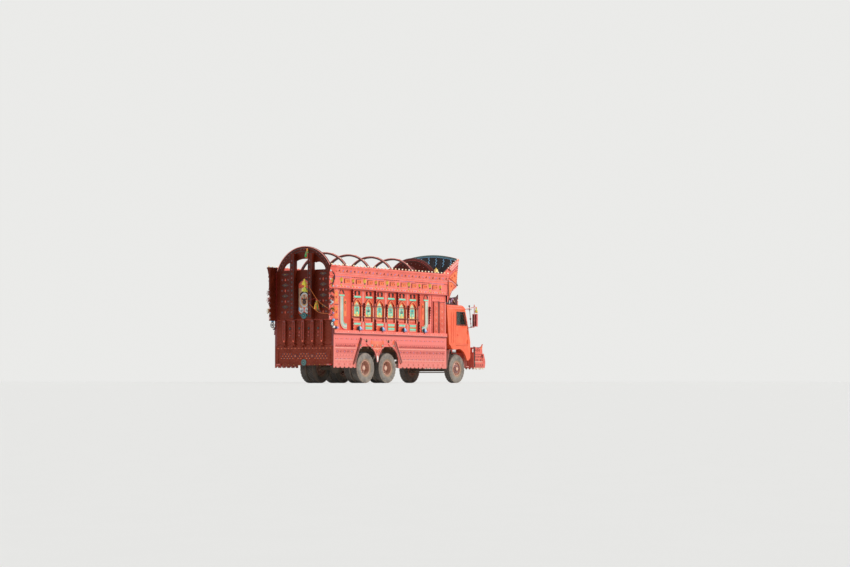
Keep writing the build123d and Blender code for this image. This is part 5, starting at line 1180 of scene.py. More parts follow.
def gable_trim():
    """Arched lines and flowers round the gable."""
    rim = Carving("gable_trim", stern, sink=0.001)
    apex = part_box("rear_wall")[1].z
    foot_z = 3.85
    half = 1.1647
    rise = apex - foot_z
    radius = (rise * rise + half * half) / (2 * rise)
    centre = apex - radius
    span = atan2(half, foot_z - centre)
    steps = 40
    curve = [
        (radius * sin(-span + 2 * span * i / steps), centre + radius * cos(-span + 2 * span * i / steps))
        for i in range(steps + 1)
    ]
    for a, depth, shade, size in (
        (0.99, 0.004, "rose", 0.018), (0.94, 0.002, "umber", 0.02), (0.86, 0.002, "umber", 0.014)
    ):
        path = [(u * a, centre + (v - centre) * a) for u, v in curve]
        rim.strip(path, size, 0.012 + depth, shade)
    for i in range(2, steps - 1, 2):
        u, v = curve[i]
        if abs(abs(u) - 0.38) > 0.1:
            rim.rosette(u * 0.915, centre + (v - centre) * 0.915, 0.04, "umber", "plum", 6, 0.008)
    rim.done()


def medallion():
    """The generic panel between the pilasters: a vase of flowers on a pale ground under an arched head."""
    work = Carving("rear_medallion", across(0.025, way=-1))
    work.prism(pointed_arch(0, 2.25, 3.38, 3.55, 0.275, 8), (-0.001, 0.004), "umber", 1.0)
    work.prism(pointed_arch(0, 3.24, 3.36, 3.52, 0.25, 8), (0.003, 0.01), "brick", 0.98)
    work.strip([(-0.2, 3.36), (-0.1, 3.41), (0, 3.43), (0.1, 3.41), (0.2, 3.36)], 0.024, (0.009, 0.015), "peach")
    work.strip([(-0.22, 3.28), (-0.1, 3.34), (0, 3.355), (0.1, 3.34), (0.22, 3.28)], 0.03, (0.009, 0.015), "orange")
    work.prism(panel(0, 2.83, 0.5, 0.82), (0.003, 0.009), "peach", 0.98)
    sun = [
        (
            0.14 * cos(tau * i / 32) * (1.0 if i % 2 else 0.8),
            3.17 + 0.1 * sin(tau * i / 32) * (1.0 if i % 2 else 0.8)
        )
        for i in range(32)
    ]
    work.prism(sun, (0.009, 0.016), "lemon", 0.96)
    work.rosette(0, 3.17, 0.07, "olive", "peach", 10, low=0.015)
    oval = [(0.2 * cos(tau * i / 28), 2.83 + 0.25 * sin(tau * i / 28)) for i in range(28)]
    work.prism(oval, (0.008, 0.013), "silver", 0.97)
    inner = [(0.16 * cos(tau * i / 28), 2.83 + 0.205 * sin(tau * i / 28)) for i in range(28)]
    work.prism(inner, (0.012, 0.018), "peach", 0.97)
    bowl = [
        (-0.03, 2.67), (0.03, 2.67), (0.075, 2.72), (0.085, 2.78), (0.05, 2.81), (-0.05, 2.81), (-0.085, 2.78),
        (-0.075, 2.72)
    ]
    work.prism(bowl, (0.017, 0.034), "umber", 0.8)
    work.prism(panel(0, 2.66, 0.1, 0.025), (0.017, 0.03), "olive", 0.9)
    for angle in (25, 50, 90, 130, 155):
        work.prism(leaf(0, 2.8, 0.14, 0.035, angle), (0.017, 0.025), "soot", 0.8)
    for a, v, shade in (
        (-0.08, 2.88, "brick"), (0.08, 2.88, "brick"), (0.0, 2.96, "maroon"), (-0.045, 2.93, "cream"),
        (0.045, 2.93, "cream")
    ):
        work.rosette(a, v, 0.036, shade, "umber", 8, 0.008, low=0.024)
    work.prism(panel(0, 2.46, 0.5, 0.22), (0.008, 0.012), "brick", 0.98)
    work.strip(arc(0, 2.86, 0.2, 0.25, (0.5, 0.9, 1.3, 1.8, 2.2, 2.6)), 0.05, (0.012, 0.02), "soot")
    for hand in SIDES:
        for angle, reach, shade in ((20, 0.2, "silver"), (50, 0.24, "white"), (78, 0.2, "silver")):
            work.prism(
                leaf(hand * 0.05, 2.4, reach, 0.11, angle if hand > 0 else 180 - angle), (0.014, 0.026), shade, 0.75
            )
        work.prism(leaf(hand * 0.19, 2.44, 0.16, 0.07, 90 - hand * 8), (0.02, 0.03), "sky", 0.75)
        work.strip([(hand * 0.262, 2.27), (hand * 0.262, 3.36)], 0.014, (0.003, 0.014), "umber")
    work.prism(panel(0, 2.3, 0.44, 0.1), (0.003, 0.014), "teal", 0.95)
    for i in range(5):
        work.rosette(-0.18 + 0.09 * i, 2.39, 0.026, "lemon" if i % 2 else "maroon", "umber", 6, 0.006, low=0.012)
    work.done()


def wing_work(hand, side):
    """Rings, scrolls, leaves and loose bunches on a corner wing."""
    face = flank(hand)
    skin = flank(hand, WALL_FACE + 0.05)
    work = Carving(f"wing_work_{side}", skin)
    for i in range(6):
        v = 2.22 + i * 0.177
        work.strip(
            arc(-0.24, v, 0.05, 0.06, (1.2, 2.0, 2.8, 3.6, 4.4, 5.1)), 0.018, 0.014, "maroon" if i % 2 else "rose"
        )
        work.rosette(-0.1, v, 0.045, "rose", "turquoise" if i % 2 else "maroon", 8, 0.012)
    work.strip([(-0.015, 2.15), (-0.015, 3.18)], 0.02, 0.012, "orange")
    for v, size in ((3.28, 0.06), (3.46, 0.08)):
        work.rosette(-0.15, v, size, "olive", "maroon", 8, 0.014, on=flank(hand, WALL_FACE + 0.06))
    work.strip(
        [(-0.29, 3.3), (-0.2, 3.36), (-0.12, 3.32), (-0.06, 3.4), (-0.05, 3.5), (-0.12, 3.56)], 0.02, 0.02,
        "maroon", on=flank(hand, WALL_FACE + 0.06)
    )
    scroll = ((-0.29, 3.8), (-0.16, 3.76), (-0.05, 3.66), (-0.03, 3.52), (-0.1, 3.4), (-0.15, 3.28))
    work.tube([face(u, v, 0.075) for u, v in scroll], [0.012, 0.022, 0.028, 0.03, 0.022, 0.012], "soot", 7)
    for u, v, size in ((-0.27, 3.78, 0.04), (-0.12, 3.26, 0.035), (-0.27, 3.5, 0.03)):
        work.ball(u, v, 0.085, size, "silver", 10, 6, on=face)
    for v in (2.3, 2.52, 2.95, 3.1):
        work.tube(
            [skin(-0.28, v - 0.05, 0.02), skin(-0.2, v, 0.03), skin(-0.1, v - 0.03, 0.02)], [0.008, 0.018, 0.008],
            "soot", 6
        )
    for v, shades in ((2.5, ("umber", "olive")), (2.88, ("umber", "plum")), (3.12, ("umber", "maroon"))):
        for i in range(9):
            turn = tau * i / 9
            tip = skin(-0.2 + 0.07 * cos(turn), v + 0.09 * sin(turn) - 0.04, 0.14 + 0.02 * (i % 2))
            work.tube(
                [skin(-0.2, v, 0.0), skin(-0.2 + 0.03 * cos(turn), v + 0.04 * sin(turn), 0.08), tip],
                [0.012, 0.014, 0.005], shades[i % 2], 5
            )
    work.done()


def wing_knobs(hand, side):
    """Knobs, a ringed flower and balls on a corner wing."""
    knobs = Carving(f"wing_knobs_{side}", flank(hand, WALL_FACE + 0.05))
    knobs.ball(-0.2, 2.72, 0.06, 0.05, "silver", 12, 7)
    for i in range(6):
        turn = tau * i / 6
        knobs.ball(
            -0.2 + 0.065 * cos(turn), 2.72 + 0.065 * sin(turn), 0.03, 0.032, "maroon" if i % 2 else "silver", 8, 5
        )
    knobs.ball(-0.1, 2.36, 0.025, 0.04, "lilac", 10, 6)
    low = flank(hand)
    ring = [low(-0.12 + 0.09 * cos(tau * i / 20), 1.99 + 0.09 * sin(tau * i / 20), 0.05) for i in range(20)]
    knobs.tube(ring, 0.014, "black", 6, True)
    knobs.tube([low(-0.12, 2.08, 0.05), low(-0.12, 2.14, 0.03)], 0.012, "black", 6)
    knobs.rosette(-0.12, 1.99, 0.07, "white", "teal", 8, 0.02, low=0.0, on=flank(hand, WALL_FACE + 0.045))
    knobs.tube([low(-0.02, 1.99, 0.02), low(-0.22, 1.99, 0.045)], 0.008, "black", 6)
    knobs.ball(0.03, 1.87, 0.09, 0.055, "navy", 12, 7, on=low)
    knobs.ball(0.13, 1.87, 0.08, 0.045, "lilac", 12, 7, on=low)
    knobs.ball(-0.05, 1.89, 0.07, 0.045, "white", 12, 7, on=low)
    knobs.ball(-0.08, 2.12, 0.07, 0.055, "sky", 12, 7, on=low)
    knobs.done()


def rear_post_work(hand, side):
    """Panels, flowers and bars on the post beside a wing."""
    post = Carving(f"rear_post_work_{side}", flank(hand, WALL_FACE + 0.035))
    for v in (1.9, 2.4, 2.9):
        post.prism(panel(0.125, v, 0.2, 0.44), 0.01, "orange", 0.95)
        post.rosette(0.125, v, 0.06, "brick", "maroon", low=0.008)
        for edge in (-0.11, 0.11):
            post.prism(leaf(0.125, v + edge * 0.6, 0.09, 0.05, 90 if edge > 0 else -90), (0.008, 0.016), "olive")
    for v in (2.15, 2.65):
        post.strip([(0.02, v), (0.23, v)], 0.02, 0.012, "maroon")
    for i in range(14):
        post.prism(diamond(0.235, 1.86 + i * 0.095, 0.02, 0.06), 0.008, "cream")
    post.done()


def tassel(name, top, length, bands, strings=14, spread=0.05):
    """A bound head, and a skirt of loose threads in bands of colour, hanging below a point."""
    made = Carving(name, upright(*top))
    made.ball(0, 0, -0.035, 0.03, bands[0], 10, 6)
    made.lathe(0, 0, [(0.018, -0.058), (0.026, -0.062), (0.026, -0.075), (0.02, -0.08)][::-1], "lemon thread", 10)
    for i in range(strings):
        turn = tau * i / strings + 0.4 * sin(i * 2.3)
        out = spread * (0.55 + 0.45 * sin(i * 1.7) ** 2)
        drop = length * (0.88 + 0.12 * sin(i * 3.1))
        steps = 5
        path = []
        for k in range(steps + 1):
            share = k / steps
            bow = out * sin(share * pi / 2) + 0.006 * sin(share * 9 + i)
            path.append((top[0] + bow * cos(turn), top[1] + bow * sin(turn), top[2] - 0.07 - drop * share))
        cut = 1 + (i % 3)
        wide = 0.06 * spread + 0.01
        made.tube(path[: cut + 1], [wide] * (cut + 1), bands[i % len(bands)], 5)
        made.tube(path[cut:], [wide * 1.25] * (steps - cut) + [0.004], bands[(i + 1) % len(bands)], 5)
    return made.done()


def hanging_cord(name, points, shade, diameter):
    """A thin cord along a route."""
    line = bpy.data.curves.new(name, "CURVE")
    line.dimensions = "3D"
    spline = line.splines.new("NURBS")
    spline.points.add(len(points) - 1)
    for knot, spot in zip(spline.points, points):
        knot.co = (*spot, 1.0)
    spline.use_endpoint_u = True
    spline.order_u = 3
    made = bpy.data.objects.new(name, line)
    bpy.context.scene.collection.objects.link(made)
    bpy.context.view_layer.update()
    shape = bpy.data.meshes.new_from_object(made)
    bpy.data.meshes.remove(shape)
    line.bevel_depth = diameter / 2
    line.bevel_resolution = 2
    line.materials.append(finish(shade))
    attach(made, "truck")
    return made


def cheek_height(x, drop):
    """Height of a crown cheek's upper edge at x forward of the body's front, lowered by drop."""
    return 3.98 - drop + 0.5744 * (x + 0.31)


def crown_cheek(hand, side):
    """Mouldings, panels, flowers and leaves on a cheek of the crown."""
    face = lambda u, v, w: (TAIL + LENGTH + u, hand * (CROWN_HIGH.y + w), v)
    cheek = Carving(f"crown_cheek_{side}", face)
    for drop, wide, proud, shade in (
        (0.05, 0.08, 0.02, "rose"), (0.105, 0.014, 0.0, "maroon"), (0.15, 0.05, 0.014, "rose"),
        (0.19, 0.012, 0.0, "plum")
    ):
        cheek.strip(
            [(x, cheek_height(x, drop)) for x in (0.05 + drop, 0.67)], wide, (proud - 0.002, proud + 0.008), shade
        )
    for i in range(12):
        x = 0.16 + i * 0.045
        cheek.prism(disc(x, cheek_height(x, 0.245), 0.014, 8), 0.012, "maroon" if i % 2 else "lilac")
    cheek.prism(
        [(0.1, 3.86), (0.3, 3.98), (0.62, 4.16), (0.64, 3.9), (0.6, 3.62), (0.36, 3.74)], 0.008, "orange", 0.95
    )
    cheek.prism(
        [(0.06, 3.7), (0.3, 3.68), (0.52, 3.56), (0.36, 3.48), (0.2, 3.33), (0.09, 3.12)], 0.008, "orange", 0.94
    )
    cheek.strip([(0.3, 3.401), (0.57, 3.545)], 0.04, (0.024, 0.032), "rose")
    cheek.strip([(0.06, 3.73), (0.3, 3.71), (0.56, 3.58)], 0.03, 0.016, "rose")
    for x, v, size in ((0.46, 3.95, 0.06), (0.28, 3.86, 0.045), (0.24, 3.55, 0.05)):
        cheek.rosette(x, v, size, "brick", "plum", 10, 0.012, low=0.006)
    for x, v, angle in ((0.54, 4.06, 70), (0.54, 3.84, 280), (0.18, 3.44, 240), (0.36, 3.58, 10)):
        cheek.prism(leaf(x, v, 0.12, 0.045, angle), (0.006, 0.014), "plum", 0.6)
    for i in range(8):
        v = 3.72 + i * 0.085
        x = 0.61 + CROWN_RAKE * max(0.0, v - 3.8)
        cheek.prism(leaf(x, v, 0.05, 0.03, 180), 0.012, "maroon" if i % 2 else "soot")
    cheek.ball(0.6, 3.6, 0.02, 0.035, "soot", 10, 6)
    cheek.ball(0.6, 3.68, 0.02, 0.026, "silver", 10, 6)
    cheek.strip([(0.02, 3.2), (0.02, 3.9)], 0.024, 0.01, "maroon")
    cheek.strip([(0.06, 3.05), (0.19, 3.27), (0.34, 3.44)], 0.016, 0.01, "plum")
    cheek.done()


def rail_block(hand, side):
    """A small finial on the cornice."""
    block = Carving(f"rail_block_{side}", upright(TAIL + 6.34, hand * 1.2, CORNICE_TOP, hand))
    block.prism(panel(0, 0, 0.2, 0.12), 0.05, "maroon", 0.9, True)
    block.prism(panel(0, 0, 0.15, 0.09), (0.048, 0.16), "lemon", 0.85)
    block.ball(0, 0, 0.18, 0.035, "olive", 10, 6)
    block.done()


def crown_front():
    """An arched panel and flowers on the crown's front."""
    front = Carving("crown_front", prow, sink=0.003)
    for level, shade in ((3.87, "maroon"), (3.9, "cream")):
        front.strip([(-CROWN_HIGH.y + 0.03, level), (CROWN_HIGH.y - 0.03, level)], 0.02, 0.012, shade)
    front.prism(pointed_arch(0, 3.95, 4.35, 4.62, 0.3, 8), 0.012, "cream", 0.98)
    front.prism(pointed_arch(0, 3.98, 4.33, 4.56, 0.26, 8), (0.01, 0.018), "teal", 0.98)
    front.rosette(0, 4.25, 0.15, "orange", "lemon", 12, 0.02, low=0.016)
    for angle in (200, 235, 270, 305, 340):
        front.prism(leaf(0, 4.12, 0.13, 0.045, angle), (0.016, 0.026), "turquoise")
    for hand in SIDES:
        for y, v, size, shade in (
            (0.5, 4.2, 0.13, "turquoise"), (0.82, 4.12, 0.11, "orange"), (1.1, 4.05, 0.09, "turquoise"),
            (0.66, 4.42, 0.08, "rose"), (0.98, 4.34, 0.07, "rose")
        ):
            front.rosette(hand * y, v, size, shade, "maroon", 10, 0.02)
            front.strip(
                arc(hand * y, v, size * 1.15, size * 1.15, [tau * i / 20 for i in range(21)]), 0.012, 0.012, "cream"
            )
        for y, v, angle in ((0.36, 4.45, 60), (0.65, 4.05, 90), (0.96, 4.0, 90), (1.19, 4.2, 80)):
            front.prism(leaf(hand * y, v, 0.13, 0.05, angle if hand > 0 else 180 - angle), 0.014, "olive", 0.6)
    front.done()


def crest_line():
    """Points along the crown's arched crest."""
    half, apex, tip, steps = CROWN_HIGH.y, CROWN_HIGH.z, 4.57, 36
    rise = apex - tip
    radius = (rise * rise + half * half) / (2 * rise)
    sweep = asin(half / radius)
    turns = [-sweep + 2 * sweep * i / steps for i in range(steps + 1)]
    return [(radius * sin(turn), apex - radius + radius * cos(turn)) for turn in turns]


def crown_bowl():
    """Wavy lines and flowers on the back of the crown's front wall."""
    inner = Carving("crown_bowl", bowl, sink=0.003)
    for i in range(7):
        y = 0.33 * (i - 3)
        foot = 4.37 - 0.035 * abs(i - 3)
        inner.strip([(y + 0.028 * sin(t * 1.15), foot + 0.29 * t / 14) for t in range(15)], 0.024, 0.01, "sky")
        inner.strip(
            [(y + 0.1 + 0.02 * sin(t * 1.15 + 2), foot - 0.05 + 0.24 * t / 12) for t in range(13)], 0.014, 0.008,
            "navy"
        )
        inner.rosette(y + 0.165, foot - 0.06, 0.03, "teal", "lilac", 6, 0.008)
    half = CROWN_HIGH.y
    low_edge = [(u * (half - 0.06) / half, v - 0.035) for u, v in crest_line()]
    inner.strip(low_edge, 0.035, 0.012, "teal")
    inner.strip([(u, v - 0.04) for u, v in low_edge], 0.014, 0.01, "sky")
    inner.done()


def crown_crest():
    """The crest's mouldings, and lights along the crest and the cheeks."""
    crest = crest_line()
    edge = Carving("crown_crest", prow, sink=0.003)
    edge.strip([(u * 0.985, v - 0.03) for u, v in crest], 0.045, 0.014, "rose")
    edge.strip([(u * 0.985, v - 0.075) for u, v in crest], 0.018, 0.012, "maroon")
    edge.done()
    lights = Carving("crown_lights")
    for i in range(0, 37, 2):
        u, v = crest[i]
        place = upright(TAIL + LENGTH + 0.79, u * 0.985, v - 0.028)
        lights.ball(0, 0, 0.0, 0.022, "pearl bulb" if i % 4 else "amber bulb", 8, 5, on=place)
    for hand in SIDES:
        for i in range(6):
            x = 0.08 + i * 0.12
            place = upright(TAIL + LENGTH + x, hand * (CROWN_HIGH.y - 0.025), cheek_height(x, -0.008))
            lights.ball(0, 0, 0.0, 0.022, "pearl bulb", 8, 5, on=place)
    lights.done()


def headboard_work():
    """Arched lines, flowers and leaves on the headboard, most of their colours darkened as painted shade."""
    board = Carving("headboard_work", across(6.52, way=-1))
    centre = 3.4058
    # The dark reds and browns of the lines, flowers and leaves stand for painted shade on the headboard
    for a, b, low, high, shade in (
        (1.155, 0.03, 0.013, 0.02, "maroon"), (1.105, 0.014, -0.002, 0.012, "plum"),
        (1.06, 0.012, -0.002, 0.01, "umber")
    ):
        bend = acos((3.99 - centre) / a)
        board.strip(
            [(a * sin(-bend + 2 * bend * i / 40), centre + a * cos(-bend + 2 * bend * i / 40)) for i in range(41)],
            b, (low, high), shade
        )
    for i in range(11):
        turn = radians(-56 + 11.2 * i)
        board.rosette(0.98 * sin(turn), centre + 0.98 * cos(turn), 0.05, "umber", "plum", 8, 0.012)
    board.prism(pointed_arch(0, 3.99, 4.14, 4.3, 0.2, 6), 0.012, "maroon", 0.95)
    board.rosette(0, 4.1, 0.08, "olive", "lemon", 10, 0.012, low=0.01)
    for hand in SIDES:
        for y in (0.36, 0.56, 0.74):
            board.prism(leaf(hand * y, 3.99, 0.2 - 0.1 * y, 0.08, 90), 0.012, "umber" if y == 0.56 else "maroon")
    board.done()


def hoop_lights():
    """Beads and edge lines on the roof hoops."""
    hoops = Carving("hoop_lights")
    for rib in RIBS:
        for i in range(9):
            turn = radians(-72 + 18 * i)
            y, z = 1.163 * sin(turn), HOOP_AXIS + 1.163 * cos(turn)
            out = (sin(turn), cos(turn))
            for step in (-0.02, 0.02):
                spot = (TAIL + rib + 0.1 + step, y, z)
                hoops.add(*bead(spot, 0.02, (0, out[0], out[1])), "orange" if i % 2 else "pearl bulb")
        for edge, shade, wide in ((0.064, "rose", 0.015), (0.136, "orange", 0.01)):
            rim = [
                (
                    TAIL + rib + edge, HOOP_RADIUS * sin(radians(-88 + 7.333 * i)),
                    HOOP_AXIS + HOOP_RADIUS * cos(radians(-88 + 7.333 * i))
                )
                for i in range(25)
            ]
            hoops.tube(rim, wide, shade, 5)
    hoops.done()


def bead(spot, radius, out, sides=8, rows=4):
    """Points and faces of a small dome that stands out from a place."""
    z = Vector(out).normalized()
    x = z.orthogonal().normalized()
    y = z.cross(x)
    points, faces = [], []
    for row in range(rows + 1):
        rise = -0.4 + (pi / 2 + 0.35) * row / rows
        for i in range(sides):
            turn = tau * i / sides
            flat = radius * max(cos(rise), 0.05)
            points.append(tuple(Vector(spot) + (x * cos(turn) + y * sin(turn)) * flat + z * radius * sin(rise)))
    for row in range(rows):
        for i in range(sides):
            a, b = row * sides + i, row * sides + (i + 1) % sides
            faces.append([a, b, b + sides, a + sides])
    faces.append([rows * sides + i for i in range(sides)])
    return points, faces


def front_panel_work(hand, side):
    """Two panels with diamonds before the ribs, with flowers over them."""
    face = flank(hand)
    work = Carving(f"front_panel_work_{side}", flank(hand, WALL_FACE + 0.035))
    for start, end in ((6.1, 6.4), (6.47, 6.8)):
        mid = (start + end) / 2
        work.prism(panel(mid, 2.37, end - start - 0.02, 1.1), 0.006, "brick", 0.98)
        work.strip([(start, 2.94), (end, 2.94)], 0.018, 0.012, "maroon")
        for i in range(5):
            v = 1.95 + 0.21 * i
            work.prism(diamond(mid, v, 0.12, 0.16), (0.004, 0.012), "coral", 0.8)
            work.rosette(mid, v, 0.035, "rose", "maroon", 8, 0.008, low=0.01)
            for edge in (-0.1, 0.1):
                work.lathe(mid + edge, v + 0.105, [(0.012, 0.004), (0.01, 0.012)], "plum", 8)
    # Lines down the panels' edges; the two dark brown ones at 6.415 and 6.455 fill the gap between the panels with
    # painted shade
    for u, wide, shade in (
        (5.9, 0.02, "rose"), (6.0, 0.014, "plum"), (6.085, 0.018, "maroon"), (6.415, 0.03, "umber"),
        (6.455, 0.03, "umber"), (6.825, 0.04, "maroon"), (6.9, 0.02, "rose")
    ):
        work.strip(
            [(u, 1.81), (u, 2.96 if 6.05 < u < 6.85 else 3.17)], wide, 0.04 if 6.4 < u < 6.46 else 0.012, shade,
            on=face
        )
    for i in range(12):
        work.lathe(6.0, 1.86 + 0.11 * i, [(0.012, -0.002), (0.009, 0.008)], "lilac", 8, on=face)
    for i in range(7):
        work.rosette(5.9 + i * 0.155, 3.07, 0.04, "orange", "plum", on=face)
    work.done()


def arch_work(hand, side):
    """Finials and leaves on the wheel arches, the struts' stripes and the pendant between the wheels."""
    arches = Carving(f"arch_work_{side}", flank(hand, WALL_FACE + 0.025))
    for axle in REAR_AXLES:
        arches.prism(leaf(axle, 1.38, 0.14, 0.07, 90), 0.02, "umber", 0.6)
        arches.ball(axle, 1.425, 0.02, 0.026, "umber", 10, 6)
        for way in SIDES:
            arches.prism(leaf(axle + way * 0.04, 1.43, 0.14, 0.05, 90 - way * 48), 0.016, "peach", 0.6)
            arches.prism(leaf(axle + way * 0.27, 1.33, 0.19, 0.09, 90 - way * 25), 0.014, "orange")
            arches.prism(leaf(axle + way * 0.45, 1.19, 0.2, 0.08, 90 - way * 30), 0.012, "orange")
            arches.lathe(axle + way * 0.34, 1.3, [(0.03, -0.002), (0.024, 0.01), (0.01, 0.014)], "turquoise", 10)
    for (foot_u, foot_v), (head_u, head_v) in (((1.15, 0.66), (1.57, 1.53)), ((4.0, 0.71), (3.61, 1.46))):
        strut = flank(hand, WALL_FACE + 0.065)
        line = [(foot_u + (head_u - foot_u) * t, foot_v + (head_v - foot_v) * t) for t in (0.0, 1.0)]
        arches.strip(line, 0.068, 0.008, "garnet", on=strut)
        inward = 0.046 if foot_u < head_u else -0.046
        arches.strip([(u + inward, v) for u, v in line], 0.012, (-0.03, 0.002), "rose", on=strut)
        for i in range(12):
            t = (i + 0.5) / 12
            arches.lathe(
                foot_u + (head_u - foot_u) * t, foot_v + (head_v - foot_v) * t, [(0.012, 0.006), (0.009, 0.014)],
                "maroon", 8, on=strut
            )
    arches.prism(
        [(2.14, 1.45), (2.98, 1.45), (2.7, 1.12), (2.56, 1.02), (2.42, 1.12)], (-0.003, 0.004), "coral", 0.97
    )
    arches.prism(leaf(2.56, 1.0, 0.3, 0.12, -90), 0.02, "white")
    arches.rosette(2.56, 0.95, 0.05, "rose", "maroon", 8, 0.012)
    for i in range(6):
        v = 1.02 + i * 0.075
        arches.lathe(2.56, v, [(0.016, -0.002), (0.012, 0.008)], "olive" if i % 2 else "cream", 8)
    arches.done()


def door_work(hand, side):
    """The frame of a door's window, the windscreen pillar's painted shadow, and a line below."""
    door = Carving(f"door_work_{side}", flank(hand, CAB_SIDE), sink=0.003, body=f"door_{side}_body")
    door.strip([(7.7, 1.44), (8.43, 1.44)], 0.014, 0.007, "brick")
    door.strip([(7.72, 2.6125), (8.23, 2.6125)], 0.045, 0.008, "soot")
    # A broad black band at the window's front: the frame's front side widened with painted shadow of the windscreen
    # pillar
    door.strip([(8.244, 2.62), (8.388, 2.13)], 0.062, 0.009, "soot")
    door.strip([(7.72, 2.14), (8.36, 2.14)], 0.03, 0.008, "soot")
    door.strip([(7.715, 2.14), (7.715, 2.62)], 0.025, 0.008, "umber")
    door.strip([(8.13, 2.155), (8.13, 2.6)], 0.016, (-0.022, 0.0), "soot")
    door.done()


def cab_side_work(hand, side):
    """Lines on the cab's side behind the door."""
    quarter = Carving(f"cab_side_work_{side}", flank(hand, CAB_SIDE), sink=0.003)
    for u in (7.36, 7.52):
        quarter.strip([(u, 1.48), (u, 2.62)], 0.012, 0.007, "brick")
    quarter.strip([(7.1, 2.75), (8.2, 2.75)], 0.012, 0.008, "rose")
    quarter.strip([(7.1, 2.83), (8.1, 2.83)], 0.012, 0.008, "rose")
    quarter.done()


def cab_step(hand, side):
    """Steps below a door."""
    step = Carving(f"cab_step_{side}", upright(TAIL + 8.53, hand * 1.09, 0.0, hand))
    for level in (0.62, 0.9):
        step.prism(panel(0, 0, 0.15, 0.16), (level - 0.02, level + 0.005), "rose", 0.97, True)
        for i in range(-2, 3):
            step.prism(panel(i * 0.028, 0, 0.012, 0.13), (level + 0.004, level + 0.009), "maroon", 0.9)
    for edge in (-0.06, 0.06):
        step.tube(
            [
                (TAIL + 8.53 + edge, hand * 1.05, 0.6), (TAIL + 8.53 + edge, hand * 1.05, 1.0),
                (TAIL + 8.53 + edge, hand * 1.1, 1.16)
            ],
            0.012, "rose", 8
        )
    step.done()


def fence_work(hand, side):
    """Short strokes of colour on the roof fence's side, and a pale strip at its front end as painted light."""
    box_low, box_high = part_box("roof_fence")
    fence = Carving(f"fence_work_{side}", flank(hand, box_high.y), sink=0.003)
    length = box_high.x - box_low.x
    start = box_low.x - TAIL
    foot = 2.9
    fence.strip([(start + 0.02, foot + 0.01), (start + length - 0.02, foot + 0.01)], 0.02, 0.008, "soot")
    mid = start + length * 0.55
    fence.strip(
        [(mid - 0.12, foot + 0.07), (mid - 0.03, foot + 0.2), (mid + 0.05, foot + 0.19)], 0.028, 0.01, "lilac"
    )
    fence.strip([(mid + 0.05, foot + 0.19), (mid + 0.15, foot + 0.08)], 0.026, 0.01, "peach")
    fence.strip([(start + 0.09, foot + 0.16), (start + 0.12, foot + 0.05)], 0.024, 0.01, "silver")
    # A pale strip at the front end: painted light where the crown's shadow ends
    fence.strip([(start + length - 0.03, foot - 0.02), (start + length - 0.03, foot + 0.2)], 0.05, 0.012, "rose")
    fence.ball(start + length - 0.035, foot + 0.15, 0.0, 0.034, "white", 10, 6)
    fence.done()


def mirror_work(hand, side):
    """A mirror's finial, pole, curl, flower and pane."""
    mirror = Carving(f"mirror_work_{side}", sink=0.003)
    post = (TAIL + 8.56, hand * 1.44)
    head = upright(*post, 0.0)
    mirror.lathe(
        0, 0, [(0.018, 2.83), (0.026, 2.84), (0.014, 2.86), (0.022, 2.875), (0.012, 2.9), (0.002, 2.93)], "brick",
        10, on=head
    )
    low_end, high_end = Vector((TAIL + 8.533, hand * 1.32, 2.065)), Vector((TAIL + 8.42, hand * 1.32, 2.77))
    pole = [tuple(low_end.lerp(high_end, t)) for t in (0.0, 0.5, 1.0, 1.08)]
    mirror.tube(pole, 0.012, "maroon", 8)
    for share, size, shade in (
        (1.12, 0.034, "soot"), (0.93, 0.028, "maroon"), (0.45, 0.036, "maroon"), (0.2, 0.026, "plum"),
        (0.02, 0.03, "soot")
    ):
        spot = low_end.lerp(high_end, share)
        mirror.ball(0, 0, 0, size, shade, 10, 6, on=upright(*spot))
    cross = low_end.lerp(high_end, 0.93)
    mirror.tube(
        [(cross.x - 0.06, cross.y - hand * 0.05, cross.z), (cross.x + 0.06, cross.y + hand * 0.05, cross.z)], 0.01,
        "maroon", 6
    )
    curl = [
        (post[0] + 0.02 + 0.05 * cos(t) * (1 - t / 9), post[1] - hand * 0.05, 2.11 - 0.05 * sin(t) * (1 - t / 9))
        for t in (-0.6, 0.4, 1.4, 2.4, 3.4, 4.4, 5.4)
    ]
    mirror.tube(curl, 0.013, "soot", 6)
    back = lambda u, v, w: (post[0] + 0.0675 + w, post[1] + hand * 0.01 + u, v)
    mirror.rosette(0, 2.33, 0.075, "rose", "maroon", 10, on=back)
    for v in (2.16, 2.5):
        mirror.prism(leaf(0, v, 0.06, 0.05, 90 if v > 2.33 else -90), 0.008, "cream", on=back)
    for edge in (-0.09, 0.09):
        mirror.strip([(edge, 2.12), (edge, 2.54)], 0.012, 0.008, "maroon", on=back)
    glass = lambda u, v, w: (post[0] + 0.0225 - w, post[1] + hand * 0.01 + u, v)
    mirror.prism(panel(-hand * 0.032, 2.33, 0.14, 0.42), 0.004, "mirror pane", 0.99, True, on=glass)
    mirror.strip([(hand * 0.048, 2.105), (hand * 0.048, 2.555)], 0.014, 0.008, "plum", on=glass)
    mirror.strip([(hand * 0.1, 2.105), (hand * 0.1, 2.555)], 0.014, 0.008, "rose", on=glass)
    mirror.done()


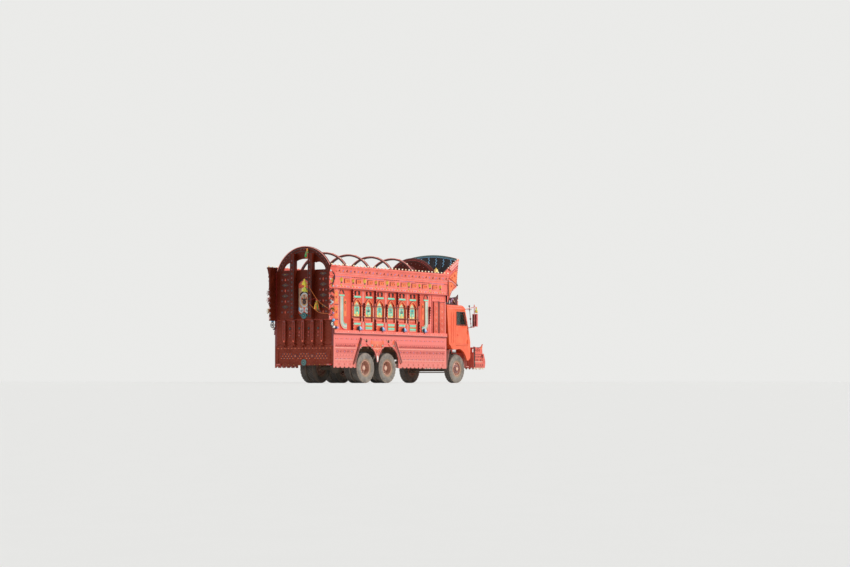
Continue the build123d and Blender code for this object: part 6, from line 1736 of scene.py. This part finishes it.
def cab_front_work():
    """Flowers, leaves and lines on the cab's front, and a blank plate."""
    nose = across(NOSE)
    front = Carving("cab_front_work", across(NOSE, -0.26, 1.52), sink=0.004)
    front.prism(pointed_arch(0, 1.6, 1.85, 1.97, 0.22, 6), 0.01, "maroon", 0.97)
    front.rosette(0, 1.78, 0.12, "cream", "orange", 12, 0.016, low=0.008)
    for hand in SIDES:
        for y, size, shade in ((0.42, 0.1, "cream"), (0.72, 0.085, "turquoise"), (0.99, 0.075, "cream")):
            front.rosette(hand * y, 1.77, size, shade, "maroon", 10, 0.014)
        for y in (0.57, 0.86):
            front.prism(leaf(hand * y, 1.68, 0.17, 0.06, 90), 0.012, "leaf")
        front.prism(panel(hand * 1.02, 1.28, 0.16, 0.3), (-0.003, 0.008), "cream", 0.95, on=nose)
        front.rosette(hand * 1.06, 1.28, 0.06, "orange", "maroon", low=0.006, on=nose)
    for v, shade in ((1.56, "cream"), (1.58, "maroon"), (1.99, "cream")):
        front.strip([(-1.15, v), (1.15, v)], 0.014, 0.008, shade)
    front.prism(panel(0, 1.02, 0.5, 0.12), (-0.003, 0.01), "white", 0.98, on=nose)
    front.done()


def wipers():
    """Two wipers."""
    wipers = Carving("wipers")
    for y in (-0.5, 0.35):
        screen = across(8.53, -0.311, 2.02)
        wipers.lathe(y, 2.03, [(0.022, -0.01), (0.022, 0.03), (0.012, 0.04)], "black", 10, on=screen)
        wipers.tube(
            [screen(y, 2.03, 0.035), screen(y + 0.16, 2.2, 0.03), screen(y + 0.28, 2.31, 0.022)], 0.007, "black", 6
        )
        wipers.tube([screen(y + 0.1, 2.36, 0.016), screen(y + 0.42, 2.24, 0.016)], 0.008, "black", 6)
        wipers.tube([screen(y + 0.28, 2.31, 0.022), screen(y + 0.27, 2.3, 0.014)], 0.006, "black", 6)
    wipers.done()


def lamp_rims():
    """Rims round the headlamps."""
    rims = Carving("lamp_rims", across(NOSE))
    for y in (-1.0, -0.78, 0.78, 1.0):
        rims.lathe(
            y, 1.29, [(0.104, -0.003), (0.104, 0.03), (0.096, 0.042), (0.09, 0.04), (0.0885, 0.02)], "silver", 24
        )
    rims.done()


def bumper_work():
    """Flowers, studs, leaves and lines on the bumper."""
    nose = lambda u, v, w: (TAIL + 9.72 - (0.3667 * (v - 0.8) if v > 0.8 else 0.1304 * (0.8 - v)) + w, u, v)
    work = Carving("bumper_work", nose, sink=0.003)
    for i in range(9):
        y = -1.04 + 0.26 * i
        work.rosette(y, 0.95, 0.075, "rose" if i % 2 else "orange", "garnet", 10, 0.014)
        work.prism(leaf(y, 0.74, 0.13, 0.07, -90), 0.012, "rose")
    for v, shade in ((1.06, "maroon"), (0.84, "cream"), (0.78, "maroon"), (0.6, "cream")):
        work.strip([(-1.17, v), (1.17, v)], 0.016, (-0.004, 0.009), shade)
    for i in range(24):
        work.lathe(-1.12 + i * 0.0974, 0.81, [(0.015, -0.003), (0.012, 0.01)], "turquoise" if i % 2 else "silver", 8)
    for hand in SIDES:
        side = flank(hand, CAB_SIDE)
        for i in range(5):
            u = 9.0 + i * 0.13
            work.rosette(u, 0.86, 0.055, "maroon" if i % 2 else "brick", "garnet", on=side)
            work.prism(leaf(u, 0.72, 0.1, 0.06, -90), 0.01, "maroon", on=side)
            work.prism(diamond(u, 0.98, 0.09, 0.09), 0.01, "garnet", on=side)
        for v, shade in ((1.07, "maroon"), (0.79, "cream"), (0.6, "maroon")):
            work.strip([(8.9, v), (9.5, v)], 0.014, 0.008, shade, on=side)
        for u, v, size in ((9.0, 1.24, 0.05), (9.14, 1.22, 0.055), (9.28, 1.22, 0.05)):
            work.rosette(u, v, size, "maroon", "orange", 8, 0.012, on=side)
        work.prism(leaf(9.41, 1.24, 0.19, 0.07, 62), 0.012, "orange", on=side)
        for u in (8.93, 8.97):
            work.strip([(u, 0.6), (u, 1.34)], 0.03, 0.01, "soot", on=side)
    arcade = across(9.46)
    for i in range(-3, 5):
        work.rosette(i * 0.3 - 0.15, 1.22, 0.03, "orange", "maroon", 6, on=arcade)
    work.done()


def bumper_scallops():
    """A fringe of scallops below the bumper."""
    fringe = Carving("bumper_scallops")
    for hand in SIDES:
        under = flank(hand, 1.185)
        for i in range(5):
            fringe.prism(leaf(8.98 + i * 0.15, 0.6, 0.1, 0.12, -90), (0.0, 0.012), "cream", 0.9, True, on=under)
    ahead = across(9.675)
    for i in range(16):
        fringe.prism(
            leaf(-1.125 + i * 0.15, 0.6, 0.1, 0.12, -90), (0.0, 0.012), "cream" if i % 2 else "rose", 0.9, True,
            on=ahead
        )
    fringe.done()


def bumper_lights():
    """Lights along the bumper's top."""
    lamps = Carving("bumper_lights")
    for i in range(9):
        place = upright(TAIL + 9.48, -1.12 + 0.28 * i, 1.34)
        lamps.ball(0, 0, 0.014, 0.02, "amber bulb" if i % 2 else "pearl bulb", 8, 5, on=place)
    lamps.done()


def wheel_work(hand, side):
    """Tread blocks, nuts and painted hubs of one side's wheels."""
    for name, station, middles, disc_face, cap_face, hub in (
        ("front", 7.86, (1.0,), 1.089, 1.125, 1.095),
        ("mid", 3.22, (1.1, 0.79), 0.959, 1.145, 1.12),
        ("rear", 1.9, (1.1, 0.79), 0.959, 1.145, 1.12),
    ):
        body = f"{name}_wheel_{side}" if name == "front" else f"{name}_wheels_{side}"
        spot = lambda u, v, w: (TAIL + station + u, hand * w, WHEEL_RADIUS + v)
        treads = Carving(f"{name}_tread_{side}", body=body)
        for middle in middles:
            tread_blocks(treads, spot, middle)
        treads.done()
        dress = Carving(f"{name}_hub_{side}", spot, body=body)
        for i in range(10):
            turn = tau * i / 10
            u, v = 0.128 * cos(turn), 0.128 * sin(turn)
            dress.lathe(
                u, v, [(0.014, disc_face - 0.004), (0.014, disc_face + 0.012), (0.008, disc_face + 0.022)],
                "silver", 6
            )
        dress.lathe(
            0, 0,
            [
                (0.103, hub - 0.006), (0.103, hub + 0.004), (0.088, hub + 0.007), (0.0765, hub + 0.004)
            ] if name == "front" else [(0.104, hub - 0.006), (0.104, hub + 0.004), (0.0865, hub + 0.006)],
            "maroon", 24
        )
        dress.rosette(0, 0, 0.062, "cream", "orange", low=cap_face - 0.003)
        dress.lathe(
            0, 0, [(0.168, disc_face - 0.004), (0.168, disc_face + 0.003), (0.1, disc_face + 0.004)], "maroon", 24
        )
        dress.done()


def tread_blocks(carving, spot, middle):
    """Blocks round both shoulders of a tyre, within its tread's radius."""
    count = 28
    for edge in (-1, 1):
        for i in range(count):
            turn = tau * (i + (0.5 if edge > 0 else 0.0)) / count
            half = tau / count * 0.3
            points = []
            for radius, away in ((0.497, 0.121), (0.519, 0.116), (0.5195, 0.086), (0.5, 0.086)):
                for a in (turn - half, turn + half):
                    points.append(spot(radius * cos(a), radius * sin(a), middle + edge * away))
            faces = [[0, 1, 3, 2], [2, 3, 5, 4], [4, 5, 7, 6], [0, 2, 4, 6], [1, 7, 5, 3]]
            carving.add(points, faces, "tyre block", (turned(spot) > 0) == (edge > 0))


def dashboard_dials():
    """Dials, knobs and a locker on the dashboard."""
    dials = Carving("dashboard_dials", sink=0.03)
    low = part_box("dashboard")[0]
    board = lambda u, v, w: (low.x + 0.01 - w + 0.03 * (v - 1.78), u, v)
    for y, v, size in ((-0.92, 1.84, 0.05), (-0.76, 1.85, 0.06), (-0.6, 1.84, 0.05)):
        dials.lathe(
            y, v, [(size, -0.04), (size, 0.004), (size * 0.9, 0.01), (size * 0.85, 0.004)], "silver", 20, on=board
        )
        dials.lathe(y, v, [(size * 0.84, 0.0), (size * 0.84, 0.005)], "white", 20, on=board)
        dials.prism(leaf(y, v, size * 0.75, 0.008, 60), (0.004, 0.008), "maroon", 0.9, on=board)
    for i in range(6):
        dials.lathe(-0.3 + i * 0.08, 1.8, [(0.014, -0.04), (0.014, 0.01), (0.009, 0.014)], "black", 10, on=board)
    dials.prism(panel(0.75, 1.8, 0.5, 0.16), 0.004, "umber", 0.97, on=board)
    dials.lathe(0.75, 1.75, [(0.014, 0.0), (0.014, 0.016)], "silver", 10, on=board)
    dials.done()


def gear_lever():
    """A gear lever with its boot."""
    gear = Carving("gear_lever")
    foot = (TAIL + 7.98, -0.25, 1.6)
    gear.lathe(
        0, 0, [(0.06, -0.005), (0.055, 0.01), (0.035, 0.03), (0.04, 0.04), (0.02, 0.07)], "black", 14,
        on=upright(*foot)
    )
    gear.tube(
        [(foot[0], foot[1], 1.62), (foot[0] + 0.03, foot[1] - 0.02, 1.78), (foot[0] + 0.01, foot[1] - 0.04, 1.92)],
        0.01, "silver", 8
    )
    gear.ball(0, 0, 0, 0.026, "turquoise", 12, 8, on=upright(foot[0] + 0.01, foot[1] - 0.04, 1.94))
    gear.done()


def seats():
    """Two upholstered seats, swollen from the plain blocks they stand in for."""
    node = frame["nodes"]["seats"]
    bpy.context.view_layer.update()
    mesh = node.data.copy()
    made = bpy.data.objects.new("seat_padding", mesh)
    bpy.context.scene.collection.objects.link(made)
    made.matrix_world = node.matrix_world.copy()
    bpy.context.view_layer.objects.active = made
    made.select_set(True)
    remesh = made.modifiers.new("remesh", "REMESH")
    remesh.mode = "VOXEL"
    remesh.voxel_size = 0.016
    soften = made.modifiers.new("soften", "SMOOTH")
    soften.factor = 0.6
    soften.iterations = 6
    bpy.ops.object.modifier_apply(modifier="remesh")
    bpy.ops.object.modifier_apply(modifier="soften")
    mesh = made.data
    world = made.matrix_world
    middle, quilt, seam_width = 0.76, 0.13, 0.016
    mesh.update()
    for v, normal in zip(mesh.vertices, [n.vector.copy() for n in mesh.vertex_normals]):
        spot = world @ v.co
        aside = spot.y + middle if spot.y < 0 else spot.y - middle
        away = min(abs(aside + seam) for seam in (-quilt, 0.0, quilt))
        lift = 0.010 * (1 - max(0.0, 1 - away / seam_width) ** 2) - 0.006
        v.co += normal * lift
    mesh.polygons.foreach_set("use_smooth", [True] * len(mesh.polygons))
    mesh.materials.clear()
    mesh.materials.append(node.material_slots[0].material)
    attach(made, "truck")
    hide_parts("seats")


class Work:
    """Carries out the work of an operator: on the right, on the left, and then what is done once."""

    sided = ()
    single = ()

    def execute(self, context):
        for hand, side in HANDS:
            for piece in self.sided:
                piece(hand, side)
        for piece in self.single:
            piece()
        return {"FINISHED"}


class LORRY_OT_stage(bpy.types.Operator):
    """Set the floor, the backdrop, the lamps and the camera"""

    bl_idname = "lorry.stage"
    bl_label = "Stage"

    def execute(self, context):
        scene = context.scene
        scene.view_settings.view_transform = "Standard"
        mesh = bpy.data.meshes.new("floor")
        reach = 260.0
        mesh.from_pydata(
            [(-reach, -reach, 0), (reach, -reach, 0), (reach, reach, 0), (-reach, reach, 0)], [], [[0, 1, 2, 3]]
        )
        floor = bpy.data.objects.new("floor", mesh)
        scene.collection.objects.link(floor)
        made, nodes, shader, place, _ = start_material("studio floor")
        grain = nodes.noise(place, 30.0, 3.0)
        shade = tuple(scene.lorry_colours.floor)
        nodes.feed(shader, "Base Color", nodes.blend(nodes.times(grain, 0.08), shade, tint(206, 206, 204)))
        shader.inputs["Roughness"].default_value = 0.9
        mesh.materials.append(made)

        world = bpy.data.worlds.new("studio")
        scene.world = world
        world.use_nodes = True
        world.node_tree.nodes.clear()
        air = Nodes(world.node_tree)
        rays = air.put("ShaderNodeLightPath")
        seen = air.sum("MAXIMUM", rays.outputs["Is Camera Ray"], rays.outputs["Is Glossy Ray"])
        seen = air.sum("MAXIMUM", seen, rays.outputs["Is Transmission Ray"])
        pale = air.put("ShaderNodeBackground")
        air.feed(pale, "Color", tint(240, 240, 238))
        pale.inputs["Strength"].default_value = 0.95
        soft = air.put("ShaderNodeBackground")
        air.feed(soft, "Color", (1.0, 1.0, 1.0))
        soft.inputs["Strength"].default_value = 0.5
        mix = air.put("ShaderNodeMixShader")
        world.node_tree.links.new(seen, mix.inputs[0])
        world.node_tree.links.new(soft.outputs[0], mix.inputs[1])
        world.node_tree.links.new(pale.outputs[0], mix.inputs[2])
        out = air.put("ShaderNodeOutputWorld")
        world.node_tree.links.new(mix.outputs[0], out.inputs[0])

        for name, aim, strength, spread in (
            ("key lamp", (-0.35, 1.0, -0.75), 2.0, 14.0),
            ("fill lamp", (0.8, -0.9, -0.6), 0.5, 40.0),
        ):
            lamp = bpy.data.lights.new(name, "SUN")
            lamp.energy = strength
            lamp.angle = radians(spread)
            holder = bpy.data.objects.new(name, lamp)
            holder.rotation_euler = Vector(aim).to_track_quat("-Z", "Y").to_euler()
            scene.collection.objects.link(holder)

        lens = bpy.data.cameras.new("camera")
        lens.lens = 83.52
        lens.sensor_width = 36.0
        lens.clip_end = 1000.0
        camera = bpy.data.objects.new("camera", lens)
        camera.location = (-58.227, -40.683, 0.05)
        yaw, pitch = radians(33.729), radians(2.847)
        aim = Vector((cos(yaw) * cos(pitch), sin(yaw) * cos(pitch), sin(pitch)))
        camera.rotation_euler = aim.to_track_quat("-Z", "Y").to_euler()
        scene.collection.objects.link(camera)
        scene.camera = camera
        return {"FINISHED"}


class LORRY_OT_finishes(bpy.types.Operator):
    """Give every carried-over part its finish"""

    bl_idname = "lorry.finishes"
    bl_label = "Finishes"

    def execute(self, context):
        colours = context.scene.lorry_colours
        body, tail, cab = tuple(colours.body), tuple(colours.tail), tuple(colours.cab)
        make_brushed_coat()
        make_road_dust()
        make_flower_field()
        brick = tint(226, 84, 56)
        wall = ("depth", 1.15, 1.229, 0.002)
        zones = (
            (brick, (("station", 0.25, 5.85, 0.004), ("height", 1.8, 3.19, 0.004), wall, ("outward", 0.5, 2.0, 0.1))),
            # The floors of the hollows at the heads of the bays get a darker red: painted shade
            (
                tint(176, 60, 44),
                (
                    ("station", 0.9, 5.4, 0.1), ("height", 2.98, 3.25, 0.01), ("depth", 1.1, 1.2, 0.003),
                    ("outward", 0.5, 2.0, 0.1)
                )
            ),
            (
                tint(240, 124, 114),
                (("height", 0.3, 1.66, 0.004), ("depth", 1.24, 1.4, 0.002), ("outward", 0.5, 2.0, 0.1))
            ),
            # Faces that look back, such as the backs of the fins and the sides of the pilasters, get a dark red:
            # painted shade
            (tint(112, 14, 10), (("behind", 0.75, 2.0, 0.1),)),
            # Faces that look back from 3.8 m up, such as the headboard's back, get a near black: painted shade
            (tint(44, 8, 8), (("behind", 0.75, 2.0, 0.1), ("height", 3.8, 9.0, 0.1))),
        )
        # The rear's upper part is darker still as painted shade; faces that look out sideways, the wings' outer
        # faces, keep the body colour
        rear_zones = (
            (tint(92, 28, 12), (("height", 2.3, 9.0, 1.1),)),
            (body, (("outward", 0.55, 2.0, 0.1), ("depth", 1.225, 2.0, 0.005))),
        )
        crown_zones = (
            (PAINTS["soot"][0], (("behind", 0.45, 2.0, 0.1),)),
            (PAINTS["soot"][0], (("inward", 0.45, 2.0, 0.1), ("depth", 1.1, 1.26, 0.01))),
        )
        slots = {
            "body_paint": make_body_paint("body enamel", body, "XZ", 0.15, 0.55, 0.26, zones),
            # The rear paint's dark red is painted shade over the rear face
            "rear_paint": make_body_paint("shaded tail enamel", tail, "YZ", 0.12, 0.1, 0.0, rear_zones, 0.12),
            # The roof fence's dark red is painted shadow of the crown's overhang
            "fence_paint": make_enamel("shadowed fence enamel", tint(64, 14, 20), tint(88, 24, 26), 0.45, 0.08),
            "hoop_paint": make_enamel("hoop enamel", tint(66, 24, 20), tint(88, 34, 28), 0.5, 0.06),
            "cab_paint": make_enamel("cab enamel", cab, tint(250, 112, 66), 0.36, 0.08, 1.2, 0.35),
            "bumper_paint": make_enamel("bumper enamel", tint(222, 84, 68), tint(232, 104, 86), 0.42, 0.16),
            "frame_paint": make_enamel("frame enamel", tint(46, 42, 42), tint(66, 60, 58), 0.6, 0.8),
            "spring_steel": make_metal("spring steel", tint(96, 92, 90), 0.5, 0.4),
            "engine_iron": make_metal("engine iron", tint(92, 92, 96), 0.55, 0.3, 0.7),
            "exhaust_steel": make_metal("exhaust steel", tint(134, 122, 110), 0.45, 0.7),
            "tank_paint": make_enamel("tank enamel", tint(150, 70, 60), tint(176, 90, 76), 0.45, 0.6),
            "deck_timber": make_timber("deck timber"),
            # The window glass is tinted dark as painted shade of the cab inside
            "glass": make_glass("shaded pane glass", (0.1, 0.16, 0.14)),
            "cab_trim": make_enamel("cab trim", tint(44, 42, 42), tint(58, 54, 52), 0.7, 0.2, 1.6, 0.0),
            "seat_cloth": make_cloth("seat cloth", tint(132, 36, 40), tint(166, 60, 52)),
            "grille_metal": make_enamel("grille enamel", tint(206, 200, 192), tint(226, 220, 212), 0.4, 0.3),
            "lamp_glass": make_lens("lamp lens", (0.86, 0.88, 0.86)),
            "tail_lens": make_lens("tail lens", tint(190, 26, 20)),
            "mirror_paint": make_enamel("mirror enamel", tint(224, 120, 120), tint(238, 150, 146), 0.4, 0.2),
            "guard_paint": make_enamel("guard enamel", tint(230, 150, 142), tint(240, 176, 166), 0.42, 0.5),
            "tyre": make_rubber("tyre rubber"),
            "rim_paint": make_enamel("rim enamel", tint(206, 148, 128), tint(222, 170, 150), 0.45, 0.35),
        }
        for part in frame["record"]["subparts"]:
            node = frame["nodes"][part["node"]]
            for place in node.material_slots:
                place.material = slots[part["material_slot"]]
        crown = make_body_paint("crown enamel", body, "XZ", 0.15, 0.4, 0.02, crown_zones, 0.2)
        for place in frame["nodes"]["crown"].material_slots:
            place.material = crown
        return {"FINISHED"}


class LORRY_OT_cornice(Work, bpy.types.Operator):
    """Add the lights, curls and framed blocks of the frieze and cornice"""

    bl_idname = "lorry.cornice"
    bl_label = "Frieze and cornice"
    sided = (cornice_lights, cornice_curls, frieze_blocks)


class LORRY_OT_niches(Work, bpy.types.Operator):
    """Add the painted niches, their frames, tie bars, foot panels, globes and the curled bands"""

    bl_idname = "lorry.niches"
    bl_label = "Niches"
    sided = (niche_pictures, tie_bars, curled_bands, rail_globes)


class LORRY_OT_skirts(Work, bpy.types.Operator):
    """Add the belt rail's studs and the rows of painted relief on the skirts"""

    bl_idname = "lorry.skirts"
    bl_label = "Belt and skirts"
    sided = (belt_studs, skirt_rows)


class LORRY_OT_tail(Work, bpy.types.Operator):
    """Add the rear face's medallion, pilaster work, discs, studs and rows"""

    bl_idname = "lorry.tail"
    bl_label = "Rear face"
    single = (medallion, pilaster_work, rear_fields, teal_discs, tailgate_work, rear_skirt_work, gable_trim)


class LORRY_OT_wings(Work, bpy.types.Operator):
    """Add the rings, knobs, flowers and balls on the corner wings and the rear posts"""

    bl_idname = "lorry.wings"
    bl_label = "Corner wings"
    sided = (wing_work, wing_knobs, rear_post_work)


class LORRY_OT_tassels(bpy.types.Operator):
    """Hang the tassels on their cords, and the strings between the rear wall and a wing"""

    bl_idname = "lorry.tassels"
    bl_label = "Tassels"

    def execute(self, context):
        back = TAIL - 0.215
        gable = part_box("rear_wall")[1].z
        bright = ("yellow thread", "lemon thread", "green thread")
        places = (
            (
                "gable", (TAIL - 0.02, 0.03, gable - 0.12), (TAIL - 0.06, -0.17, 4.58), 0.3,
                ("orange thread", "green thread", "red thread", "green thread")
            ),
            (
                "head", (back, -0.33, 3.58), (back + 0.016, -0.16, 3.54), 0.17,
                ("yellow thread", "lemon thread", "yellow thread")
            ),
            ("breast", (back, -0.34, 3.36), (back + 0.016, -0.19, 3.33), 0.19, bright),
            (
                "side", (back, -0.43, 2.82), (TAIL - 0.14, -0.64, 2.84), 0.34,
                ("red thread", "yellow thread", "green thread", "orange thread")
            ),
            (
                "mirror_left", (TAIL + 8.56, 1.455, 2.835), (TAIL + 8.6, 1.5, 2.83), 0.17,
                ("orange thread", "lemon thread", "green thread")
            ),
            (
                "mirror_right", (TAIL + 8.56, -1.455, 2.835), (TAIL + 8.6, -1.5, 2.83), 0.17,
                ("orange thread", "lemon thread", "green thread")
            ),
        )
        for name, start, end, length, bands in places:
            hung = tassel(f"tassel_{name}", end, length, bands, 30, 0.045 if "mirror" in name else 0.086)
            mid = tuple((a + b) / 2 for a, b in zip(start, end))
            foot = (end[0], end[1], end[2] - 0.06 - 0.8 * length)
            route = [start, (start[0] - 0.01, mid[1], mid[2] + 0.01), (end[0], end[1], end[2] + 0.02), foot]
            hanging_cord(f"tassel_cord_{name}", route, "red thread", 0.006)
        strings = (
            ("upper", (TAIL - 0.204, -0.36, 3.25), (-0.28, -1.24, 2.5)),
            ("lower", (TAIL - 0.204, -0.4, 2.66), (-0.28, -1.24, 2.34)),
        )
        for name, start, end in strings:
            goal = (TAIL + end[0], end[1], end[2])
            sag = [tuple(a + (b - a) * t for a, b in zip(start, goal)) for t in (0, 0.3, 0.6, 1)]
            points = [(x, y, z - 0.16 * 4 * t * (1 - t) / 1.2) for (x, y, z), t in zip(sag, (0, 0.3, 0.6, 1))]
            hanging_cord(f"wing_string_{name}", points, "orange thread", 0.012)
        return {"FINISHED"}


class LORRY_OT_crown(Work, bpy.types.Operator):
    """Add the mouldings, scrolls, flowers and lights of the crown and the headboard"""

    bl_idname = "lorry.crown"
    bl_label = "Crown and headboard"
    sided = (crown_cheek, rail_block)
    single = (crown_front, crown_bowl, crown_crest, headboard_work, hoop_lights)


class LORRY_OT_front_panels(Work, bpy.types.Operator):
    """Add the lined pilasters before the ribs, the arch finials, the pendant and the strut stripes"""

    bl_idname = "lorry.front_panels"
    bl_label = "Front panels and arches"
    sided = (front_panel_work, arch_work)


class LORRY_OT_cab(Work, bpy.types.Operator):
    """Add the cab's stripes, flowers, trims, wipers, fence and mirror ornaments, and steps"""

    bl_idname = "lorry.cab"
    bl_label = "Cab"
    sided = (door_work, cab_side_work, cab_step, fence_work, mirror_work)
    single = (cab_front_work, wipers, lamp_rims)


class LORRY_OT_bumper(Work, bpy.types.Operator):
    """Add the bumper's flowers, studs, scallops and lights"""

    bl_idname = "lorry.bumper"
    bl_label = "Bumper"
    single = (bumper_work, bumper_scallops, bumper_lights)


class LORRY_OT_wheels(Work, bpy.types.Operator):
    """Add the tread blocks, nuts and painted hubs of the wheels"""

    bl_idname = "lorry.wheels"
    bl_label = "Wheels"
    sided = (wheel_work,)


class LORRY_OT_interior(Work, bpy.types.Operator):
    """Add the dials, the gear lever and the upholstered seats"""

    bl_idname = "lorry.interior"
    bl_label = "Cab interior"
    single = (dashboard_dials, gear_lever, seats)


class LORRY_PT_panel(bpy.types.Panel):
    """The lorry's sizes, colours and pieces"""

    bl_label = "Painted lorry"
    bl_space_type = "VIEW_3D"
    bl_region_type = "UI"
    bl_category = "Lorry"

    def draw(self, context):
        for group in (context.scene.lorry_sizes, context.scene.lorry_colours):
            for name in group.__annotations__:
                self.layout.prop(group, name)
        for step in STEPS:
            self.layout.operator(step.bl_idname)


STEPS = (
    LORRY_OT_stage,
    LORRY_OT_finishes,
    LORRY_OT_cornice,
    LORRY_OT_niches,
    LORRY_OT_skirts,
    LORRY_OT_tail,
    LORRY_OT_wings,
    LORRY_OT_tassels,
    LORRY_OT_crown,
    LORRY_OT_front_panels,
    LORRY_OT_cab,
    LORRY_OT_bumper,
    LORRY_OT_wheels,
    LORRY_OT_interior,
)


def register():
    for group in (LorrySizes, LorryColours):
        bpy.utils.register_class(group)
    for step in STEPS:
        bpy.utils.register_class(step)
    bpy.utils.register_class(LORRY_PT_panel)
    bpy.types.Scene.lorry_sizes = bpy.props.PointerProperty(type=LorrySizes)
    bpy.types.Scene.lorry_colours = bpy.props.PointerProperty(type=LorryColours)


def unregister():
    del bpy.types.Scene.lorry_colours
    del bpy.types.Scene.lorry_sizes
    bpy.utils.unregister_class(LORRY_PT_panel)
    for step in reversed(STEPS):
        bpy.utils.unregister_class(step)
    for group in (LorryColours, LorrySizes):
        bpy.utils.unregister_class(group)


def main():
    register()
    for step in STEPS:
        family, name = step.bl_idname.split(".")
        getattr(getattr(bpy.ops, family), name)()


if __name__ == "__main__":
    main()
